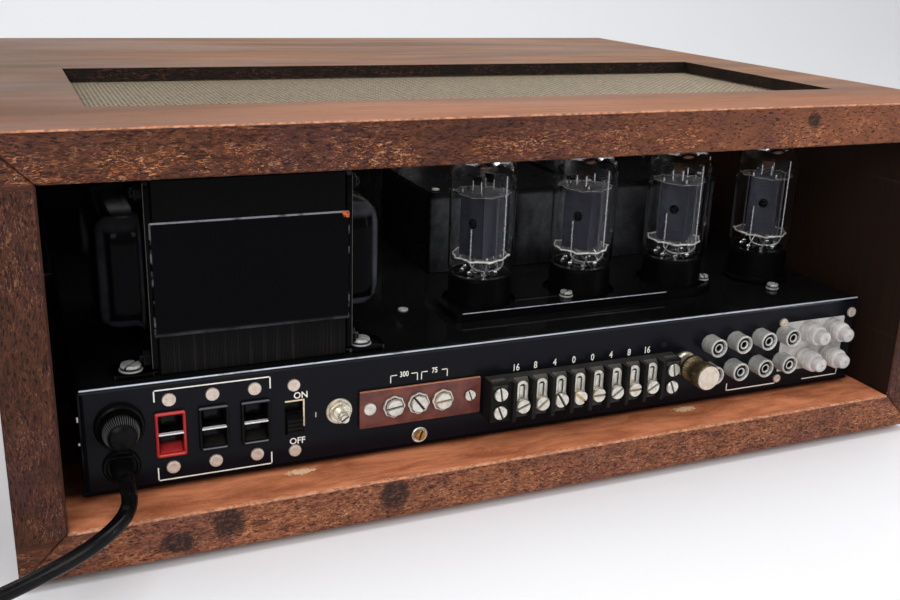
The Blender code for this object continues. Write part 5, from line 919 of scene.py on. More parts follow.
# each outlet finish takes its own colour, the painted shade inside its windows, and the painted highlight on
# its upper lip
OUTLET_RED = outlet_finish("outlet_red", (182, 44, 44), (14, 10, 12), (224, 106, 98))
OUTLET_BLACK = outlet_finish("outlet_black", (9, 9, 10), (5, 5, 6), (126, 130, 136))
NICKEL = metal_finish("aged_nickel", (226, 218, 200), (170, 156, 132), (0.26, 0.44), 0.75)
CAST = metal_finish("jack_cast", (196, 196, 192), (140, 140, 138), (0.42, 0.58), 0.35, 0.7, 0.5)
ZINC = metal_finish("zinc_screws", (220, 216, 206), (158, 152, 140), (0.28, 0.48), 0.65, 0.5)
RIVET = metal_finish("rivet_alloy", (216, 202, 188), (184, 166, 150), (0.36, 0.54), 0.55, 0.6)
TIN = metal_finish("tin_plate", (200, 200, 198), (150, 146, 138), (0.22, 0.46))
BRASS = metal_finish("brass", (214, 176, 104), (160, 118, 62), (0.24, 0.44))
STEEL = metal_finish("bright_wire", (166, 166, 170), (116, 115, 116), (0.18, 0.34), 1.0, 0.4)
BRONZE = metal_finish("ground_bronze", (112, 98, 74), (50, 42, 30), (0.34, 0.52), 0.8, 0.8)
TUNER_CAN = metal_finish("tuner_can", (190, 190, 190), (140, 138, 134), (0.26, 0.46), 1.0, 0.5, 0.4)
ALLOY = metal_finish("knob_alloy", (206, 204, 198), (180, 176, 168), (0.20, 0.34), 1.0, 0.4)
NET = metal_finish("net_metal", (190, 174, 150), (140, 128, 106), (0.40, 0.56), 0.35, 0.5)
ANODE = metal_finish("anode_grey", (50, 51, 62), (30, 31, 38), (0.46, 0.62), 0.15, 0.7, 0.6)
BASE_BLACK = plastic_finish("tube_base", (3, 3, 3), (6, 6, 6), (0.24, 0.38), 0.02, 0.02, 0.02)
HOLE_SHADE = plastic_finish("hole_black", (1, 1, 1), (3, 3, 3), (0.8, 0.9), 0.0, 0.0, 0.0)
SILVER = metal_finish("silver_flash", (214, 214, 216), (120, 104, 84), (0.06, 0.18), 1.0, 0.3)
MICA = clear_finish("mica_rim", (226, 220, 216), 0.62)
MICA_CLEAR = clear_finish("mica_sheet", (190, 186, 184), 0.10)
DIAL_PRINT = lit_finish("dial_print", (206, 226, 214))
SPUN = spun_finish()
# near black for screw slots and small holes: painted shade in these recesses
SLOT_SHADE = paper_finish("soot", (6, 6, 7), (12, 12, 13))
PRINT = paper_finish("print_white", (226, 222, 208), (242, 238, 228))
CREAM = paper_finish("switch_edge", (206, 186, 150), (232, 214, 184), 0.5)
PANEL_BLACK = enamel_finish("panel_black", (16, 16, 18), 0.16, 0.24, 0.06)
DIAL_GROUND = paper_finish("dial_ground", (14, 20, 22), (20, 28, 30), 0.4)
POINTER = plastic_finish("pointer_red", (206, 58, 34), (224, 72, 44), (0.3, 0.4), 0.01, 0.0)
COPPER = metal_finish("copper_fin", (62, 44, 34), (36, 24, 20), (0.30, 0.50))
ROD = metal_finish("dull_rod", (84, 84, 88), (56, 56, 60), (0.30, 0.50), 0.8, 0.4)
BRIDGE_HIGHLIGHT = metal_finish("contact_white", (236, 232, 234), (206, 202, 204), (0.30, 0.46), 0.3, 0.4)
# light grey for a strip along the raised plate's edge: a painted highlight
PLATE_EDGE_HIGHLIGHT = metal_finish("rubbed_line", (206, 212, 222), (60, 62, 68), (0.30, 0.50), 0.3, 0.5)
# light grey for a strip along each bell's flange: a painted highlight
FLANGE_HIGHLIGHT = metal_finish("worn_edge", (96, 92, 82), (8, 8, 8), (0.36, 0.55), 0.2, 0.25)
RAW_CARD = paper_finish("raw_card", (176, 116, 84), (206, 146, 110))
SOOT_GREY = plastic_finish("jack_core", (12, 13, 15), (30, 31, 34), (0.35, 0.5), 0.03, 0.1, 0.08)
GLASS = glass_finish("bulb_glass", (0.97, 0.98, 0.98, 1))
DIAL_CLEAR = glass_finish("dial_clear", (0.96, 0.98, 0.98, 1))
CORD = cord_finish()


# What each solid that stays in sight wears, apart from the pieces that take its place
DRESS = {
    WALNUT: "cabinet_top cabinet_bottom cabinet_side_left cabinet_side_right",
    APRON_ENAMEL: "chassis_pan",
    ENAMEL: "chassis_bottom_cover socket_plate",
    CORE: "power_transformer_core",
    BAND: "power_transformer_band",
    BELL: "power_transformer_bell_left power_transformer_bell_right",
    CAN: "output_transformer_left output_transformer_right",
    TUNER_CAN: "tuner_unit",
    TIN: "tuning_gang_frame tuning_shaft muting_shaft muting_bushing jack_board",
    BRASS: "tuning_gang_rotor",
    PANEL_BLACK: "front_panel",
    DIAL_CLEAR: "dial_glass",
    DIAL_GROUND: "dial_plate",
    POINTER: "dial_pointer",
    ALLOY: "tuning_knob volume_knob balance_knob bass_knob treble_knob selector_knob",
    SWITCH_BLACK: "power_rocker speaker_switch_lever speaker_switch_body",
    BAKELITE: "fuse_holder fuse_cap strain_relief power_plug",
    OUTLET_RED: "outlet_red",
    OUTLET_BLACK: "outlet_black_inner outlet_black_outer",
    PHENOLIC: "antenna_board",
    STRIP_BLACK: "speaker_terminal_strip",
    NICKEL: "ground_post",
    BRONZE: "ground_nut",
    CAP_WHITE: "jack_cap_1 jack_cap_2 jack_cap_3 jack_cap_4",
    NET: "top_grille",
    CORD: "power_cord cord_coil coil_tie",
}
for worn_look, wearers in DRESS.items():
    for wearer in wearers.split():
        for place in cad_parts[wearer].material_slots:
            place.material = worn_look


# Power cord: the free stretch follows its route, then the coil goes in low, climbs and comes out on top
CORD_WIDTH = 6.4
CORD_ROUTE = np.array([(187.8, 184.3, 38.3), (187.8, 190.7, 38.3), (187.9, 197.0, 38.1),
                       (188.9, 203.1, 37.4), (191.5, 208.7, 36.2), (195.9, 213.3, 34.4),
                       (201.7, 216.4, 32.0), (208.3, 217.9, 29.1), (216.0, 218.2, 25.7),
                       (226.5, 217.2, 20.9), (238.0, 215.3, 15.8), (250.0, 212.9, 11.1),
                       (262.0, 210.8, 7.3), (272.5, 209.2, 5.1), (286.9, 208.5, 4.3)])
COIL_CENTRE = (300.0, 158.25)
COIL_SPACING = 7.1
COIL_INNER = 25.4
COIL_TURNS, HALF_TURN, OUT_TURNS = 3.5, 0.5, 3.25
COIL_LIFT = 1.1
COIL_TAIL = 34.0


def coil_route():
    """Radius falls by one spacing a turn, dips through the half turn while it climbs, and grows again."""
    turns = COIL_TURNS + HALF_TURN + OUT_TURNS
    turn = np.linspace(0, turns, int(32 * turns) + 1)
    climb = np.clip((turn - COIL_TURNS) / HALF_TURN, 0, 1)
    radius = (COIL_INNER + COIL_SPACING * (COIL_TURNS - np.minimum(turn, COIL_TURNS))
              - COIL_SPACING * HALF_TURN * (climb - climb ** 2)
              + COIL_SPACING * np.maximum(turn - COIL_TURNS - HALF_TURN, 0))
    angle = QUARTER - ROUND * turn
    rise = COIL_LIFT + CORD_WIDTH / 2 + COIL_SPACING * (3 * climb ** 2 - 2 * climb ** 3)
    points = np.column_stack([COIL_CENTRE[0] + radius * np.cos(angle),
                              COIL_CENTRE[1] + radius * np.sin(angle), rise])
    heading = np.array([math.sin(angle[-1]), -math.cos(angle[-1]), 0.0])
    tail = points[-1] + np.outer(np.linspace(0.25, 1, 4), heading * COIL_TAIL)
    return np.vstack([points, tail])


def smoothed(route, spacing):
    """Even points on a Catmull-Rom curve through the route.

    Between b and c: 0.5 * (2b + (c - a)t + (2a - 5b + 4c - d)t^2 + (3b - a - 3c + d)t^3).
    """
    knots = np.vstack([2 * route[0] - route[1], route, 2 * route[-1] - route[-2]])
    a, b, c, d = knots[:-3], knots[1:-2], knots[2:-1], knots[3:]
    t = np.linspace(0, 1, 24, endpoint=False)[None, :, None]
    a, b, c, d = (each[:, None, :] for each in (a, b, c, d))
    square, cube = 2 * a - 5 * b + 4 * c - d, 3 * b - a - 3 * c + d
    fine = 0.5 * (2 * b + (c - a) * t + square * t ** 2 + cube * t ** 3)
    fine = np.vstack([fine.reshape(-1, 3), route[-1]])
    walked = np.concatenate([[0], np.cumsum(np.linalg.norm(np.diff(fine, axis=0), axis=1))])
    at = np.linspace(0, walked[-1], max(2, int(walked[-1] / spacing) + 1))
    return np.column_stack([np.interp(at, walked, fine[:, axis]) for axis in range(3)])


def cord_section(width, thickness, groove=0.55, steps=28):
    """An oval with a notch above and below.

    s = width / 2 * cos a and t = (thickness / 2 - groove * exp(-(cos a / 0.17)^2)) * sin a.
    """
    a = np.linspace(0, ROUND, steps, endpoint=False)
    notch = groove * np.exp(-(np.cos(a) / 0.17) ** 2)
    return np.column_stack([width / 2 * np.cos(a), (thickness / 2 - notch) * np.sin(a)])


def make_cord():
    """The cord along its route and coil, with the plug at its end and the tie round its turns."""
    free = np.vstack([CORD_ROUTE, coil_route()])
    path = smoothed(free, 2.2)
    cord = piece("mains_cord", [carried(cord_section(CORD_WIDTH, 5.9), path)], [CORD],
                 replaces=("power_cord", "cord_coil"), crease=60)
    plug = piece("mains_plug", plug_shells(path[-1]), [BAKELITE, BRASS], replaces="power_plug")
    tie = piece("cord_tie", tie_shells(), [CORD, STRIP_BLACK], replaces="coil_tie")


def plug_shells(end):
    """A moulded plug along -Y: ribbed neck, oval body with grip ridges, and two brass blades."""
    neck = [(0, 0.3), (4.2, 0.3), (4.6, 1.2), (4.6, 2.2), (4.0, 2.6), (4.0, 3.4), (4.9, 3.8), (4.9, 5.0),
            (4.3, 5.4), (4.3, 6.2), (5.3, 6.6), (5.4, 9.0), (6.4, 12.0), (8.6, 15.0), (10.4, 18.5),
            (10.8, 21.0), (10.2, 22.0), (10.2, 23.0), (10.9, 24.0), (10.2, 25.0), (10.2, 26.0),
            (10.9, 27.0), (10.2, 28.0), (10.2, 29.0), (10.9, 30.0), (10.9, 35.5), (9.8, 38.0), (0, 38.0)]
    parts = [turned(neck, end, (0, -1, 0), 48)]
    for side in (-1, 1):
        x = end[0] + side * 6.35
        low = (x - 0.75, end[1] - 54.9, end[2] - 3.15)
        high = (x + 0.75, end[1] - 36.0, end[2] + 3.15)
        parts.append(block(low, high, 0.7, 0.5, 1, 1))
    return parts


def tie_shells():
    """A strap round all the turns at 208 degrees, with a small buckle outside."""
    a = math.radians(208.0)
    low_r, high_r = 20.3, 52.3
    middle, half = (low_r + high_r) / 2, (high_r - low_r) / 2
    heart = np.array([COIL_CENTRE[0], COIL_CENTRE[1], 8.5])
    out = np.array([math.cos(a), math.sin(a), 0.0])
    along = np.array([-math.sin(a), math.cos(a), 0.0])
    lift = np.array([0, 0, 1.0])
    rows = []
    for grow, side in ((0.0, -4.2), (0.0, 4.2), (0.8, 4.2), (0.8, -4.2)):
        loop = rounded_ring(half + grow, 7.3 + grow, 3.0 + grow, 5)
        rows.append(heart + (middle + loop[:, :1]) * out + loop[:, 1:] * lift + side * along)
    buckle = block((-1.0, -5.2, -3.4), (1.3, 5.2, 3.4), 0.8, 0.5, 0, 1)
    p = buckle["points"]
    knot = heart + (middle + half + 1.4) * out
    buckle["points"] = knot + p[..., :1] * out + p[..., 1:2] * along + p[..., 2:] * lift
    return [shell(rows, True, True, 0), buckle]


# Output tubes
# Each tube's x, the angle that it shows to the picture's eye, and its electrodes' own turn past that
TUBES = ((3.5, 25.0, 38.0), (-54.8, 31.0, 24.0), (-113.1, 36.0, 13.0), (-171.4, 40.0, 5.0))
TUBE_Y = 119.5
MICA_LOW, MICA_HIGH = 100.9, 133.4


def mica_disc(z, radius, teeth, thick=0.5):
    """A cut disc: radius + 0.9 * |cos(teeth * a / 2)|^6 and three small sine waves that break its edge."""
    a = np.linspace(0, ROUND, teeth * 8, endpoint=False)
    out = radius + 0.9 * np.abs(np.cos(teeth * a / 2)) ** 6
    for size, waves, shift in ((0.35, 3, z), (0.3, 7, 2 * z), (0.28, 17, z)):
        out += size * np.sin(waves * a + shift)
    ring = np.column_stack([out * np.cos(a), out * np.sin(a)])
    wave = 0.35 * np.sin(2 * a + 0.6) + 0.12 * np.sin(9 * a)
    sheet = prism(ring * 0.965, z + 0.1, z + thick - 0.1, 2, 0.05, 7)
    rim = np.stack([np.column_stack([ring * grow, height + wave]) for grow, height in (
        (1 - 0.05 * thick, z), (1.0, z), (1.0, z + thick), (1 - 0.05 * thick, z + thick))])
    return [sheet, shell(rim, True, True, 2)]


def anode_shells(look):
    """A folded sheet box: a ridge at each corner, a crease near its foot, and a black disc in its face as the
    painted shade of a round hole.
    """
    half_x, half_y, fin = 7.3, 7.6, 0.45
    outline = []
    for sx, sy in ((1, 1), (1, -1), (-1, -1), (-1, 1)):
        corner = [(half_x * sx - 1.5 * sx, half_y * sy), (half_x * sx - 0.7 * sx, (half_y + fin) * sy),
                  (half_x * sx + 0.2 * sx, (half_y + fin) * sy), (half_x * sx, half_y * sy),
                  ((half_x + 0.3) * sx, (half_y - 1.6) * sy)]
        outline += corner if sx * sy > 0 else corner[::-1]
    body = prism(outline, MICA_LOW + 0.6, MICA_HIGH - 0.1, 2, 0.2, look)
    crease = prism(np.array(outline) * 1.015, MICA_LOW + 6.6, MICA_LOW + 7.2, 2, 0.25, look)
    # a black disc standing in for the dark hole in the face: painted shade
    window = turned([(0, 0.16), (2.3, 0.16), (2.6, 0.1), (2.65, -0.3), (0, -0.3)],
                    (-0.4, half_y + 0.02, MICA_LOW + 17.6), (0, 1, 0), 28, 4)
    return [body, crease, window]


def tube_shells(view, turn):
    """Everything of one tube but its glass, drawn about its own axis with +Y towards the room."""
    base = turned([(0, 74.4), (18.0, 74.4), (18.2, 74.8), (18.2, 76.2), (17.6, 76.6), (16.3, 76.7),
                   (16.0, 77.4), (15.9, 90.4), (15.6, 91.2), (15.0, 91.7), (0, 91.7)], steps=56, look=0)
    electrodes = anode_shells(1)
    electrodes += mica_disc(MICA_LOW, 13.9, 10, 0.7) + mica_disc(MICA_HIGH, 13.4, 10, 0.18)
    for x in (-9.6, 9.6):
        electrodes.append(wire([(x, 0, MICA_LOW - 3.5), (x, 0, 117), (x, 0, MICA_HIGH + 1.6)], 0.55, 8))
    for y in (5.0, -5.0):
        for x in (-2.6, 2.6):
            electrodes.append(wire([(x, y, MICA_HIGH + up) for up in (0.3, 3, 6.0)], 0.45, 3))
        electrodes.append(block((-3.0, y - 0.2, MICA_HIGH + 4.0), (3.0, y + 0.2, MICA_HIGH + 8.4), 0.5, 0.1,
                                1, 5, 1, 2))
    for x, y in ((-5.6, 8.4), (6.4, 8.3), (6.2, -8.4), (-6.2, -8.3)):
        for low, high in ((MICA_LOW - 1.7, MICA_LOW + 0.2), (MICA_HIGH - 0.2, MICA_HIGH + 1.9)):
            near, far = (x - 0.5, y - 0.25, low), (x + 0.5, y + 0.25, high)
            electrodes.append(block(near, far, 0.2, 0.1, 2, 3, 1, 2))
    # the bent wire: leg up the face, half round under the lower mica, leg up beside the anode
    t = np.linspace(0, math.pi, 15)
    loop = np.column_stack([3.2 - 8.2 * np.cos(t), 9.0 - 4.6 * t / math.pi + 1.2 * np.sin(t),
                            99.0 - 4.6 * np.sin(t)])
    path = np.vstack([[(-5.0, 8.9, 116.5), (-5.0, 9.0, 103.0)], loop,
                      [(11.4, 4.4, 103.0), (11.4, 4.4, 118.0), (11.4, 4.2, MICA_HIGH + 9)]])
    inner = [wire(path * np.array([-1, 1, 1]), 0.55, 3, 8, (0.2, 1.0, 0.1))]
    # pinch of the stem, its pins and the fine wires to the electrodes
    inner.append(turned([(0, 91.8), (7.5, 91.8), (6.6, 92.6), (4.9, 93.4), (4.0, 94.8), (3.6, 96.6),
                         (2.8, 97.4), (0, 97.5)], steps=28, look=6, reach=(1.5, 0.7)))
    for index in range(8):
        a = math.radians(45 * index + 12)
        foot = np.array([9.4 * math.cos(a), 9.4 * math.sin(a), 91.8])
        head = np.array([6.8 * math.cos(a + 0.3), 5.6 * math.sin(a + 0.3), MICA_LOW - 0.3])
        bend = (foot + head) / 2 + np.array([1.3 * math.cos(a), 1.3 * math.sin(a), -0.6])
        inner.append(wire([foot, foot + (0, 0, 2.0), bend, head], 0.28, 3, 6))
        inner.append(turned([(0, 0), (0.9, 0.2), (1.15, 0.9), (0.8, 1.7), (0.3, 2.1), (0, 2.1)], foot,
                            (0, 0, 1), 12, 6))
    inner.append(wire([(-6.2, 10.8, 92.6), (-3.0, 9.0, 95.8), (1.5, 7.0, MICA_LOW - 0.4)], 0.22, 3, 6))
    electrodes = [spun(each, -(view + turn)) for each in electrodes]
    return [base] + electrodes + [spun(each, -view) for each in inner]


def dome_arc(wide, high, centre=4.1, level=141.7, start=0.0, steps=11):
    """(radius, height) of a quarter round: centre + wide * cos t, level + high * sin t."""
    t = np.linspace(start, QUARTER, steps)
    return np.column_stack([centre + wide * np.cos(t), level + high * np.sin(t)])


def glass_shells():
    """Outside wall up to a round dome, a tipless top, then the inside wall back down: one closed skin."""
    dome, inner = (dome_arc(wide, high) for wide, high in ((12.5, 13.0), (11.6, 12.1)))
    foot = np.array([(14.7, 92.0), (15.6, 92.9), (16.3, 94.6), (16.6, 97.0)])
    foot_in = np.array([(15.7, 97.2), (15.4, 95.2), (14.8, 93.8), (14.0, 93.0), (14.0, 92.0)])
    profile = np.vstack([[(14.0, 92.0)], foot, dome, [(0, 154.7), (0, 153.8)], inner[::-1], foot_in])
    return [turned(profile, steps=64, look=0)]


def flash_shells():
    """Silvery film on the dome's inside: the inner dome less 0.15, with a ragged lower rim."""
    skin = dome_arc(11.6, 12.1, 3.9, 141.5, 0.62, 9)
    thin = dome_arc(11.5, 12.1, 3.9, 141.35, 0.62, 9)
    profile = np.vstack([skin, [(0, 153.6), (0, 153.45)], thin[::-1]])
    film = turned(profile, steps=48, look=0)
    a = np.linspace(0, ROUND, 48, endpoint=False)
    ragged = 0.9 * np.sin(3 * a) + 0.5 * np.sin(7 * a + 1)
    for row in (0, -1):
        film["points"][row, :, 2] += ragged
    return [film]


def make_tubes():
    """For each tube its inside, its bulb and the silver flash in its dome."""
    looks = [BASE_BLACK, ANODE, MICA, STEEL, HOLE_SHADE, COPPER, GLASS, MICA_CLEAR, ROD]
    for number, (x, view, turn) in enumerate(TUBES, 1):
        inside, glass, flash = ([moved(part, (x, TUBE_Y, 0)) for part in parts]
                                for parts in (tube_shells(view, turn), glass_shells(), flash_shells()))
        piece(f"tube_{number}_inside", inside, looks, replaces=f"output_tube_{number}_base")
        piece(f"tube_{number}_glass", glass, [GLASS], replaces=f"output_tube_{number}_bulb",
              crease=50)
        piece(f"tube_{number}_flash", flash, [SILVER])


# Small fasteners on the apron, all drawn lying in the wall's plane with +Z out of it
def slotted_head(radius, height, turn, look, slot_look, slot=0.55, out=0.0):
    """Two half rounds with a gap between them over a lower round: x = r cos a, |y| over half the gap."""
    a0 = math.asin(slot / radius)
    a = np.linspace(a0, math.pi - a0, 15)
    half = np.column_stack([radius * np.cos(a), radius * np.sin(a)])
    parts = [turned([(0, out), (radius, out), (radius, out + height * 0.45),
                     (radius * 0.97, out + height * 0.5), (0, out + height * 0.5)], steps=30,
                    look=slot_look)]
    for sign in (1, -1):
        parts.append(prism(half * (1, sign), out + 0.1, out + height, 2, radius * 0.14, look))
    return [spun(part, turn) for part in parts]


def low_dome(radius, height, look, out=0.0, dimple=0.25):
    """A rivet's head: flat rim, soft shoulder and a shallow dish in the middle."""
    return turned([(0, out), (radius, out), (radius, out + height * 0.35),
                   (radius * 0.93, out + height * 0.85), (radius * 0.74, out + height),
                   (radius * 0.45, out + height - dimple * 0.7), (0, out + height - dimple)], steps=32,
                  look=look)


def make_apron_rivets():
    """Alloy rivets over and under the outlets and the slide switch, and round the jack plate."""
    heads = []
    for _, u in OUTLETS:
        heads += [(2.95, 0.95, u, 39.4), (2.95, 0.95, u + 0.4, 8.2)]
    heads += [(2.85, 0.95, 88.5, 38.7), (2.85, 0.95, 88.6, 7.2), (2.3, 1.0, 355.6, 6.3),
              (2.8, 1.2, 401.3, 39.6)]
    parts = on_apron(slotted_head(2.5, 1.2, 60, 0, 1, 0.3), 355.0, 38.4, 0.02)
    for radius, height, u, v in heads:
        parts += on_apron([low_dome(radius, height, 0)], u, v, 0.02)
    piece("apron_rivets", parts, [RIVET, NICKEL])


def line_mark(points, width=0.55, high=0.06):
    """Printed lines: between two points runs a thin bar, half its width past both ends."""
    points = np.asarray(points, float)
    parts = []
    for first, last in zip(points[:-1], points[1:]):
        past = unit(last - first) * width / 2
        square = np.array([-past[1], past[0]])
        corners = (first - past - square, last + past - square, last + past + square, first - past + square)
        parts.append(capped([[rear(u, v, out) for u, v in corners] for out in (0.01, high)]))
    return parts


def make_printed_lines():
    """Frames round the outlets, brackets over the antenna screws, and half frames under the jacks."""
    parts = []
    for points in ([(29.3, 39.2), (29.3, 44.0), (78.1, 44.0), (78.1, 38.8)],
                   [(29.4, 8.3), (29.4, 2.6), (78.1, 2.6), (78.1, 7.9)],
                   [(322.8, 7.3), (322.8, 3.6), (354.6, 3.6)], [(373.6, 3.6), (397.2, 3.6), (397.2, 8.6)]):
        parts += line_mark(points)
    for end, corner in ((136.2, 133.4), (143.6, 146.4), (151.2, 148.4), (158.6, 161.2)):
        parts += line_mark([(end, 37.0), (corner, 37.0), (corner, 33.6)], 0.4)
    piece("printed_lines", parts, [PRINT], crease=20)


def words(name, rows, look, body="receiver", high=0.05):
    """Numbers and switch words: flat type, made a mesh, then laid where each row's maker says."""
    points, faces = [], []
    start = 0
    for text, size, lay in rows:
        curve = bpy.data.curves.new("type", "FONT")
        curve.body = text
        curve.size = size
        curve.align_x = curve.align_y = "CENTER"
        curve.offset = 0.014 * size
        curve.extrude = high / 2
        curve.resolution_u = 3
        holder = bpy.data.objects.new("type", curve)
        mesh = bpy.data.meshes.new_from_object(holder)
        flat = np.zeros(len(mesh.vertices) * 3)
        mesh.vertices.foreach_get("co", flat)
        points.append(lay(flat.reshape(-1, 3)))
        faces += [[start + v for v in polygon.vertices] for polygon in mesh.polygons]
        start += len(mesh.vertices)
        bpy.data.objects.remove(holder)
        bpy.data.curves.remove(curve)
        bpy.data.meshes.remove(mesh)
    mesh = bpy.data.meshes.new(name)
    mesh.from_pydata((np.vstack(points) * MM).tolist(), [], faces)
    mesh.materials.append(look)
    return hang(name, mesh, body)


def type_on_apron(u, v, squeeze=0.8):
    def lay(flat):
        x, y, z = flat.T
        at = rear(u, v)
        return np.column_stack([at[0] - x * squeeze, at[1] + 0.03 + z, at[2] + y])
    return lay


def make_apron_numbers():
    """Plain numbers over the terminals and the antenna screws, and the slide switch's two words."""
    texts = ("16", "8", "4", "0", "0", "4", "8", "16")
    rows = [(text, 4.9, type_on_apron(196.8 + 10.5 * place, 32.9)) for place, text in enumerate(texts)]
    rows += [("ON", 4.3, type_on_apron(91.6, 33.4, 0.95)), ("OFF", 4.3, type_on_apron(89.8, 11.6, 0.95)),
             ("300", 3.7, type_on_apron(139.9, 37.0)), ("75", 3.7, type_on_apron(154.9, 37.0))]
    words("apron_numbers", rows, PRINT)


def outlet_shells(u):
    """One closed skin: body behind the sheet, rounded bezel, then the well.

    In the well stand a sloping step in its lower half, a dark insert in each half, and the bridge with a
    painted highlight strip along its top.
    """
    v = OUTLET_HEIGHT
    rows = []
    for wide, high, corner, out in ((5.6, 9.4, 0.6, -12.9), (5.6, 9.4, 0.6, 0.0), (6.3, 10.1, 1.0, 0.03),
                                    (6.3, 10.1, 1.0, 1.5), (6.15, 9.95, 1.0, 2.0), (5.85, 9.65, 0.9, 2.2),
                                    (5.4, 9.2, 0.7, 2.15), (5.15, 8.95, 0.6, 1.8), (5.0, 8.8, 0.5, -7.5)):
        ring = rounded_ring(wide, high, corner, 4)
        at = rear(u, v, out)
        rows.append(np.column_stack([at[0] + ring[:, 0], np.full(len(ring), at[1]), at[2] + ring[:, 1]]))
    slope = np.array([(-4.4, -8.7), (0.8, -8.7), (0.9, -8.3), (-2.0, -6.6), (-4.4, -5.7)])
    return [capped(rows), side_prism(u, 4.7, slope + (0, v), 0.15),
            rear_block(u, 3.7, v + 2.2, v + 7.4, -7.3, -3.6, 0.4, 0.3, 1, 1, 1),
            rear_block(u, 4.9, v - 8.6, v - 0.8, -7.4, -4.3, 0.3, 0.2, 1, 1, 1),
            rear_block(u, 5.1, v - 0.9, v + 0.1, -6.0, 0.9, 0.2, 0.2, 0, 1, 1),
            # a thin light strip on the bridge's top: a painted highlight
            rear_block(u, 5.2, v + 0.15, v + 0.75, 0.3, 2.5, 0.15, 0.12, 0, 2, 1)]


def make_outlets():
    """Three mains outlets side by side, the first one red."""
    for name, u in OUTLETS:
        red = name == "outlet_red"
        piece(name + "_shell", outlet_shells(u), [OUTLET_RED if red else OUTLET_BLACK, SWITCH_BLACK,
                                                  BRIDGE_HIGHLIGHT], replaces=name)


def make_switch_edge():
    """Cream edge along the top and one side of the slide switch's window."""
    parts = [block(rear(84.4, 30.9, 0.02), rear(93.2, 31.6, 0.32), 0.1, 0.08, 1, 0, 1),
             block(rear(92.5, 18.5, 0.02), rear(93.2, 31.4, 0.30), 0.1, 0.08, 1, 0, 1)]
    piece("switch_edge", parts, [CREAM])


def six_sided(flat, reach):
    """A hexagon, flat / cos(a within a sixth), with its corners cut to a circle of the reach."""
    a = np.linspace(0, ROUND, 48, endpoint=False)
    ring = np.minimum(flat / np.cos((a + math.pi / 6) % (math.pi / 3) - math.pi / 6), reach)
    return np.column_stack([ring * np.cos(a), ring * np.sin(a)])


def make_muting():
    """Washer, six-sided nut with rounded corners, threaded bush and slotted shaft end."""
    nut = prism(six_sided(4.75, 5.2), 1.0, 3.1, 2, 0.35, 0)
    thread = [(0, 0.0), (3.1, 0.0)]
    for turn in range(9):
        thread += [(3.35, 2.8 + 0.44 * turn), (3.0, 3.02 + 0.44 * turn)]
    thread += [(2.9, 6.8), (2.4, 6.8), (2.4, 5.0), (0, 5.0)]
    washer = turned([(0, 0.02), (6.1, 0.02), (6.1, 0.5), (5.8, 0.9), (0, 0.9)], steps=48)
    behind = turned([(0, -11.0), (8.5, -11.0), (8.5, -3.0), (6.5, -1.5), (0, -1.5)], steps=32)
    parts = [washer, nut, turned(thread, steps=32), behind]
    piece("muting_bush", on_apron(parts, *MUTING_AT), [NICKEL], replaces="muting_bushing")
    shaft = [turned([(0, -6.0), (2.2, -6.0), (2.2, 8.3), (1.9, 8.6), (0, 8.6)], steps=28)]
    shaft += slotted_head(2.0, 1.4, 35, 0, 1, 0.35, 8.3)
    piece("muting_shaft_end", on_apron(shaft, *MUTING_AT), [ZINC, SLOT_SHADE], "muting_shaft",
          replaces="muting_shaft")


def make_antenna_board():
    """Brown card with a pale cut upper edge, two rivets, and three screws in pressed cup washers."""
    u, v = 148, 22.4
    parts = [rear_block(u, 29.75, v - 8.9, v + 8.9, 0.3, 1.9, 0.4, 0.15, 1, 0, 1),
             rear_block(u, 29.6, v + 8.75, v + 9.0, 0.5, 1.85, 0.1, 0.04, 1, 3, 1)]
    for u, turn, look in ((134.2, 8, 4), (146.2, 128, 4), (158.2, 5, 2)):
        cup = turned([(0, 1.9), (3.4, 1.9), (4.9, 2.2), (5.2, 2.9), (5.05, 3.4), (4.6, 3.5), (4.2, 2.8),
                      (0, 2.7)], steps=96, look=1, flutes=8, depth=0.2, fluted=[2, 3, 4, 5])
        parts += on_apron([cup] + slotted_head(4.0, 2.4, turn, 1, look, 0.34, 2.6), u, 23.0)
    parts += on_apron([low_dome(3.0, 1.0, 1, 1.9)], 122.9, 23.0)
    parts += on_apron(slotted_head(2.7, 1.1, 110, 1, 4, 0.18, 1.9), 172.3, 23.0)
    piece("antenna_card", parts, [PHENOLIC, ZINC, BRASS, RAW_CARD, SLOT_SHADE], replaces="antenna_board")
    # the brass screw under the card, in a cup washer of its own
    cup = turned([(0, 0.02), (3.6, 0.02), (3.9, 0.5), (3.5, 0.9), (2.6, 0.5), (0, 0.4)], steps=36)
    parts = on_apron([cup] + slotted_head(2.4, 1.6, 70, 1, 2, 0.3, 0.4), 148.0, 5.6)
    piece("low_apron_screw", parts, [ZINC, BRASS, SLOT_SHADE])


def lug_outline(half):
    """A U over the screw: a half round of (half * cos t, half * sin t) between straight legs."""
    t = np.linspace(0, math.pi, 10)
    return np.vstack([[(half, -6.2)], np.column_stack([half * np.cos(t), half * np.sin(t)]),
                      [(-half, -6.2)]])


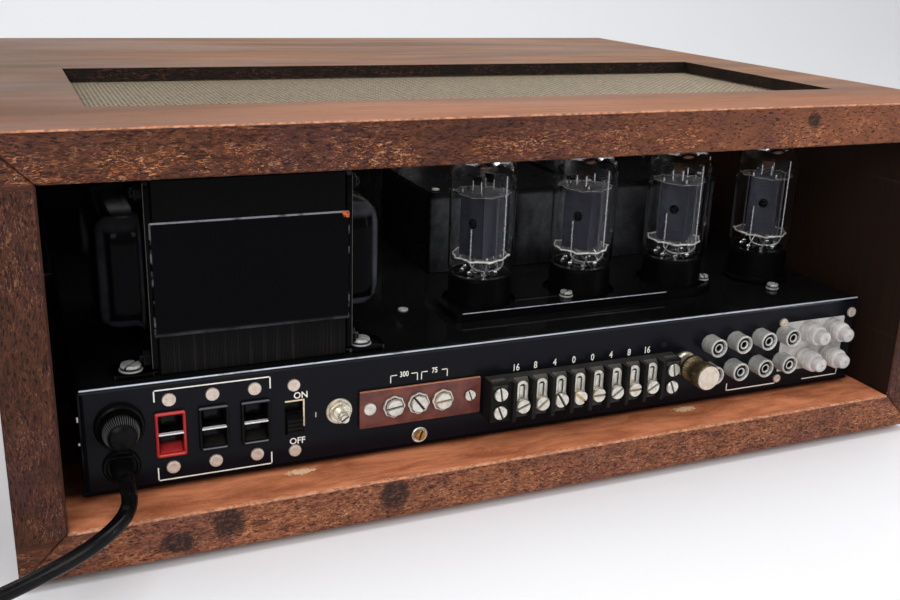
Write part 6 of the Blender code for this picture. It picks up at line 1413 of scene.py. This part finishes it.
def make_strip_metal():
    """A lug with a round-ended slot, a clamp plate and a screw in each bay, and four end screws."""
    parts = []
    brass_slots = {1, 3, 4, 6}
    v = 20.5
    outer, inner = lug_outline(3.0), lug_outline(1.5)
    for place, (u, turn) in enumerate(zip(STRIP_BAYS, (20, 40, -60, -42, 0, 35, 0, 30))):
        at = rear(u, v + 6.0)
        rows = [np.column_stack([at[0] - ring[:, 0], np.full(len(ring), APRON + out), at[2] + ring[:, 1]])
                for ring, out in ((outer, 7.8), (outer, 8.5), (inner, 8.5), (inner, 7.8))]
        tongue = rear_block(u, 1.0, v - 1.0, v + 6.2, 6.6, 8.0, 0.3, 0.2, 1, 0)
        clamp = rear_block(u, 3.3, v - 6.0, v + 0.4, 8.1, 8.9, 0.7, 0.25, 1, 0, 2)
        parts += [shell(rows, True, False, 0), tongue, clamp]
        slot_look = 2 if place in brass_slots else 1
        parts += on_apron(slotted_head(3.6, 2.7, turn, 0, slot_look, 0.42, 8.7), u, v - 3.1)
    for u in (184.7, 280.5):
        for v, turn in ((24.6, 100), (15.4, 112)):
            parts += on_apron(slotted_head(3.4, 1.6, turn, 0, 1, 0.3, 9.2), u, v)
    piece("strip_metal", parts, [ZINC, SLOT_SHADE, BRASS])


def make_jacks():
    """Twelve jacks with a rolled sleeve and a dark insulator; four of them stand in pushed-on caps."""
    parts = [block(rear(404.5, 8.7, -3.1), rear(299.5, 40.9, -1.5), 1.0, 0.2, 1, 1, 1)]
    sleeve = [(0, -2.0), (5.0, -2.0), (5.0, 0.5), (4.9, 0.9), (4.85, 6.4), (5.0, 7.0), (4.95, 7.8),
              (4.6, 8.2), (4.2, 8.2), (3.9, 7.8), (3.8, 6.6)]
    core = [(3.8, 6.6), (3.3, 7.2), (2.3, 7.4), (1.8, 7.0), (1.7, 2.5), (0, 2.5)]
    for column, u in enumerate(JACK_COLUMNS):
        for v in JACK_ROWS:
            eye = turned([(1.7, 7.0), (2.4, 7.5), (2.35, 7.7), (1.95, 7.75), (1.7, 7.5)], steps=24, look=0)
            ring = turned([(3.9, 6.2), (4.9, 7.4), (4.75, 8.1), (4.45, 8.25), (4.1, 8.05), (3.9, 7.4)],
                          steps=36, look=3)
            sleeves = [turned(sleeve, steps=36, look=0), turned(core, steps=24, look=2), ring, eye]
            parts += on_apron(sleeves, u + (0.9 if column < 4 else 0.0), v - 0.4)
    piece("phono_jacks", parts, [CAST, PHENOLIC, SOOT_GREY, ZINC], replaces="jack_board")
    plate = block(rear(396.8, 10.3, 0.02), rear(354.6, 38.2, 0.75), 0.8, 0.25, 1, 0, 2)
    piece("jack_plate", [plate], [CAP_WHITE])
    profile = [(0, 1.0), (5.2, 1.0), (5.75, 1.2), (5.75, 3.0), (5.3, 3.3), (5.3, 3.8), (5.7, 4.1),
               (5.6, 6.8), (5.1, 7.0), (5.1, 7.5), (5.5, 7.7), (5.35, 9.9), (4.9, 10.7), (4.1, 11.0),
               (4.0, 11.3), (3.9, 13.9), (3.4, 15.0), (2.2, 15.5), (0.7, 15.6), (0.6, 15.1), (0, 15.1)]
    capped_jacks = [(u, v) for u in JACK_COLUMNS[4:] for v in JACK_ROWS]
    for number, (u, v) in enumerate(capped_jacks, 1):
        piece(f"cap_shell_{number}", on_apron([turned(profile, steps=40)], u, v), [CAP_WHITE],
              replaces=f"jack_cap_{number}")


def make_ground_post():
    """Round flange, waisted nut with fine flutes and a broad polished face."""
    post = turned([(0, -7.0), (2.6, -7.0), (2.6, 0.0), (6.3, 0.02), (6.4, 1.6), (5.6, 2.6), (2.6, 2.8),
                   (2.6, 10.7), (0, 10.7)], steps=36)
    piece("ground_flange", on_apron([post], *GROUND_AT), [NICKEL], replaces="ground_post")
    rows = [(0, 6.1), (5.6, 6.1), (6.6, 6.5), (6.8, 7.3), (6.7, 8.6), (5.6, 9.9), (4.9, 11.0), (4.8, 13.0),
            (5.3, 14.2), (6.5, 15.0), (6.8, 15.6), (6.8, 20.6), (6.55, 21.3), (6.1, 21.7), (3.0, 21.6),
            (0, 21.6)]
    nut = turned(rows, steps=96, flutes=32, depth=0.12, fluted=[3, 4, 5, 6, 7, 8, 11])
    face = turned([(0, 21.5), (6.2, 21.5), (6.2, 21.72), (5.6, 21.8), (0, 21.75)], steps=48, look=1)
    piece("ground_thumb_nut", on_apron([nut, face], *GROUND_AT), [BRONZE, RIVET], "ground_nut",
          replaces="ground_nut")


def make_fuse_and_relief():
    """Fuse holder rim, knurled cap with a domed middle, and the round bush with its tapered sleeve."""
    rim = turned([(0, -30.0), (7.2, -30.0), (7.2, -1.2), (7.2, 0.02), (10.2, 0.02), (10.2, 1.6), (9.7, 2.6),
                  (8.9, 3.0), (8.2, 2.7), (7.9, 1.9), (5.3, 1.8), (5.3, -18.0), (0, -18.0)], steps=56)
    piece("fuse_rim", on_apron([rim], *FUSE_AT), [BAKELITE], replaces="fuse_holder")
    cap = turned([(0, -14.0), (3.4, -14.0), (4.6, -12.0), (4.7, 3.2), (7.4, 3.4), (7.6, 4.0), (7.5, 5.0),
                  (7.0, 8.0), (6.3, 10.6), (5.6, 12.2), (4.6, 13.2), (3.0, 13.7), (1.4, 13.85), (0, 13.9)],
                 steps=192, flutes=48, depth=0.3, fluted=[6, 7, 8])
    piece("fuse_cap_shell", on_apron([cap], *FUSE_AT), [FUSE], "fuse_cap", replaces="fuse_cap")
    bush = turned([(0, -7.0), (5.6, -7.0), (5.6, 0.02), (7.8, 0.02), (7.8, 0.9), (7.3, 1.6), (6.4, 1.7),
                   (5.9, 1.2), (0, 1.2)], steps=48)
    sleeve = turned([(0, 0.9), (4.9, 0.9), (5.0, 1.8), (4.7, 4.0), (4.4, 5.0), (4.4, 6.0), (4.6, 6.5),
                     (4.3, 8.5), (4.1, 9.3), (4.3, 10.0), (3.95, 12.6), (3.7, 14.0), (3.5, 14.4),
                     (0, 14.4)], steps=40)
    flats = [rear_block(14.7, 4.7, 16.9, 18.0, 0.9, 3.6, 0.8, 0.4, 1)]
    piece("cord_bush", on_apron([bush, sleeve], 14.7, 12.2) + flats, [BAKELITE], replaces="strain_relief")


def make_apron_pins():
    """Two small holes in the apron, drawn as black discs of painted shade, and the bright pin beside the
    first.
    """
    parts = [rear_block(98.25, 0.25, 21.9, 24.4, 0.05, 0.35, 0.2, 0.1, 1, 0, 1)]
    for radius, u, v in ((1.5, 98.1, 23.2), (1.7, 280.2, 34.6)):
        parts += on_apron([turned([(0, 0.02), (radius, 0.02), (radius, 0.1), (0, 0.1)], steps=20, look=1)],
                          u, v)
    piece("apron_pins", parts, [RIVET, SLOT_SHADE])


# Net over the cut-out: zigzag strands that touch at their peaks, like slit and stretched sheet
def make_net():
    """Strand k: x = k * pitch + pitch / 2 * zigzag(y), each second strand half a step along."""
    pitch, step = 2.06, 2.0
    half, depth = 196.2, 146.6
    y = np.arange(0.2, 146.4, step)
    section = np.array([(-0.31, -0.11), (0.31, -0.11), (0.31, 0.13), (-0.31, 0.13)])
    strands = []
    for k in range(int(391 / pitch)):
        zigzag = np.where((np.arange(len(y)) + k) % 2 == 0, 0.5, -0.5)
        x = -195.6 + pitch * (k + 0.5) + pitch * 0.9 * zigzag
        sag = -0.35 * np.sin(math.pi * y / depth) * np.cos(x / 392 * math.pi)
        strands.append(carried(section, np.column_stack([x, y, 175.5 + sag])))
    piece("woven_net", strands, [NET], replaces="top_grille", crease=40)
    hem = [block((x0, y0, 174.6), (x1, y1, 176.0), 0.2, 0.1, 2, 0, 1, 2) for x0, y0, x1, y1 in (
        (-half, -1.2, half, 0.6), (-half, 145.6, half, 147.2), (-half, 0.6, -195.0, 145.6),
        (195.0, 0.6, half, 145.6))]
    piece("net_hem", hem, [NET])


# Painted highlights along edges of the chassis, laid on as thin strips
def bend_strip(start, end, radius, lift=0.06):
    """A quarter round between two points along X: y = -r + (r + lift) sin t, z = -r + (r + lift) cos t."""
    t = np.linspace(-0.25, QUARTER + 0.25, 11)
    outer, inner = (np.column_stack([-radius + r * np.sin(t), -radius + r * np.cos(t)])
                    for r in (radius + lift, radius - 0.3))
    ring = np.vstack([outer, inner[::-1]])
    x = np.linspace(start[0], end[0], 60)
    wave = 0.012 * np.sin(x / 7.0) + 0.01 * np.sin(x / 2.7)
    rows = np.zeros((len(x), len(ring), 3))
    rows[..., 0] = x[:, None]
    rows[..., 1] = start[1] + ring[None, :, 0] + wave[:, None]
    rows[..., 2] = start[2] + ring[None, :, 1] + wave[:, None]
    return capped(rows)


def make_bright_bends():
    """Painted highlight strips on the apron's upper bend and along the raised plate's rear edge, and the
    flange at the cord end.
    """
    parts = [bend_strip((202.2, APRON, DECK), (-202.2, APRON, DECK), 1.6)]
    piece("apron_bend_highlight", parts, [BEND_HIGHLIGHT], crease=60)
    # a thin strip along the raised plate's rear edge: a painted highlight
    edge = [block((-96.0, 141.2, 78.02), (22.0, 141.72, 78.5), 0.2, 0.15, 0, 0, 1)]
    piece("socket_plate_edge_highlight", edge, [PLATE_EDGE_HIGHLIGHT], crease=60)
    flange = [block((202.2, 166.4, 27.6), (203.4, 170.1, 73.2), 0.4, 0.25, 2, 0, 2),
              block((201.2, 169.2, 26.8), (204.2, 170.2, 28.4), 0.3, 0.2, 2, 0, 1),
              block((203.3, 169.0, 60.6), (204.0, 170.2, 62.8), 0.3, 0.2, 2, 1, 1),
              block((203.3, 169.0, 50.2), (204.0, 170.1, 51.2), 0.2, 0.1, 2, 1, 1)]
    piece("side_flange", flange, [ENAMEL, PRINT])


def upright_screw(x, y, z, radius, height, turn):
    """A round head with a slot, standing on a level face, over a plain washer."""
    washer = turned([(0, 0.02), (radius * 1.16, 0.02), (radius * 1.16, 0.4), (radius * 1.1, 0.6), (0, 0.7)],
                    steps=32)
    parts = [washer] + slotted_head(radius, height, turn, 0, 1, radius * 0.14, 0.7)
    return [moved(part, (x, y, z)) for part in parts]


def hex_nut(radius, height, bore):
    """Six flats with cut corners and a rounded top, and the stud's end above it."""
    nut = prism(six_sided(radius * 0.88, radius), 0, height, 2, 0.4, 0)
    stud = turned([(0, height), (bore, height), (bore, height + 1.2), (bore * 0.8, height + 1.6),
                   (0, height + 1.6)], steps=20)
    return [nut, stud]


def make_deck_screws():
    """Screws in the chassis top, on the transformer's feet and on the raised plate, and one rivet."""
    parts = [moved(low_dome(2.6, 0.9, 0), (43.3, 115.6, DECK))]
    screws = [(-41.2, 131.0, 78.4, 3.1, 1.9, 35), (-129.0, 128.0, 78.4, 2.7, 1.8, 70),
              (-165.8, 142.3, DECK, 3.0, 2.0, 15)]
    screws += [(x, y, 76.4, 4.3, 2.0, 50 + x) for x, y in ((180.4, 158.6), (80.0, 158.6), (180.4, 72.5),
                                                           (77.4, 72.5))]
    screws += [(x, -30.0, DECK, 2.6, 1.7, x) for x in (28.0, -140.0)]
    for screw in screws:
        parts += upright_screw(*screw)
    piece("deck_screws", parts, [CAST, SLOT_SHADE])


def bell_shells(face, side):
    """Dome, flange and two feet with webs. The dome's outline draws in by r (1 - cos t), rising by r sin t."""
    rise = [(2.0, -2.6), (2.7, -1.6), (3.6, -0.7), (5.0, -0.1), (7.0, 0.0), (11.0, 0.0)]
    t = np.linspace(0, QUARTER, 9)[1:]
    rise += list(zip(11.0 + 11.0 * np.sin(t), 11.0 * (1 - np.cos(t))))
    rows = []
    for out, inset in rise:
        ring = rounded_ring(37.0 - inset, 26.0 - inset, max(13.0 - inset, 2.0), 7)
        rows.append(np.column_stack([np.full(len(ring), face + side * out), 114.5 + ring[:, 0],
                                     114.4 + ring[:, 1]]))

    def plate(out, wide, top, corner, axis):
        low, high = (face + side * out[0], wide[0], 74.4), (face + side * out[1], wide[1], top)
        return block(low, high, corner, 0.3, axis, 0, 4)

    parts = [capped(rows), plate((0.0, 2.6), (64.5, 164.5), 157.4, 4.0, 0)]
    web = np.array([(1.5, 75.4), (12.6, 75.4), (12.0, 76.6), (3.6, 87.0), (1.5, 87.4)])
    for low, high, at in ((64.5, 79.5, 77.5), (149.5, 164.5, 149.5)):
        parts.append(plate((1.0, 18.6), (low, high), 76.4, 3.0, 2))
        parts.append(capped([np.column_stack([face + side * web[:, 0], np.full(5, y), web[:, 1]])
                             for y in (at, at + 2.0)]))
    return parts


def make_bells():
    """The two pressed end bells of the power transformer, each with a painted highlight strip along its
    flange's edge.
    """
    for name, face, side in (("power_transformer_bell_left", 169.8, 1),
                             ("power_transformer_bell_right", 88.2, -1)):
        parts = bell_shells(face, side)
        near, far = (face + side * 2.2, 164.1, 78.0), (face + side * 2.5, 164.62, 156.0)
        # a thin light strip along the flange's edge: a painted highlight
        parts.append(block(near, far, 0.2, 0.1, 2, 1, 1))
        piece(name + "_shell", parts, [BELL, FLANGE_HIGHLIGHT], replaces=name)


def make_transformer_bolts():
    """Through bolts at the core's corners: nuts stand on both end bells' flanges, along X."""
    parts = []
    for y in (70.8, 158.2):
        for z in (80.6, 151.2):
            for sign, x in ((1, 172.4), (-1, 85.6)):
                for part in hex_nut(3.9, 2.8, 2.0):
                    p = part["points"]
                    part["points"] = np.stack([x + sign * p[..., 2], y + p[..., 0], z + p[..., 1]], axis=-1)
                    parts.append(part)
    piece("transformer_bolts", parts, [BELL])


def make_can_screws():
    """Four screws in each potted can's lid."""
    parts = []
    for low_x, high_x in ((-85.5, 8.5), (-182.5, -88.5)):
        for x in (low_x + 6, high_x - 6):
            for y in (-12.5, 55.5):
                head = slotted_head(2.2, 1.2, x * 3, 0, 1, 0.3)
                parts += [moved(part, (x, y, 119.9)) for part in head]
    piece("can_screws", parts, [ZINC, SLOT_SHADE])


# Front of the set
def type_on_front(x, z, y, squeeze=0.9):
    def lay(flat):
        a, b, c = flat.T
        return np.column_stack([x + a * squeeze, y - 0.03 - c, z + b])
    return lay


def make_dial_scale():
    """A station scale from 88 to 108 and an even scale under it, printed on the dial's ground."""
    y = -150.3
    station, mark = 6.1, 12.2
    rows = [(DIAL_X, 121.1, 124, 0.5), (DIAL_X, 115.4, 124, 0.4)]
    for n in np.arange(88, 108.1, 0.5):
        rank = 0 if n % 4 == 0 else 1 if n % 1 == 0 else 2
        lift, wide, high = ((1.9, 0.45, 3.8), (1.1, 0.28, 2.2), (0.7, 0.28, 1.4))[rank]
        rows.append((DIAL_X + (n - 98) * station, 121.4 + lift, wide, high))
    rows += [(DIAL_X + (n - 5) * mark, 114.2, 0.5, 2.2) for n in range(11)]
    bars = [block((x - w / 2, y - 0.06, z - h / 2), (x + w / 2, y - 0.005, z + h / 2),
                  0.12, 0.02, 1, 0, 1, 2) for x, z, w, h in rows]
    piece("dial_lines", bars, [DIAL_PRINT])
    text = [(str(n), 5.4, type_on_front(DIAL_X + (n - 98) * station, 128.4, y)) for n in range(88, 109, 4)]
    text += [(str(n), 3.8, type_on_front(DIAL_X + (n - 5) * mark, 109.9, y)) for n in range(11)]
    words("dial_numbers", text, DIAL_PRINT)


def make_panel_print():
    """Dots round each knob from stop to stop, and the two words of the power switch."""
    parts = []
    reach = 18.2
    for name, x in KNOB_ROW:
        stop, dots = (60, 5) if name == "selector_knob" else (150, 11)
        for angle in np.radians(np.linspace(-stop, stop, dots)):
            at = (x + reach * math.sin(angle), PANEL, KNOB_ROW_Z + reach * math.cos(angle))
            parts.append(turned([(0, 0.005), (0.6, 0.005), (0.6, 0.06), (0, 0.06)], at, (0, -1, 0), 12))
    piece("panel_dots", parts, [PRINT])
    words("panel_words", [("ON", 4.2, type_on_front(160, 67.6, PANEL)),
                          ("OFF", 4.2, type_on_front(160, 38.6, PANEL))], PRINT)


def make_window_trim():
    """A thin bright frame round the dial window and a fine line along the panel's lower third."""
    rows = []
    for grow, out in ((0.0, 0.02), (1.6, 0.02), (1.6, 0.8), (0.9, 1.3), (0.0, 0.8)):
        ring = rounded_ring(110.0 + grow, 20.0 + grow, 4.0 + grow, 6)
        rows.append(np.column_stack([DIAL_X + ring[:, 0], np.full(len(ring), PANEL - out),
                                     121.6 + ring[:, 1]]))
    strip = block((-209.0, PANEL - 0.5, 81.4), (209.0, PANEL - 0.02, 82.6), 0.2, 0.1, 1, 0, 1)
    piece("window_trim", [shell(rows, True, True, 0), strip], [ALLOY])


def knob_shells(x, z, radius, skirt, length, flutes):
    """Skirt, fluted grip, chamfer and a dished spun face with a pointer line; drawn along -Y."""
    out = PANEL - 1.0
    origin = (x, out, z)
    profile = [(0, 0.0), (skirt - 0.5, 0.0), (skirt, 0.5), (skirt, 2.3), (skirt - 0.6, 3.0),
               (radius + 0.3, 3.2), (radius, 3.8), (radius, length - 2.2), (radius - 0.4, length - 1.2),
               (radius - 1.6, length - 0.1), (radius - 2.2, length), (radius - 2.8, length - 0.4),
               (0, length - 0.7)]
    body = turned(profile, origin, (0, -1, 0), flutes * 4, flutes=flutes, depth=0.28, fluted=[6, 7])
    face = turned([(0, length - 0.74), (radius - 3.0, length - 0.46), (radius - 3.0, length - 0.36),
                   (0, length - 0.62)], origin, (0, -1, 0), 64, 1)
    tip, top = out - length, z + radius
    mark = block((x - 0.6, tip + 0.1, top - 8.0), (x + 0.6, tip + 1.2, top - 2.6), 0.5, 0.2, 1, 2)
    side = block((x - 0.55, tip + 1.6, top - 0.5), (x + 0.55, out - 4.2, top + 0.33), 0.25, 0.12, 1, 2, 1)
    return [body, face, mark, side]


def make_knobs():
    """Five small knobs on one row, each with its shaft behind, and the large tuning knob."""
    looks = [ALLOY, SPUN, PANEL_BLACK]
    for name, x in KNOB_ROW:
        parts = knob_shells(x, KNOB_ROW_Z, 12.4, 14.5, 16.0, 44)
        parts.append(turned([(0, 0), (3.0, 0), (3.0, 30.0), (0, 30.0)], (x, -139.0, KNOB_ROW_Z), (0, -1, 0),
                            20))
        piece(name + "_shell", parts, looks, name, replaces=name)
    piece("tuning_knob_shell", knob_shells(*TUNING_AT, 23.8, 27.0, 22.8, 84), looks, "tuning_drive",
          replaces="tuning_knob")


def make_glide_nails():
    """A bright nail head in the middle of each glide."""
    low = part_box("cabinet_bottom")[0][2] / MM
    parts = []
    for x in (-195, 195):
        for y in (-140, 160):
            parts.append(turned([(0, 4.0), (3.0, 4.0), (3.0, low + 1.4), (2.0, low + 1.0), (0, low + 0.9)],
                                (x, y, 0), steps=20))
    piece("glide_nails", parts, [ZINC])


def make_strip_posts():
    """A post behind each lug, its top sloping down towards the room, dusty where it faces up."""
    post = [(5.4, 10.8), (7.7, 10.8), (7.7, 28.2), (7.3, 28.9), (5.9, 30.4), (5.4, 30.45)]
    lip = [(9.1, 27.0), (9.35, 27.0), (9.35, 28.6), (7.0, 30.65), (5.0, 30.75), (5.0, 30.4), (6.9, 30.3),
           (9.1, 28.4)]
    parts = [side_prism(u, 3.75, post, 0.2) for u in STRIP_BAYS]
    parts += [side_prism(u, 3.6, lip, 0.1) for u in (184.6, 280.4)]
    piece("strip_posts", parts, [STRIP_POST])


for make in (make_camera, make_cord, make_tubes, make_apron_rivets, make_printed_lines, make_apron_numbers,
             make_outlets, make_switch_edge, make_muting, make_antenna_board, make_strip_metal, make_jacks,
             make_ground_post, make_fuse_and_relief, make_apron_pins, make_net, make_bright_bends,
             make_deck_screws, make_bells, make_transformer_bolts, make_can_screws, make_dial_scale,
             make_panel_print, make_window_trim, make_knobs, make_glide_nails, make_strip_posts):
    make()


# Floor, backdrop and light
def make_stage():
    """Floor and backdrop in one sheet, in metres: flat, then a quarter round of 0.6 m up to a wall.

    y = -1.1 - 0.6 * sin t and z = 0.6 - 0.6 * cos t in the round; the floor lies 0.2 mm under the glides.
    """
    t = np.linspace(0, QUARTER, 24)
    bend = np.column_stack([-1.1 - 0.6 * np.sin(t), 0.6 - 0.6 * np.cos(t)])
    line = np.vstack([[2.6, 0.0], [1.2, 0.0], [0.0, 0.0], bend, [-1.7, 3.0]])
    x = np.linspace(-3.2, 3.2, 30)
    rows = np.zeros((len(line), len(x), 3))
    rows[..., 0] = x
    rows[..., 1] = line[:, :1]
    rows[..., 2] = line[:, 1:] - 0.0002
    mesh = bpy.data.meshes.new("floor")
    mesh.from_pydata(rows.reshape(-1, 3).tolist(), [], grid_quads(len(line), len(x)).tolist())
    mesh.polygons.foreach_set("use_smooth", np.ones(len(mesh.polygons), bool))
    s = Finish("studio_floor")
    place = s.place()
    cloud = s.noise(place, 3.0, 2, 0.5)
    colour = s.mix(s.band(cloud, 0.3, 0.7), (0.86, 0.86, 0.885, 1), (0.89, 0.89, 0.915, 1))
    wall = s.mix(s.band(s.parts(place)[1], -0.7, -1.5), colour, (0.80, 0.805, 0.815, 1))
    mesh.materials.append(s.finish(colour=wall, rough=s.band(cloud, 0.2, 0.8, 0.55, 0.65)))
    floor = link(bpy.data.objects.new("floor", mesh))


def make_light(name, place, towards, size, power, colour=(1, 1, 1)):
    data = bpy.data.lights.new(name, "AREA")
    data.shape = "RECTANGLE"
    data.size, data.size_y = size
    data.energy = power
    data.color = colour
    lamp = bpy.data.objects.new(name, data)
    lamp.location = place
    lamp.rotation_mode = "QUATERNION"
    lamp.rotation_quaternion = (Vector(towards) - Vector(place)).to_track_quat("-Z", "Y")
    link(lamp)


def make_world():
    world = bpy.data.worlds.new("studio")
    world.use_nodes = True
    shade = world.node_tree.nodes["Background"]
    shade.inputs[0].default_value = (0.95, 0.97, 1.0, 1)
    shade.inputs[1].default_value = 0.52
    bpy.context.scene.world = world


bpy.context.scene.view_settings.view_transform = "Standard"
make_stage()
make_world()
make_light("window", (1.2, 1.9, 1.5), (0, 0.1, 0.1), (1.6, 1.2), 28, (1.0, 0.99, 0.98))
make_light("ceiling_box", (-0.3, 0.2, 2.1), (0, 0, 0.1), (1.8, 1.4), 26)
make_light("front_box", (-0.8, -2.0, 1.1), (0, 0, 0.1), (1.4, 1.0), 16)
make_light("side_strip", (-1.3, 1.5, 0.7), (0, 0.1, 0.1), (0.07, 1.3), 4)
